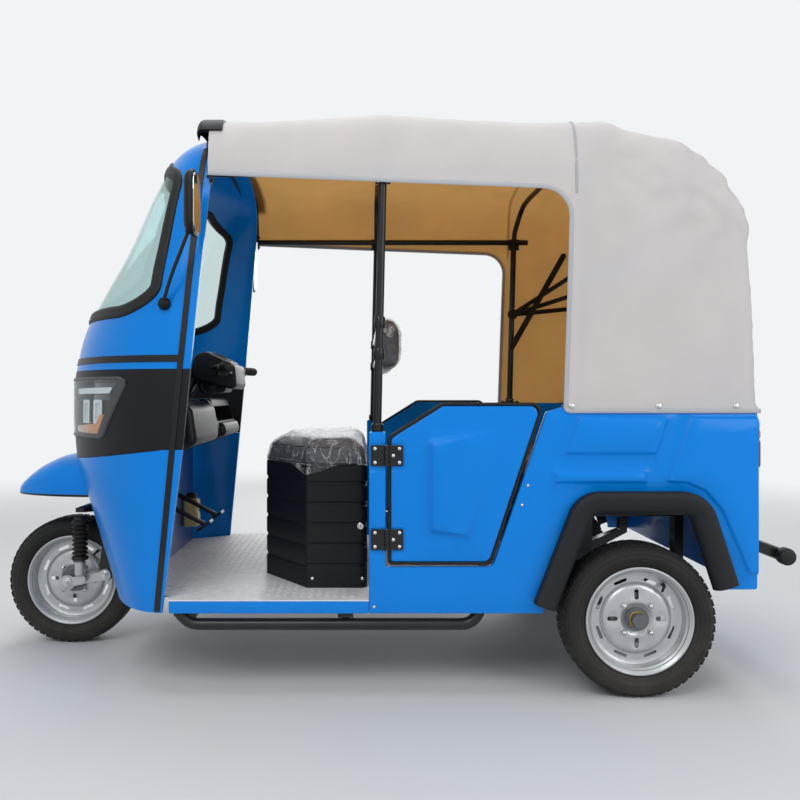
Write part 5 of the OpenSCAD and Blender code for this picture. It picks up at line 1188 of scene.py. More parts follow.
# wheels: tyre carcass with tread blocks, pressed disc rim with open slots
wheel = {"segments": 120, "treadR": 0.2382, "pitches": 54, "discEdge": 0.1485, "discBore": 0.030,
    "discT": 0.004, "slotR": 0.1245, "slotHalf": 0.017, "slotW": 0.0052, "ovalR": 0.0775,
    "ovalHalf": 0.0095, "ovalW": 0.0072, "lugR": 0.0600,
    "faceRs": [0.0, 0.040, 0.045, 0.053, 0.098, 0.107, 0.1155, 0.138, 0.1485],
    "faceYs": [0.0143, 0.0143, 0.0160, 0.0231, 0.0212, 0.0170, 0.0066, 0.0066, 0.0110]}
tyreProfile = roundedPolygon([(0.1565, -0.0466, 0), (0.1722, -0.0466, 0.004), (0.1815, -0.0570, 0.012),
        (0.1990, -0.0668, 0.020), (0.2230, -0.0615, 0.022), (0.2385, -0.0440, 0.016), (0.2392, 0.0, 0.3),
        (0.2385, 0.0440, 0.016), (0.2230, 0.0615, 0.022), (0.1990, 0.0668, 0.020), (0.1815, 0.0570, 0.012),
        (0.1722, 0.0466, 0.004), (0.1565, 0.0466, 0)], 7)
sideWall = sorted((r, y) for r, y in tyreProfile if y > 0.046 and r > 0.172)
barrel = roundedPolygon([(0.1720, 0.0548, 0.003), (0.1720, 0.0470, 0.002), (0.1560, 0.0470, 0.003),
        (0.1560, -0.0470, 0.003), (0.1720, -0.0470, 0.002), (0.1720, -0.0548, 0.003),
        (0.1500, -0.0548, 0.003), (0.1490, 0.0040, 0), (0.1475, 0.0125, 0.003), (0.1500, 0.0380, 0.010),
        (0.1585, 0.0470, 0.006), (0.1660, 0.0548, 0.004)], 5)
discFace = smoothTable(wheel["faceRs"], wheel["faceYs"])


def circle(r, n):
    return [(r * math.sin(2 * math.pi * k / n), r * math.cos(2 * math.pi * k / n)) for k in range(n)]


def capsule(angle, r, half, w, tangential):
    ring = []  # a round-ended slot in the wheel's face
    for k in range(20):
        t = 2 * math.pi * k / 20
        along, across = math.copysign(half, math.cos(t)) + w * math.cos(t), w * math.sin(t)
        a, b = (across, along) if tangential else (along, across)
        ring.append((math.sin(angle) * (r + a) + math.cos(angle) * b,
                math.cos(angle) * (r + a) - math.sin(angle) * b))
    return ring


discHoles = [capsule(2 * math.pi * (k + 0.5) / 8, wheel["slotR"], wheel["slotHalf"], wheel["slotW"], True)
    for k in range(8)]
ovalHoles = [capsule(2 * math.pi * k / 4, wheel["ovalR"], wheel["ovalHalf"], wheel["ovalW"], False)
    for k in range(4)]
discFlat, discFaces = filled(circle(wheel["discEdge"], 120),
    discHoles + ovalHoles + [circle(wheel["discBore"], 48)], 0.0075,
    [circle(r, 96) for r in (0.0425, 0.049, 0.0545, 0.0955, 0.1025, 0.1095, 0.1155, 0.1385)])
discDepth = []
for x, z in discFlat:
    r = math.hypot(x, z)
    dip = sum(0.0035 * smoothStep(1.6 - math.hypot(x - wheel["ovalR"] * math.sin(a),
                z - wheel["ovalR"] * math.cos(a)) / 0.018)
        for a in (0, math.pi / 2, math.pi, math.pi * 1.5))
    discDepth.append(discFace(r) - dip * smoothStep((0.108 - r) / 0.02))
discCount = len(discFlat)
discShell = [tuple(f) for f in discFaces] + [tuple(discCount + k for k in f[::-1]) for f in discFaces]
discShell += [(b, a, discCount + a, discCount + b) for a, b in boundaryEdges(discFaces)]
block = stackMesh([
    [(-0.0115, -0.011, 0), (0.0105, -0.011, 0), (0.0115, 0.011, 0), (-0.0105, 0.011, 0)],
    [(-0.0112, -0.0108, 0.0036), (0.0102, -0.0108, 0.0036), (0.0112, 0.0108, 0.0036),
        (-0.0102, 0.0108, 0.0036)],
    [(-0.0104, -0.0100, 0.0044), (0.0095, -0.0100, 0.0044), (0.0104, 0.0100, 0.0044),
        (-0.0095, 0.0100, 0.0044)]])
hubProfile = [(0.0, 0.0150), (0.0365, 0.0150), (0.0365, 0.0215), (0.0345, 0.0245), (0.0300, 0.0250),
    (0.0280, 0.0225), (0.0, 0.0225)]
lug = joined(hexBolt(0.0088, 0.011, 1.3),
    ([(x, y, z + 0.0108) for x, y, z in domeStud(0.0078, 0.0055)[0]], domeStud(0.0078, 0.0055)[1]))
for body, (centre, flip) in wheelSpots.items():
    node = "front" if body == "front_wheel" else "rear"
    tail = "" if node == "front" else body[len("rear_wheel"):]
    label = body.title().replace("_", "")
    middle = Vector(centre)
    addPiece("tyre" + label, latheMesh(tyreProfile, centre, wheel["segments"], True, flip), body,
        looks["tyreRubber"], 45, [node + "_tyre" + tail])
    spots = []
    for row, (y, skew) in enumerate(((-0.037, 0.35), (-0.0125, -0.30), (0.0125, 0.30), (0.037, -0.35))):
        for k in range(wheel["pitches"]):
            a = 2 * math.pi * (k + 0.5 * (row % 2)) / wheel["pitches"]
            out, along = Vector((math.sin(a), 0, math.cos(a))), Vector((math.cos(a), 0, -math.sin(a)))
            edge = abs(y) > 0.03
            spots.append((middle + out * (wheel["treadR"] - (0.0006 if edge else 0)) + Vector((0, y, 0)),
                    out + Vector((0, math.copysign(0.09, y) * edge, 0)), along + Vector((0, skew, 0)), 1.0))
    repeated("tread" + label, block, spots, body, looks["tyreRubber"])
    ribs = []
    for face in (1, -1):
        for r in (0.1870, 0.2000, 0.2150):
            y = float(np.interp(r, [p[0] for p in sideWall], [p[1] for p in sideWall]))
            ribs.append(latheMesh([(r - 0.0013, face * (y - 0.0006)), (r, face * (y + 0.0010)),
                        (r + 0.0013, face * (y - 0.0006))], centre, 96, True, 1))
    addPiece("sidewallRibs" + label, joined(*ribs), body, looks["tyreRubber"], 60)
    disc = [(centre[0] + x, centre[1] + flip * (y - drop), centre[2] + z) for drop in (0, wheel["discT"])
        for (x, z), y in zip(discFlat, discDepth)], discShell
    addPiece("rim" + label, joined(latheMesh(barrel, centre, wheel["segments"], True, flip), disc), body,
        looks["silverPaint"], 40, [node + "_rim" + tail])
    lugSpots = []
    for k in range(4):
        a = 2 * math.pi * (k + 0.5) / 4
        lugSpots.append((middle + Vector((math.sin(a) * wheel["lugR"], flip * 0.0215,
                        math.cos(a) * wheel["lugR"])), (0, flip, 0), (math.cos(a), 0, -math.sin(a)), 1.0))
    repeated("lugs" + label, lug, lugSpots, body, looks["brightSteel"])
    addPiece("hubRing" + label, latheMesh(hubProfile, centre, 48, False, flip), body,
        looks["blackTrim"], 40)
    repeated("hubNut" + label, hexBolt(0.0225, 0.024, 1.15),
        [(middle + Vector((0, flip * 0.0220, 0)), (0, flip, 0), (1, 0, 0), 1.0)], body,
        looks["goldNut"])
    stem = bentPath([middle + Vector((-0.088, flip * 0.008, 0.106)),
            middle + Vector((-0.088, flip * 0.022, 0.105)), middle + Vector((-0.076, flip * 0.036, 0.091))],
        0.008)
    addPiece("valve" + label, tubeMesh(stem, [0.0055] * (len(stem) - 2) + [0.0044, 0.0044], 12), body,
        looks["blackRubber"], 50)
print("stage: wheels")


# plates and rods for the rigid details
axisPlaces = {
    "x": lambda p, h: (h, p[0], p[1]),
    "y": lambda p, h: (p[0], h, p[1]),
    "z": lambda p, h: (p[0], p[1], h),
}


def slab(outline, low, high, bevel, axis="y"):
    inner = insetPolygon(outline, bevel)
    make = axisPlaces[axis]
    return stackMesh([[make(p, h) for p in ring]
            for ring, h in ((inner, low), (outline, low + bevel), (outline, high - bevel), (inner, high))])


def roundBox(low, high, r, steps=6):
    return roundedPolygon([(low[0], low[1], r), (high[0], low[1], r), (high[0], high[1], r),
            (low[0], high[1], r)], steps)


def spun(profile, foot, way, sides=32):
    foot, way = Vector(foot), Vector(way).normalized()  # profile is (radius, set along the axis)
    side = way.orthogonal().normalized()
    up = way.cross(side)
    turns = [2 * math.pi * k / sides for k in range(sides)]
    outs = [side * math.cos(t) + up * math.sin(t) for t in turns]
    return stackMesh([[foot + way * s + out * r for out in outs] for r, s in profile])


def studsOnBothSides(spots, size=1.0):
    return [(Vector((x, side * y, z)), (0, side, 0), (1, 0, 0), size) for x, y, z in spots
        for side in (1, -1)]


# hood frame: rails, poles and bows of bent tube, scissor stays and clamps
hoodTubes = {"tube": 0.013, "rail": 0.0122, "roofBow": 0.0114, "foldBow": 0.0104, "brace": 0.011,
    "inset": 0.022, "half": 0.6163, "y": 0.585, "railZ": 1.668, "railX": (0.509, -0.7475),
    "pole": ((-0.0265, 0.8413), (-0.0445, 1.668)), "backPole": ((-0.6635, 0.9213), (-0.6835, 1.668)),
    "braceX": -0.0365, "braceZ": (1.1899, 1.0899), "pivot": (-0.6735, 0.572, 1.3311),
    "ironFoot": (-0.6704, 1.1802), "ironKnee": (-0.9075, 1.600), "ironY": 0.5587, "ironT": 0.006,
    "ironW": 0.026, "foldSteps": (0.0, 0.011, 0.036), "foldSunk": (0.0, 0.002, 0.010)}


def bowRun(k, step, fromShare, sunk=0.0, startX=None):
    run = []
    for q in np.linspace(float(np.interp(fromShare, hood["hs"], shapeL)), hoodL, 28):
        ys, hs = shapeY(q), shapeH(q)
        run.append(Vector((lerp(hood["footX"][k], hood["crownX"][k], hs) + step,
                    (hoodTubes["half"] - hoodTubes["inset"] - sunk) * ys,
                    hood["footZ"] + (hood["crownZ"][k] - hoodTubes["inset"] - sunk - hood["footZ"]) * hs)))
    if startX is not None:  # the rear bow runs on from its pole and leans back to its crown
        lean = startX - run[0].x
        for i, p in enumerate(run):
            p.x += lean * (1 - i / (len(run) - 1)) ** 2
    return [Vector((p.x, -p.y, p.z)) for p in run] + run[::-1][1:]


def capped(foot, run):
    other = Vector((foot[0], -foot[1], foot[2]))
    start = bentPath([other] + run[:2], 0.04)[1:-1]
    end = bentPath(run[-2:] + [Vector(foot)], 0.04)[1:-1]
    return [other] + start + run[1:-1] + end + [Vector(foot)]


tubeParts = [tubeMesh([(hoodTubes["railX"][0], side * hoodTubes["y"], hoodTubes["railZ"]),
            (hoodTubes["railX"][1], side * hoodTubes["y"], hoodTubes["railZ"])], hoodTubes["rail"], 20)
    for side in (1, -1)]
for side in (1, -1):
    for key in ("pole", "backPole"):
        tubeParts.append(tubeMesh([(x, side * hoodTubes["y"], z) for x, z in hoodTubes[key]],
                hoodTubes["tube"], 24))
    foot, knee = Vector(hoodTubes["ironFoot"]), Vector(hoodTubes["ironKnee"])
    along = (knee - foot).normalized()
    across = Vector((-along.y, along.x)) * hoodTubes["ironW"] / 2
    turns = [math.pi * k / 10 for k in range(11)]
    ends = [foot + across * math.cos(t) - along * hoodTubes["ironW"] / 2 * math.sin(t) for t in turns]
    ends += [knee - across * math.cos(t) + along * hoodTubes["ironW"] / 2 * math.sin(t) for t in turns]
    iron = slab([tuple(p) for p in ends], hoodTubes["ironY"] - hoodTubes["ironT"], hoodTubes["ironY"], 0.001)
    tubeParts.append(iron if side > 0 else mirrored(iron))
    tubeParts.append(tubeMesh([(foot.x, side * (hoodTubes["ironY"] - 0.003), foot.y),
                (foot.x, side * 0.5717, foot.y)], 0.0065, 12))
for z in hoodTubes["braceZ"]:
    tubeParts.append(tubeMesh([(hoodTubes["braceX"], -hoodTubes["y"], z),
                (hoodTubes["braceX"], hoodTubes["y"], z)], hoodTubes["brace"], 18))
for k in (1, 2):
    railX = lerp(hood["footX"][k], hood["crownX"][k],
        (hoodTubes["railZ"] - hood["footZ"]) / (hood["crownZ"][k] - hood["footZ"]))
    startX = None
    if k == 2:
        railX = hoodTubes["backPole"][1][0]
        startX = railX - 0.003
    tubeParts.append(tubeMesh(capped((railX, hoodTubes["y"], hoodTubes["railZ"] - 0.004),
                bowRun(k, 0, 0.85, 0.0, startX)), hoodTubes["roofBow"], 16))
for k, step, sunk in zip((3, 4, 5), hoodTubes["foldSteps"], hoodTubes["foldSunk"]):
    tubeParts.append(tubeMesh(capped(hoodTubes["pivot"], bowRun(k, step, 0.74, sunk)), hoodTubes["foldBow"],
            16))
addPiece("hoodTubes", joined(*tubeParts), "body", looks["blackSteel"], 40, ["hood_frame"])

clampParts, clampBolts = [], []
for x in (-0.0445, -0.6835):
    clampParts.append(tubeMesh([(x - 0.024, hoodTubes["y"], hoodTubes["railZ"]),
                (x + 0.024, hoodTubes["y"], hoodTubes["railZ"])], 0.0150, 20))
    clampParts.append(boxMesh((x - 0.024, hoodTubes["y"] - 0.004, hoodTubes["railZ"] - 0.036),
            (x + 0.024, hoodTubes["y"] + 0.004, hoodTubes["railZ"] - 0.010), 0.0015))
    clampBolts += [(x - 0.014, hoodTubes["y"] + 0.004, hoodTubes["railZ"] - 0.026),
        (x + 0.014, hoodTubes["y"] + 0.004, hoodTubes["railZ"] - 0.026)]
clampParts.append(spun([(0.0175, 0.0), (0.0185, 0.002), (0.0185, 0.022), (0.0150, 0.026)],
        (-0.0265, hoodTubes["y"], 0.8413), (-0.018, 0, 0.827), 24))
clampParts.append(slab(roundBox((-0.7085, 0.570), (-0.6185, 0.600), 0.008), 0.9213, 0.9258, 0.001, "z"))
clampParts.append(spun([(0.019, 0.0), (0.019, 0.014), (0.0150, 0.020)], (-0.6635, hoodTubes["y"], 0.925),
        (-0.02, 0, 0.747), 24))
clampParts.append(spun([(0.022, 0.0), (0.024, 0.003), (0.024, 0.012), (0.018, 0.017)],
        (-0.6735, 0.552, 1.3311), (0, 1, 0), 24))
for z in hoodTubes["braceZ"]:
    clampParts.append(spun([(0.0165, 0.0), (0.0175, 0.002), (0.0175, 0.034), (0.0165, 0.036)],
            (lerp(-0.0265, -0.0445, (z - 0.8413) / 0.8267), hoodTubes["y"], z - 0.018), (-0.018, 0, 0.827),
            20))
clampParts.append(slab(roundBox((hoodTubes["y"] - 0.015, hoodTubes["railZ"] - 0.033),
            (hoodTubes["y"] + 0.015, hoodTubes["railZ"] + 0.033), 0.005), 0.503, 0.509, 0.001, "x"))
addPiece("hoodClamps", bothSides(joined(*clampParts)), "body", looks["blackSteel"], 40)
repeated("clampBolts", hexBolt(0.0048, 0.005), studsOnBothSides(clampBolts), "body",
    looks["brightSteel"])
repeated("flangeBolts", hexBolt(0.0045, 0.005),
    [(Vector((0.503, side * hoodTubes["y"], hoodTubes["railZ"] + rise)), (-1, 0, 0), (0, 0, 1), 1.0)
        for side in (1, -1) for rise in (-0.023, 0.023)], "body", looks["blackSteel"])
repeated("poleFootBolts", hexBolt(0.0052, 0.006),
    [(Vector((x, side * hoodTubes["y"], 0.9258)), (0, 0, 1), (1, 0, 0), 1.0) for x in (-0.698, -0.629)
        for side in (1, -1)], "body", looks["blackSteel"])

visor = {"footZ": 1.798, "x": 0.5125, "profile": [(-0.042, 0.0012), (-0.0415, 0.0052), (-0.037, 0.0070),
        (0.022, 0.0070), (0.033, 0.0035), (0.040, -0.0050), (0.0425, -0.0180), (0.0415, -0.0420),
        (0.0380, -0.0425), (0.0375, -0.0180), (0.031, -0.0085), (0.006, -0.0085), (0.003, 0.0012)]}
visorRun = []
for w in np.linspace(-hoodL, hoodL, 240):
    p = hoodPoint(0.0, float(w))
    if p.z >= visor["footZ"]:
        visorRun.append((Vector((visor["x"], p.y * 1.002, p.z)),
                hoodPoint(0.0, float(w) + 0.002) - hoodPoint(0.0, float(w) - 0.002)))
visorNormals = [Vector((0, -t.z, t.y)) if Vector((0, -t.z, t.y)).dot(Vector((0, p.y, p.z - 1.2))) > 0
    else Vector((0, t.z, -t.y)) for p, t in visorRun]
addPiece("headerVisor", sweptMesh([p for p, t in visorRun], visorNormals, visor["profile"]), "body",
    looks["blackPlastic"], 40, ["header_visor"])
apron = []
for w in np.linspace(-hoodL, hoodL, 300):  # rubber strip closing the hood's front edge on the cab
    p = hoodPoint(0.0, float(w), 0.005)
    if p.z >= 1.668:
        a = Vector((visor["x"] - 0.004, p.y, p.z))
        b = upperCowl.closest_point_on_mesh(a + Vector((0.020, 0, 0)))[1]
        apron.append([a, b, b - Vector((0.003, 0, 0)), a - Vector((0.004, 0, 0))])
addPiece("hoodApron", stackMesh(apron), "body", looks["blackRubber"], 50)
print("stage: hood frame")

# floor of tread plate and the sills
treadPlate = {"z": 0.308, "t": 0.004, "pitch": 0.027, "long": 0.0105, "wide": 0.0030, "high": 0.0009,
    "outline": [(-0.4195, -0.5877), (0.0008, -0.5877), (0.0008, -0.610), (0.6364, -0.610), (0.6364, -0.560),
        (0.7895, -0.480), (0.7895, 0.480), (0.6364, 0.560), (0.6364, 0.610), (0.0008, 0.610),
        (0.0008, 0.5877), (-0.4195, 0.5877)]}


def onFloor(u, v, d):
    return u, v, treadPlate["z"] - d


floorShell = liftedShell(resampled(treadPlate["outline"], 0.06), [], 0.09, onFloor, 0, treadPlate["t"])
addPiece("floorPlate", floorShell, "body", looks["floorAluminium"], 30, ["floor_plate"])
lozengeLevels = [(treadPlate["long"], treadPlate["wide"], -0.0002),
    (treadPlate["long"] * 0.8, treadPlate["wide"] * 0.6, treadPlate["high"])]
lozenge = stackMesh([[(-l, 0, h), (-l * 0.45, -w, h), (l * 0.45, -w, h), (l, 0, h), (l * 0.45, w, h),
            (-l * 0.45, w, h)] for l, w, h in lozengeLevels])
treadSpots = []
columns, rows = int(1.20 / treadPlate["pitch"]), int(1.21 / treadPlate["pitch"])
treadGrid = np.array([(-0.405 + i * treadPlate["pitch"], -0.595 + j * treadPlate["pitch"])
        for i in range(columns) for j in range(rows)])
treadKeep = insideMask(treadGrid, insetPolygon(treadPlate["outline"], 0.014))
for n, (x, y) in enumerate(treadGrid):
    if treadKeep[n]:
        way = 1 if (n // rows + n % rows) % 2 else -1
        treadSpots.append((Vector((x, y, treadPlate["z"])), (0, 0, 1), (1, way, 0), 1.0))
repeated("treadLozenges", lozenge, treadSpots, "body", looks["floorAluminium"])
addPiece("sills", bothSides(boxMesh((0.0008, 0.580, 0.264), (0.6364, 0.610, 0.3038), 0.004)), "body",
    looks["bluePaint"], 35, ["sills"])
print("stage: floor", len(treadSpots))

# door hinges with their plates, knuckles and domed bolts
hinge = {"x": -0.0565, "y": 0.6173, "zs": (0.500, 0.766), "plateLow": 0.6103, "plateHigh": 0.6153,
    "r": 0.007, "tall": 0.066, "postX": (-0.0492, -0.0052), "doorX": (-0.1078, -0.0638)}
third = hinge["tall"] / 3
postLeaves, doorLeaves, postBolts, doorBolts = [], [], [], []
for z in hinge["zs"]:
    for leaves, (x0, x1) in ((postLeaves, hinge["postX"]), (doorLeaves, hinge["doorX"])):
        leaves.append(slab(roundBox((x0, z - hinge["tall"] / 2), (x1, z + hinge["tall"] / 2), 0.003, 3),
                hinge["plateLow"], hinge["plateHigh"], 0.0008))
    postLeaves.append(tubeMesh([(hinge["x"], hinge["y"], z - third / 2),
                (hinge["x"], hinge["y"], z + third / 2)], hinge["r"], 20))
    postLeaves.append(boxMesh((hinge["x"], hinge["plateLow"], z - third / 2),
            (hinge["postX"][0] + 0.002, hinge["plateHigh"], z + third / 2)))
    for s in (-1.5 * third, 0.5 * third + 0.0006):
        doorLeaves.append(tubeMesh([(hinge["x"], hinge["y"], z + s),
                    (hinge["x"], hinge["y"], z + s + third - 0.0006)], hinge["r"], 20))
        doorLeaves.append(boxMesh((hinge["doorX"][1] - 0.002, hinge["plateLow"], z + s),
                (hinge["x"], hinge["plateHigh"], z + s + third - 0.0006)))
    postBolts += [(-0.019, hinge["plateHigh"], z - 0.022), (-0.019, hinge["plateHigh"], z + 0.022)]
    doorBolts += [(-0.0765, hinge["plateHigh"], z), (-0.0965, hinge["plateHigh"], z - 0.022),
        (-0.0965, hinge["plateHigh"], z + 0.022)]
addPiece("postHinges", bothSides(joined(*postLeaves)), "body", looks["blackSteel"], 35,
    ["post_hinges"])
roundHead = domeStud(0.0066, 0.0052)
repeated("postHingeBolts", roundHead, studsOnBothSides(postBolts), "body",
    looks["brightSteel"])
for name, side in (("Left", 1), ("Right", -1)):
    low = name.lower()
    part = joined(*doorLeaves)
    addPiece("doorHinges" + name, part if side > 0 else mirrored(part), "door_" + low,
        looks["blackSteel"], 35, ["door_hinges_" + low])
    repeated("doorHingeBolts" + name, roundHead,
        [(Vector((x, side * y, z)), (0, side, 0), (1, 0, 0), 1.0) for x, y, z in doorBolts], "door_" + low,
        looks["brightSteel"])
repeated("panelStuds", domeStud(0.0052, 0.0040),
    studsOnBothSides([(-0.504, 0.6098, 0.671), (-0.485, 0.6098, 0.609), (-0.016, 0.6098, 0.286)]), "body",
    looks["brightSteel"])
hemStuds = []
for side in (1, -1):
    for x in hood["studXs"]:
        u, w = hoodAtSide(x, hood["studZ"] + 0.004)
        spot, out = onHood(u, side * w, 0.0018)
        hemStuds.append((spot, out, (1, 0, 0), 1.0))
repeated("hemStuds", joined(domeStud(0.0095, 0.0022),
        ([(x, y, z + 0.002) for x, y, z in domeStud(0.0062, 0.0036)[0]], domeStud(0.0062, 0.0036)[1])),
    hemStuds, "body", looks["brightSteel"])
print("stage: hinges and studs")


# driver's seat box with pressed ribs, lock and screw
seatBox = {"backX": 0.0045, "shoulderX": 0.2084, "frontX": 0.3707, "half": 0.452, "frontHalf": 0.225,
    "r": 0.024, "footZ": 0.308, "topZ": 0.722, "ribs": 5, "ribTall": 0.012, "ribDeep": 0.004}


def seatPlan(inset):
    return roundedPolygon([(seatBox["backX"] + inset, -seatBox["half"] + inset, seatBox["r"]),
            (seatBox["shoulderX"], -seatBox["half"] + inset, seatBox["r"]),
            (seatBox["frontX"] - inset, -seatBox["frontHalf"], seatBox["r"]),
            (seatBox["frontX"] - inset, seatBox["frontHalf"], seatBox["r"]),
            (seatBox["shoulderX"], seatBox["half"] - inset, seatBox["r"]),
            (seatBox["backX"] + inset, seatBox["half"] - inset, seatBox["r"])], 6)


boxLevels = [(seatBox["footZ"], 0.002), (seatBox["footZ"] + 0.002, 0)]
for k in range(1, seatBox["ribs"] + 1):
    z = lerp(seatBox["footZ"], seatBox["topZ"], k / (seatBox["ribs"] + 1))
    boxLevels += [(z - 0.002, 0), (z + 0.002, seatBox["ribDeep"]),
        (z + seatBox["ribTall"] - 0.002, seatBox["ribDeep"]), (z + seatBox["ribTall"] + 0.004, 0)]
boxLevels += [(seatBox["topZ"] - 0.004, 0), (seatBox["topZ"], 0.004)]
addPiece("seatBox", stackMesh([[(x, y, z) for x, y in seatPlan(inset)] for z, inset in boxLevels]), "body",
    looks["blackPlastic"], 28, ["seat_box"])
lockProfile = [(0.0115, 0.0), (0.0115, 0.0030), (0.0095, 0.0045), (0.0070, 0.0045), (0.0065, 0.0036),
    (0.0005, 0.0036)]
addPiece("seatLock", bothSides(spun(lockProfile, (0.027, 0.4519, 0.517), (0, 1, 0), 28)), "body",
    looks["brightSteel"], 35)
addPiece("seatKeyway", bothSides(boxMesh((0.0261, 0.4554, 0.513), (0.0279, 0.4560, 0.521))), "body",
    looks["blackTrim"], 30)
repeated("seatScrews", domeStud(0.0065, 0.0045),
    studsOnBothSides([(0.021, 0.4519, 0.340), (0.190, 0.4519, 0.340)]), "body",
    looks["brightSteel"])
print("stage: seat box")


# stuffed seats: a remeshed pad is blown up as cloth, held at its base
def puffed(name, part, soft):
    mesh = bpy.data.meshes.new(name + "Start")
    mesh.from_pydata([tuple(map(float, v)) for v in part[0]], [], [tuple(f) for f in part[1]])
    bm = bmesh.new()
    bm.from_mesh(mesh)
    bmesh.ops.recalc_face_normals(bm, faces=bm.faces[:])
    bm.to_mesh(mesh)
    bm.free()
    start = bpy.data.objects.new(name + "Start", mesh)
    bpy.context.scene.collection.objects.link(start)
    remesh = start.modifiers.new("remesh", "REMESH")
    remesh.mode, remesh.voxel_size = "VOXEL", soft["voxel"]
    bpy.context.view_layer.update()
    fine = bpy.data.meshes.new_from_object(start.evaluated_get(bpy.context.evaluated_depsgraph_get()))
    start.modifiers.clear()
    start.data = fine
    rest = np.array([v.co[:] for v in fine.vertices])
    depth = (rest - np.array(soft["heldAt"])) @ np.array(soft["heldWay"])
    moved = rest
    held = start.vertex_groups.new(name="held")
    held.add([int(i) for i in np.nonzero(depth < soft["voxel"] * 1.2)[0]], 1.0, "ADD")
    cloth = start.modifiers.new("cloth", "CLOTH")
    cloth.settings.quality = 4
    cloth.settings.vertex_group_mass = "held"
    cloth.settings.use_pressure = True
    cloth.settings.uniform_pressure_force = soft["pressure"]
    cloth.settings.effector_weights.gravity = 0
    cloth.point_cache.frame_start, cloth.point_cache.frame_end = 1, soft["frames"]
    for f in range(1, soft["frames"] + 1):
        bpy.context.scene.frame_set(f)
    blown = start.evaluated_get(bpy.context.evaluated_depsgraph_get()).to_mesh()
    moved = np.array([v.co[:] for v in blown.vertices])
    start.evaluated_get(bpy.context.evaluated_depsgraph_get()).to_mesh_clear()
    start.modifiers.remove(cloth)
    bpy.context.scene.frame_set(1)
    step = moved - rest
    far = np.linalg.norm(step, axis=1, keepdims=True)
    spots = rest + step * np.minimum(1, soft["cap"] / np.maximum(far, 1e-9))
    faces = [tuple(p.vertices) for p in fine.polygons]
    near = [[] for v in spots]
    for e in fine.edges:
        a, b = e.vertices
        near[a].append(b)
        near[b].append(a)
    free = (depth > soft["voxel"] * 0.6)[:, None]
    for turn in range(soft["smooth"]):  # takes off the remesh's steps
        spots = np.where(free, spots * 0.5 + np.array([spots[k].mean(0) for k in near]) * 0.5, spots)
    bpy.data.objects.remove(start)
    for m in (mesh, fine):
        bpy.data.meshes.remove(m)
    return [tuple(p) for p in spots], faces


def vertexNormals(part):
    mesh = bpy.data.meshes.new("scratch")
    mesh.from_pydata(part[0], [], part[1])
    found = [Vector(v.normal) for v in mesh.vertices]
    bpy.data.meshes.remove(mesh)
    return found


def creased(part, lines, deep, width):
    normals, spots = vertexNormals(part), []  # lines are (axis, place) of the sewn channels
    for p, n in zip(part[0], normals):
        dip = max([math.exp(-((p[axis] - place) / width) ** 2) for axis, place in lines] + [0])
        spots.append(tuple(Vector(p) - n * deep * dip * (1 - abs(n[lines[0][0]]) if lines else 0)))
    return spots, part[1]


def piping(obj, run, r):
    spots = [obj.closest_point_on_mesh(Vector(p)) for p in run]
    return tubeMesh([s[1] + s[2] * r * 0.35 for s in spots], r, 8, True)


def filmOver(part, gap, wrinkle, bare, droop=None):
    normals, spots, bare = vertexNormals(part), [], Vector(bare)  # thin clear wrap, open on its bare side
    for p, n in zip(part[0], normals):
        v = Vector(p)
        side = 1 - abs(n.z)
        d = gap + wrinkle * (abs(noise.noise(Vector((v.x * 34, v.y * 34, v.z * 7)))) * side
            + abs(noise.noise(v * 13 + Vector((3, 1, 7)))) * (1 - side) * 0.8)
        q = v + n * d
        if droop:
            reach = math.hypot(q.x - droop[0], q.y - droop[1])
            q.z -= droop[2] * smoothStep(1 - reach / 0.13) * smoothStep((droop[3] - q.z) / 0.03)
        spots.append(tuple(q))
    return spots, [f for f in part[1] if sum(normals[k].dot(bare) for k in f) / len(f) < 0.6]


driverSeat = {"lowZ": 0.7225, "highZ": 0.798, "voxel": 0.008, "pressure": 4.0, "cap": 0.013, "frames": 16,
    "smooth": 6, "heldAt": (0, 0, 0.7225), "heldWay": (0, 0, 1)}
padLevels = [(driverSeat["lowZ"], 0.006), (driverSeat["lowZ"] + 0.008, 0.002),
    (driverSeat["highZ"] - 0.026, 0.002), (driverSeat["highZ"] - 0.010, 0.010),
    (driverSeat["highZ"] - 0.002, 0.026), (driverSeat["highZ"], 0.045)]
padStart = stackMesh([[(x, y, z) for x, y in seatPlan(inset)] for z, inset in padLevels])
cushionPart = puffed("driverCushion", padStart, driverSeat)
driverCushion = addPiece("driverCushion", cushionPart, "body", looks["seatVinyl"], 60,
    ["driver_cushion"])
pipingRuns = [[(x, y, z) for x, y in resampled(seatPlan(0.004), 0.02)] for z in (0.7310, 0.7930)]
addPiece("cushionPiping", joined(*[piping(driverCushion, run, 0.0035) for run in pipingRuns]), "body",
    looks["seatVinyl"], 60)
cushionFilm = addPiece("cushionFilm", filmOver(cushionPart, 0.0045, 0.011, (0, 0, -1),
        (0.2084, 0.456, 0.035, 0.772)), "body", looks["clearFilm"], 80)

driverRest = {"x": (-0.1038, -0.0478), "z": (1.0460, 1.2220), "half": 0.430, "voxel": 0.008,
    "pressure": 4.0, "cap": 0.009, "frames": 16, "smooth": 6, "heldAt": (-0.0478, 0, 0),
    "heldWay": (-1, 0, 0)}
restLevels = [(driverRest["x"][1], 0.004), (driverRest["x"][1] - 0.010, 0.003),
    (driverRest["x"][0] + 0.020, 0.004), (driverRest["x"][0] + 0.010, 0.012),
    (driverRest["x"][0] + 0.006, 0.030)]
restRings = []
for x, inset in restLevels:
    ring = roundBox((-driverRest["half"] + inset, driverRest["z"][0] + inset),
        (driverRest["half"] - inset, driverRest["z"][1] - inset), 0.030)
    restRings.append([(x, y, z) for y, z in ring])
restPart = puffed("driverRest", stackMesh(restRings), driverRest)
driverBackrest = addPiece("driverBackrest", restPart, "body", looks["seatVinyl"], 60,
    ["driver_backrest"])
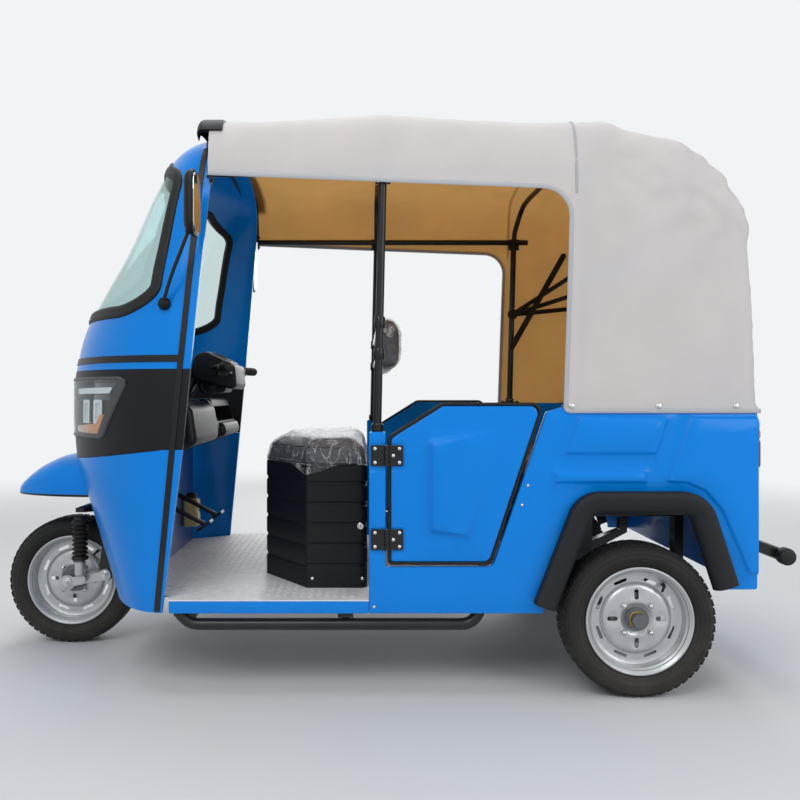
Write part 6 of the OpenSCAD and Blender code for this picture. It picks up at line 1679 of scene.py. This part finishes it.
restFilm = addPiece("restFilm", filmOver(restPart, 0.004, 0.009, (1, 0, 0)), "body",
    looks["clearFilm"], 80)
print("stage: driver's seat")

bench = {"x": (-0.8295, -0.4295), "z": (0.6063, 0.7363), "half": 0.575, "voxel": 0.010, "pressure": 4.0,
    "cap": 0.012, "frames": 14, "smooth": 6, "heldAt": (0, 0, 0.6063), "heldWay": (0, 0, 1),
    "channels": [(1, -0.1917), (1, 0.1917)]}
benchLevels = [(bench["z"][0], 0.006), (bench["z"][0] + 0.010, 0.003), (bench["z"][1] - 0.044, 0.003),
    (bench["z"][1] - 0.022, 0.010), (bench["z"][1] - 0.010, 0.026), (bench["z"][1] - 0.006, 0.050)]
benchRings = []
for z, inset in benchLevels:
    ring = roundBox((bench["x"][0] + inset, -bench["half"] + inset),
        (bench["x"][1] - inset, bench["half"] - inset), 0.030)
    benchRings.append([(x, y, z) for x, y in ring])
benchPart = puffed("benchCushion", stackMesh(benchRings), bench)
benchPart = creased(benchPart, bench["channels"], 0.010, 0.010)
benchCushion = addPiece("benchCushion", benchPart, "body", looks["benchVinyl"], 60,
    ["bench_cushion"])
benchRest = {"foot": (-0.8298, 0.6063), "lean": 24.0, "tall": 0.5856, "t": 0.1005, "half": 0.575,
    "voxel": 0.010, "pressure": 4.0, "cap": 0.010, "frames": 14, "smooth": 6,
    "heldAt": (-0.9398, 0, 0.6063), "heldWay": (0.91355, 0, 0.40674),
    "channels": [(1, -0.1917), (1, 0.1917)]}
lean = math.radians(benchRest["lean"])
leanUp, leanOut = Vector((-math.sin(lean), 0, math.cos(lean))), Vector((math.cos(lean), 0, math.sin(lean)))
restFoot = Vector((benchRest["foot"][0], 0, benchRest["foot"][1])) - leanOut * benchRest["t"]
backLevels = [(0.0005, 0.006), (0.012, 0.003), (benchRest["t"] - 0.040, 0.003),
    (benchRest["t"] - 0.020, 0.010), (benchRest["t"] - 0.010, 0.030), (benchRest["t"] - 0.007, 0.055)]
backRings = []
for d, inset in backLevels:
    ring = roundBox((-benchRest["half"] + inset, inset),
        (benchRest["half"] - inset, benchRest["tall"] - 0.050 - inset), 0.035)
    backRings.append([restFoot + leanOut * d + leanUp * (s + 0.046) + Vector((0, y, 0)) for y, s in ring])
backPart = puffed("benchBackrest", stackMesh(backRings), benchRest)
backPart = creased(backPart, benchRest["channels"], 0.010, 0.010)
benchBackrest = addPiece("benchBackrest", backPart, "body", looks["benchVinyl"], 60,
    ["bench_backrest"])
stitchSpots = []
for y in (-0.1917, 0.1917):
    for s in np.linspace(0.05, 0.95, 46):
        for side in (-0.007, 0.007):
            overSeat = Vector((lerp(bench["x"][0], bench["x"][1], s), y + side, 0.78))
            overRest = restFoot + leanOut * (benchRest["t"] + 0.05) + leanUp * benchRest["tall"] * s
            overRest += Vector((0, y + side, 0))
            for obj, p, along in ((benchCushion, overSeat, (1, 0, 0)), (benchBackrest, overRest, leanUp)):
                hit, spot, out, face = obj.closest_point_on_mesh(p)
                stitchSpots.append((spot, out, along, 1.0))
repeated("benchStitches", stackMesh([[(-0.004, -0.0006, h), (0.004, -0.0006, h), (0.004, 0.0006, h),
                (-0.004, 0.0006, h)] for h in (-0.0004, 0.0006)]), stitchSpots, "body",
    looks["blackTrim"])
print("stage: bench")


# headlamp insides: bright shelf, light blocks, indicator and slanted frame
lampInside = {
    "shelf": [(1.085, 0.960), (0.866, 0.964), (0.852, 0.984), (1.085, 0.980)], "blocks": (0.992, 0.926),
    "blockZ": (0.873, 0.930), "blockHalf": 0.012,
    "indicator": [(1.060, 0.828), (0.892, 0.828), (0.872, 0.893), (0.906, 0.893), (0.926, 0.862),
        (1.060, 0.846)],
    "frame": [(0.9000, 0.823), (0.8825, 0.823), (0.7830, 1.008), (0.8140, 1.008)],
}


def lampShape(corners, r, side, spacing=0.008):
    flat = resampled(roundedPolygon([(aroundOf(x, z), rowOf(z), r) for x, z in corners], 4), spacing)
    return [(side * u, v) for u, v in (flat if side > 0 else flat[::-1])]


shelfParts, blockParts, indicatorParts, frameParts, finParts = [], [], [], [], []
for side in (1, -1):
    shelfParts.append(liftedShell(lampShape(lampInside["shelf"], 0.003, side), [], 0.012, cabLift, 0.012,
            0.026))
    for x in lampInside["blocks"]:
        low, high, half = *lampInside["blockZ"], lampInside["blockHalf"]
        inner = lampShape([(x + half, low), (x - half, low), (x - half, high), (x + half, high)], 0.003, side)
        outer = lampShape([(x + half + 0.010, low - 0.012), (x - half - 0.010, low - 0.012),
                (x - half - 0.010, high + 0.012), (x + half + 0.010, high + 0.012)], 0.004, side)
        blockParts.append(liftedShell(inner, [], 0, cabLift, 0.022, 0.052))
        finParts.append(liftedShell(outer, [inner], 0, cabLift, 0.016, 0.050))
    indicatorParts.append(liftedShell(lampShape(lampInside["indicator"], 0.005, side), [], 0.010, cabLift,
            0.010, 0.030))
    frameParts.append(liftedShell(lampShape(lampInside["frame"], 0.004, side), [], 0.010, cabLift, -0.0048,
            0.001))
addPiece("lampShelves", joined(*shelfParts), "body", looks["reflector"], 35)
addPiece("lampBlocks", joined(*blockParts), "body", looks["whiteLamp"], 35)
addPiece("lampSurrounds", joined(*finParts), "body", looks["reflector"], 35)
addPiece("lampIndicators", joined(*indicatorParts), "body", looks["amberLens"], 35)
addPiece("lampFrames", joined(*frameParts), "body", looks["lampFrame"], 40)
print("stage: headlamps")


# dash with two bins and an open shelf
def softSlab(outline, low, high, r, axis="y", steps=5):
    make = axisPlaces[axis]
    turns = [math.pi / 2 * k / steps for k in range(steps + 1)]
    rings = [(r * (1 - math.sin(t)), low + r * (1 - math.cos(t))) for t in turns]
    rings += [(r * (1 - math.sin(t)), high - r * (1 - math.cos(t))) for t in turns[::-1]]
    return stackMesh([[make(p, h) for p in insetPolygon(outline, inset)] for inset, h in rings])


dash = {
    "face": [(0.5995, 0.816, 0.014), (0.7892, 0.736, 0.004), (0.7892, 0.944, 0.004), (0.6395, 0.944, 0.040)],
    "open": [(0.5995, 0.816, 0.012), (0.7892, 0.736, 0.004), (0.7892, 0.944, 0.004), (0.6395, 0.944, 0.020),
        (0.6289, 0.910, 0.003), (0.7150, 0.910, 0.006), (0.7000, 0.850, 0.006), (0.6101, 0.850, 0.003)],
    "middle": [(0.7000, 0.7736, 0.004), (0.7892, 0.736, 0.004), (0.7892, 0.944, 0.004),
        (0.7000, 0.944, 0.010)],
    "bin": [(0.568, 0.794, 0.030), (0.690, 0.750, 0.024), (0.690, 0.934, 0.024), (0.588, 0.934, 0.044)],
    "lowBin": [(0.576, 0.796, 0.022), (0.690, 0.752, 0.022), (0.690, 0.846, 0.022), (0.588, 0.846, 0.022)],
}
dashParts = [slab(roundedPolygon(dash["face"], 6), 0.0622, 0.5197, 0.003),
    slab(roundedPolygon(dash["face"], 6), -0.5197, -0.5135, 0.002),
    slab(roundedPolygon(dash["face"], 6), -0.1082, -0.0622, 0.002),
    slab(roundedPolygon(dash["open"], 4), -0.5137, -0.1080, 0.001),
    slab(roundedPolygon(dash["middle"], 4), -0.0624, 0.0624, 0.001)]
addPiece("dash", joined(*dashParts), "body", looks["blackPlastic"], 35, ["dash"])
addPiece("dashBins", joined(softSlab(roundedPolygon(dash["bin"], 6), 0.076, 0.506, 0.020),
        softSlab(roundedPolygon(dash["lowBin"], 6), -0.494, -0.124, 0.018)), "body",
    looks["blackPlastic"], 50)
print("stage: dash")


# handlebar: cowl, bars, grips, levers and switches, all turning with the fork
bars = {"foot": (0.587, 0.9977), "tilt": 14.0, "half": 0.125, "root": (0.587, 0.0, 1.0577),
    "tip": (0.497, 0.330, 1.0577), "barR": 0.012, "gripR": 0.017, "gripLen": 0.125, "grooves": 11,
    "cowl": [(-0.095, 0, 0.020), (0.095, 0, 0.040), (0.095, 0.120, 0.040), (-0.0633, 0.090, 0.020)],
    "shroud": [(0.550, 0.968, 0.016), (0.640, 0.962, 0.022), (0.668, 1.020, 0.012), (0.536, 1.004, 0.012)]}
tiltCos, tiltSin = math.cos(math.radians(bars["tilt"])), math.sin(math.radians(bars["tilt"]))


def tilted(points):
    return [(bars["foot"][0] + x * tiltCos - z * tiltSin, bars["foot"][1] + x * tiltSin + z * tiltCos)
        for x, z in points]


def placed(part, origin, ex, ey, ez):
    o, ex, ey, ez = Vector(origin), Vector(ex), Vector(ey), Vector(ez)
    return [tuple(o + ex * p[0] + ey * p[1] + ez * p[2]) for p in part[0]], part[1]


barRoot, barTip = Vector(bars["root"]), Vector(bars["tip"])
barWay = (barTip - barRoot).normalized()
cowlParts = [softSlab(tilted(roundedPolygon(bars["cowl"], 8)), -bars["half"], bars["half"], 0.0105),
    softSlab(roundedPolygon(bars["shroud"], 6), -0.085, 0.085, 0.010)]
cowlParts.append(bothSides(spun([(0.034, -0.004), (0.034, 0.004), (0.031, 0.0065), (0.027, 0.0050),
                (0.022, 0.0065), (0.0005, 0.0085)], (0.606, 0.084, 0.994), (0, 1, 0), 40)))
addPiece("barCowl", joined(*cowlParts), "steering", looks["blackPlastic"], 45, ["handlebar"])
addPiece("barTubes", bothSides(tubeMesh([barRoot + barWay * 0.02, barTip], bars["barR"], 20)), "steering",
    looks["blackSteel"], 40)
gripEnd = bars["gripLen"] + bars["gripR"]
gripProfile = [(0.0126, 0.0), (bars["gripR"] + 0.003, 0.0), (bars["gripR"] + 0.003, 0.005),
    (bars["gripR"] - 0.001, 0.007)]
for k in range(bars["grooves"]):
    s = lerp(0.012, gripEnd - 0.020, k / bars["grooves"])
    gripProfile += [(bars["gripR"] - 0.0018, s), (bars["gripR"], s + 0.0022), (bars["gripR"], s + 0.0066),
        (bars["gripR"] - 0.0018, s + 0.0086)]
gripProfile += [(bars["gripR"], gripEnd - 0.010), (bars["gripR"] - 0.002, gripEnd - 0.004),
    (0.009, gripEnd), (0.0005, gripEnd)]
addPiece("barGrips", bothSides(spun(gripProfile, barTip - barWay * bars["gripLen"], barWay, 28)),
    "steering", looks["blackRubber"], 40, ["handlebar_grips"])
clusterAt = barRoot + barWay * 0.185
clusterSide = Vector((barWay.y, -barWay.x, 0))
cluster = joined(spun([(0.013, -0.026), (0.020, -0.024), (0.0215, -0.018), (0.0215, 0.018), (0.020, 0.024),
            (0.013, 0.026)], clusterAt, barWay, 28),
    placed(softSlab(roundBox((-0.026, -0.020), (0.016, 0.018), 0.008), -0.020, 0.020, 0.006, "z"),
        clusterAt + Vector((0, 0, -0.010)), -clusterSide, barWay, (0, 0, 1)))
addPiece("switchBoxes", bothSides(cluster), "steering", looks["blackTrim"], 40)
button = spun([(0.0055, 0), (0.0055, 0.004), (0.0040, 0.0055), (0.0005, 0.006)],
    clusterAt - clusterSide * 0.026, -clusterSide, 20)
addPiece("switchButtons", bothSides(button), "steering", looks["redButton"], 40)
toggles = []
for s in (-0.010, 0.010):
    spot = clusterAt - clusterSide * 0.028 + barWay * s
    toggles.append(boxMesh(tuple(spot + Vector((-0.004, -0.004, -0.020))),
            tuple(spot + Vector((0.004, 0.004, -0.013))), 0.001))
addPiece("switchToggles", bothSides(joined(*toggles)), "steering", looks["greyPlastic"], 40)
leverRun = bentPath([clusterAt + clusterSide * 0.014, clusterAt + clusterSide * 0.046 + barWay * 0.020,
        clusterAt + clusterSide * 0.040 + barWay * 0.080, barTip + clusterSide * 0.036 - barWay * 0.004],
    0.020)
addPiece("brakeLevers", bothSides(joined(tubeMesh(leverRun, 0.0050, 12),
            spun([(0.0005, -0.0075), (0.005, -0.006), (0.0075, 0), (0.005, 0.006), (0.0005, 0.0075)],
                leverRun[-1], barWay, 16))), "steering", looks["blackSteel"], 50)
topFront, topBack = (Vector((p[0], 0, p[1])) for p in tilted([(0.095, 0.120), (-0.0633, 0.090)]))
faceWay = (topBack - topFront).normalized()
faceOut = Vector((faceWay.z, 0, -faceWay.x))
faceOut = faceOut if faceOut.z > 0 else -faceOut
dialPlate = slab(roundBox((0.036, -0.100), (0.138, 0.100), 0.018), -0.002, 0.0045, 0.0015, "z")
addPiece("dialPlate", placed(dialPlate, topFront, faceWay, (0, 1, 0), faceOut), "steering",
    looks["greyPlastic"], 40)
dials = [spun([(0.034, 0.003), (0.034, 0.0075), (0.031, 0.0085), (0.0290, 0.0062), (0.0005, 0.0062)],
        topFront + faceWay * 0.086 + Vector((0, y, 0)), faceOut, 40) for y in (0.048, -0.048)]
addPiece("dialRims", joined(*dials), "steering", looks["blackTrim"], 40)
needles = [placed(boxMesh((-0.002, -0.0012, 0.0068), (0.024, 0.0012, 0.0080)),
        topFront + faceWay * 0.086 + Vector((0, y, 0)), faceWay * math.cos(a) + Vector((0, math.sin(a), 0)),
        Vector((0, math.cos(a), 0)) - faceWay * math.sin(a), faceOut)
    for y, a in ((0.048, 0.7), (-0.048, 0.4))]
addPiece("dialNeedles", joined(*needles), "steering", looks["redButton"], 40)
tickSpots = []
for y in (0.048, -0.048):
    for k in range(13):
        a = math.radians(-140 + 280 * k / 12) + math.pi
        way = faceWay * math.cos(a) + Vector((0, math.sin(a), 0))
        tickSpots.append((topFront + faceWay * 0.086 + Vector((0, y, 0)) + way * 0.0245 + faceOut * 0.0062,
                faceOut, way, 1.0))
repeated("dialTicks", stackMesh([[(-0.0025, -0.0005, h), (0.0025, -0.0005, h), (0.0025, 0.0005, h),
                (-0.0025, 0.0005, h)] for h in (0.0, 0.0005)]), tickSpots, "steering",
    looks["whiteLamp"])
print("stage: handlebar")

# brake fluid bottle
bottle = {"x": (0.7232, 0.7892), "y": (-0.333, -0.267),
    "levels": [(0.3950, 0.005), (0.3980, 0.001), (0.4010, 0), (0.4490, 0), (0.4540, 0.004),
        (0.4600, 0.0055), (0.4660, 0.004), (0.4710, 0), (0.5030, 0), (0.5100, 0.003), (0.5145, 0.010),
        (0.5150, 0.014)], "r": 0.016, "cap": 0.022}
bottlePlan = roundBox((bottle["x"][0], bottle["y"][0]), (bottle["x"][1], bottle["y"][1]), bottle["r"])
bottleRings = [[(x, y, z) for x, y in insetPolygon(bottlePlan, inset)] for z, inset in bottle["levels"]]
addPiece("fluidBottle", stackMesh(bottleRings), "body", looks["amberPlastic"], 40,
    ["brake_fluid_bottle"])
capRings = []
for z, inset in ((0.5150, 0.0), (0.5335, 0.0), (0.5370, 0.004)):
    ring = []
    for k in range(64):  # fine grip ribs round the cap
        a, r = 2 * math.pi * k / 64, bottle["cap"] - inset - (0.0009 if k % 4 < 2 else 0)
        ring.append((0.7562 + r * math.cos(a), -0.300 + r * math.sin(a), z))
    capRings.append(ring)
addPiece("bottleCap", stackMesh(capRings), "body", looks["blackTrim"], 40)
print("stage: bottle")


# front shocks with bellows, and the links that carry the axle
shocks = {"foot": (1.0825, 0.140, 0.2745), "top": (1.0805, 0.140, 0.5045), "bellows": 7}
shockFoot, shockTop = Vector(shocks["foot"]), Vector(shocks["top"])
shockWay = shockTop - shockFoot
shockTall = shockWay.length
lowBody = [(0.0130, 0.004), (0.0180, 0.008), (0.0200, 0.014), (0.0200, 0.058), (0.0165, 0.062),
    (0.0165, 0.070)]
addPiece("shockBodies", bothSides(spun(lowBody, shockFoot, shockWay, 28)), "steering",
    looks["silverPaint"], 40, ["front_shocks"])
cupProfile = [(0.0150, 0.066), (0.0290, 0.066), (0.0310, 0.069), (0.0310, 0.075), (0.0290, 0.078),
    (0.0200, 0.079)]
for k in range(shocks["bellows"]):
    s = lerp(0.083, 0.196, k / shocks["bellows"])
    cupProfile += [(0.0205, s), (0.0270, s + 0.0036), (0.0300, s + 0.0070), (0.0270, s + 0.0110),
        (0.0205, s + 0.0146)]
cupProfile += [(0.0200, 0.198), (0.0290, 0.199), (0.0310, 0.202), (0.0310, 0.209), (0.0280, 0.212),
    (0.0220, 0.216), (0.0200, 0.226), (0.0150, 0.2295), (0.0005, shockTall)]
addPiece("shockBellows", bothSides(spun(cupProfile, shockFoot, shockWay, 32)), "steering",
    looks["blackRubber"], 40)

links = {"pivot": (1.0005, 0.273), "axle": (1.1445, 0.243), "w": 0.034, "ends": (0.023, 0.029),
    "y": (0.0963, 0.1083), "axleR": 0.010, "pin": (1.0825, 0.265), "pinR": 0.009}
linkA, linkB = Vector(links["pivot"]), Vector(links["axle"])
linkWay = (linkB - linkA).normalized()
linkUp = Vector((-linkWay.y, linkWay.x))
linkOutline = []
for centre, r, sign in ((linkB, links["ends"][1], 1), (linkA, links["ends"][0], -1)):
    reach = math.asin(links["w"] / 2 / r)
    for k in range(21):
        t = lerp(-(math.pi - reach), math.pi - reach, k / 20)
        linkOutline.append(tuple(centre + (linkWay * math.cos(t) * sign + linkUp * math.sin(t) * sign) * r))
linkParts = [slab(linkOutline, links["y"][0], links["y"][1], 0.0018)]
for spot, r, tall in ((linkA, 0.0165, 0.004), (linkB, 0.021, 0.005)):
    linkParts.append(spun([(r, -0.001), (r, tall - 0.001), (r - 0.0015, tall), (0.0005, tall)],
            (spot.x, links["y"][1], spot.y), (0, 1, 0), 28))
linkParts.append(spun([(links["pinR"], 0.0), (links["pinR"], 0.0315), (0.0005, 0.0317)],
        (links["pin"][0], links["y"][1], links["pin"][1]), (0, 1, 0), 20))
linkParts.append(spun([(0.0170, 0.016), (0.0185, 0.018), (0.0185, 0.030), (0.0005, 0.0317)],
        (links["pin"][0], links["y"][1], links["pin"][1] - 0.001), (0, 1, 0), 24))
addPiece("forkLinks", joined(bothSides(joined(*linkParts)),
        tubeMesh([(linkB.x, -links["y"][1], linkB.y), (linkB.x, links["y"][1], linkB.y)], links["axleR"],
            24)), "steering", looks["silverPaint"], 35, ["fork_links"])
repeated("linkBolts", hexBolt(0.0105, 0.009),
    studsOnBothSides([(linkA.x, links["y"][1] + 0.004, linkA.y),
            (linkB.x, links["y"][1] + 0.005, linkB.y)]), "steering", looks["brightSteel"])
print("stage: front links")

# mirrors on their stalks
mirrorSet = {"root": (0.65498, 0.57924, 1.2508), "out": (0.240, 0.971, 0.0),
    "joint": (0.5515, 0.674, 1.4841), "y": 0.674, "z": 1.5508, "w": 0.060, "h": 0.100, "r": 0.040}


def mirrorOutline(inset):
    return roundBox((mirrorSet["y"] - mirrorSet["w"] + inset, mirrorSet["z"] - mirrorSet["h"] + inset),
        (mirrorSet["y"] + mirrorSet["w"] - inset, mirrorSet["z"] + mirrorSet["h"] - inset),
        mirrorSet["r"] - inset * 0.8, 8)


headLevels = [(0.5345, 0.003), (0.5352, 0.0008), (0.5370, 0), (0.5440, 0), (0.5530, 0.003), (0.5600, 0.009),
    (0.5650, 0.018), (0.5680, 0.030), (0.5685, 0.036)]
stalkFoot, stalkTop = Vector(mirrorSet["root"]) + Vector(mirrorSet["out"]) * 0.013, Vector(mirrorSet["joint"])
mirrorParts = [stackMesh([[(x, y, z) for y, z in mirrorOutline(inset)] for x, inset in headLevels]),
    spun([(0.0208, 0.0), (0.0208, 0.008), (0.0185, 0.013), (0.0150, 0.018), (0.0110, 0.0245),
            (0.0005, 0.026)], mirrorSet["root"], mirrorSet["out"], 28),
    spun([(0.0110, -0.014), (0.0110, 0.010), (0.0085, 0.018)],
        stalkTop - (stalkTop - stalkFoot).normalized() * 0.012, stalkTop - stalkFoot, 20)]
addPiece("mirrorHeads", bothSides(joined(*mirrorParts)), "body", looks["blackPlastic"], 45,
    ["mirrors"])
stalkRun = bentPath([stalkFoot, stalkFoot.lerp(stalkTop, 0.35) + Vector((0.004, 0.006, 0)), stalkTop], 0.06)
addPiece("mirrorStalks", bothSides(tubeMesh(stalkRun, 0.0060, 16)), "body",
    looks["blackSteel"], 45)
addPiece("mirrorFaces", bothSides(slab(mirrorOutline(0.0085), 0.5312, 0.5342, 0.0008, "x")), "body",
    looks["mirrorFace"], 30, ["mirror_glasses"])
print("stage: mirrors")

# rear bumper, step bars and tail lamps
bumper = {"x": -1.3595, "z": 0.432, "half": 0.560, "r": 0.021, "arm": (0.490, 0.520), "tailX": -1.2338,
    "rise": 0.046, "tall": 0.036}
bumperBar = tubeMesh([(bumper["x"], -0.530, bumper["z"]), (bumper["x"], 0.530, bumper["z"])], bumper["r"], 28)
bumperArm = slab([(bumper["x"], bumper["z"] - bumper["tall"] / 2),
        (bumper["tailX"], bumper["z"] + bumper["rise"] - bumper["tall"] / 2),
        (bumper["tailX"], bumper["z"] + bumper["rise"] + bumper["tall"] / 2),
        (bumper["x"], bumper["z"] + bumper["tall"] / 2)], bumper["arm"][0], bumper["arm"][1], 0.003)
addPiece("rearBumper", joined(bumperBar, bothSides(bumperArm)), "body", looks["blackSteel"],
    35, ["rear_bumper"])
bumperCap = spun([(0.0215, -0.040), (0.0255, -0.040), (0.0280, -0.036), (0.0280, -0.010), (0.0255, -0.004),
        (0.0180, 0.0), (0.0005, 0.0)], (bumper["x"], bumper["half"], bumper["z"]), (0, 1, 0), 32)
addPiece("bumperCaps", bothSides(bumperCap), "body", looks["blackRubber"], 40)
steps = {"y": 0.5751, "z": 0.222, "r": 0.019, "brackets": (0.5795, 0.0755), "half": 0.0125}
stepPath = bentPath([Vector((x, steps["y"], z))
        for x, z in ((-0.3705, 0.298), (-0.3350, steps["z"]), (0.5750, steps["z"]), (0.6155, 0.266))],
    0.045)
stepParts = [tubeMesh(stepPath, steps["r"], 24)]
for x in steps["brackets"]:
    stepParts += [boxMesh((x - steps["half"], 0.5381, 0.2125), (x + steps["half"], 0.5565, 0.2437), 0.002),
        boxMesh((x - steps["half"], 0.5381, 0.2125), (x + steps["half"], steps["y"], 0.2315), 0.002)]
addPiece("stepBars", bothSides(joined(*stepParts)), "body", looks["blackSteel"], 35,
    ["step_bars"])
tailLamp = {"y": (0.492, 0.588), "z": (0.720, 0.885), "r": 0.020}


def tailOutline(inset):
    return roundBox((tailLamp["y"][0] + inset, tailLamp["z"][0] + inset),
        (tailLamp["y"][1] - inset, tailLamp["z"][1] - inset), max(tailLamp["r"] - inset * 0.7, 0.006))


housingLevels = [(-1.2500, 0.004), (-1.2490, 0.001), (-1.2480, 0), (-1.2338, 0)]
housing = stackMesh([[(x, y, z) for y, z in tailOutline(inset)] for x, inset in housingLevels])
addPiece("tailHousings", bothSides(housing), "body", looks["blackPlastic"], 35,
    ["tail_lamps"])
for label, low, high, look in (("tailRed", 0.7245, 0.8150, "redLens"),
        ("tailAmber", 0.8170, 0.8490, "amberLens"), ("tailClear", 0.8510, 0.8805, "whiteLamp")):
    rings = []
    for x, inset in ((-1.2496, 0.0), (-1.2540, 0.0006), (-1.2566, 0.0030), (-1.2578, 0.0090)):
        rings.append([(x, y, z) for y, z in roundBox((tailLamp["y"][0] + 0.0045 + inset, low + inset),
                    (tailLamp["y"][1] - 0.0045 - inset, high - inset), 0.009 - inset * 0.5)])
    addPiece(label, bothSides(stackMesh(rings)), "body", looks[look], 35)
print("stage: fittings")


# studio
studio = {"floorColour": "#D9DBDD", "backColour": "#F1F3F4", "keyPower": 105.0, "fillPower": 60.0,
    "topPower": 110.0, "backPower": 70.0, "world": 0.42, "near": 2.6, "far": 7.5}
floorMesh = bpy.data.meshes.new("floor")
floorMesh.from_pydata([(-40, -40, 0), (40, -40, 0), (40, 40, 0), (-40, 40, 0)], [], [(0, 1, 2, 3)])
floor = bpy.data.objects.new("floor", floorMesh)
floorLook = surface("studioFloor", studio["floorColour"], rough=0.7, grain=(0.6, 0.02), bump=0.0, dust=0.0)
floorNodes, floorLink = floorLook.node_tree.nodes, floorLook.node_tree.links.new
floorWhere, floorReach = floorNodes.new("ShaderNodeTexCoord"), floorNodes.new("ShaderNodeVectorMath")
floorFade = floorNodes.new("ShaderNodeMapRange")
floorGlow, floorMix = floorNodes.new("ShaderNodeEmission"), floorNodes.new("ShaderNodeMixShader")
floorReach.operation = "LENGTH"
floorFade.interpolation_type = "SMOOTHSTEP"
floorFade.inputs["From Min"].default_value = studio["near"]
floorFade.inputs["From Max"].default_value = studio["far"]
floorGlow.inputs["Color"].default_value = (*toLinear(studio["backColour"]), 1)
floorLink(floorWhere.outputs["Object"], floorReach.inputs[0])
floorLink(floorReach.outputs["Value"], floorFade.inputs["Value"])
floorRays, floorSeen = floorNodes.new("ShaderNodeLightPath"), floorNodes.new("ShaderNodeMath")
floorSeen.operation = "MULTIPLY"
floorLink(floorFade.outputs["Result"], floorSeen.inputs[0])
floorShown, floorClear = floorNodes.new("ShaderNodeMath"), floorNodes.new("ShaderNodeMath")
floorShown.operation = floorClear.operation = "MAXIMUM"
floorLink(floorRays.outputs["Is Camera Ray"], floorShown.inputs[0])
floorLink(floorRays.outputs["Is Glossy Ray"], floorShown.inputs[1])
floorLink(floorShown.outputs[0], floorClear.inputs[0])
floorLink(floorRays.outputs["Is Transmission Ray"], floorClear.inputs[1])
floorLink(floorClear.outputs[0], floorSeen.inputs[1])
floorLink(floorSeen.outputs[0], floorMix.inputs["Fac"])
floorLink(floorNodes["Principled BSDF"].outputs[0], floorMix.inputs[1])
floorLink(floorGlow.outputs[0], floorMix.inputs[2])
floorLink(floorMix.outputs[0], floorNodes["Material Output"].inputs["Surface"])
floorMesh.materials.append(floorLook)
bpy.context.scene.collection.objects.link(floor)
world = bpy.data.worlds.new("studio")
bpy.context.scene.world = world
world.use_nodes = True
worldNodes, worldLink = world.node_tree.nodes, world.node_tree.links.new
rays, strength = worldNodes.new("ShaderNodeLightPath"), worldNodes.new("ShaderNodeMapRange")
worldShown, worldClear = worldNodes.new("ShaderNodeMath"), worldNodes.new("ShaderNodeMath")
worldShown.operation = worldClear.operation = "MAXIMUM"
worldLink(rays.outputs["Is Camera Ray"], worldShown.inputs[0])
worldLink(rays.outputs["Is Glossy Ray"], worldShown.inputs[1])
worldLink(worldShown.outputs[0], worldClear.inputs[0])
worldLink(rays.outputs["Is Transmission Ray"], worldClear.inputs[1])
worldLink(worldClear.outputs[0], strength.inputs["Value"])
strength.inputs["To Min"].default_value, strength.inputs["To Max"].default_value = studio["world"], 1.0
worldLink(strength.outputs["Result"], worldNodes["Background"].inputs["Strength"])
worldNodes["Background"].inputs["Color"].default_value = (*toLinear(studio["backColour"]), 1)
for label, spot, aim, size, power in [
        ("keyLight", (1.6, 4.2, 4.2), (0.0, 0.3, 0.9), 3.0, studio["keyPower"]),
        ("fillLight", (-3.6, 3.4, 2.4), (-0.4, 0.4, 0.8), 2.6, studio["fillPower"]),
        ("topLight", (0.0, -0.4, 5.2), (0.0, 0.0, 0.9), 4.0, studio["topPower"]),
        ("backLight", (-0.6, -4.4, 2.6), (-0.2, 0.0, 1.0), 3.0, studio["backPower"])]:
    data = bpy.data.lights.new(label, "AREA")
    data.size, data.energy = size, power
    light = bpy.data.objects.new(label, data)
    light.location = spot
    light.rotation_euler = (Vector(aim) - Vector(spot)).to_track_quat("-Z", "Y").to_euler()
    bpy.context.scene.collection.objects.link(light)
camData = bpy.data.cameras.new("camera")
camData.sensor_width, camData.lens = 36.0, 36.05
camData.shift_x, camData.shift_y = 0.04625, -0.00625
camData.dof.use_dof = False
camera = bpy.data.objects.new("camera", camData)
camera.location = (0.019, 3.150, 0.958)
camera.rotation_euler = (math.radians(90), 0, math.radians(180))
bpy.context.scene.collection.objects.link(camera)
bpy.context.scene.camera = camera
bpy.context.scene.view_settings.view_transform = "Standard"
print("stage: studio")
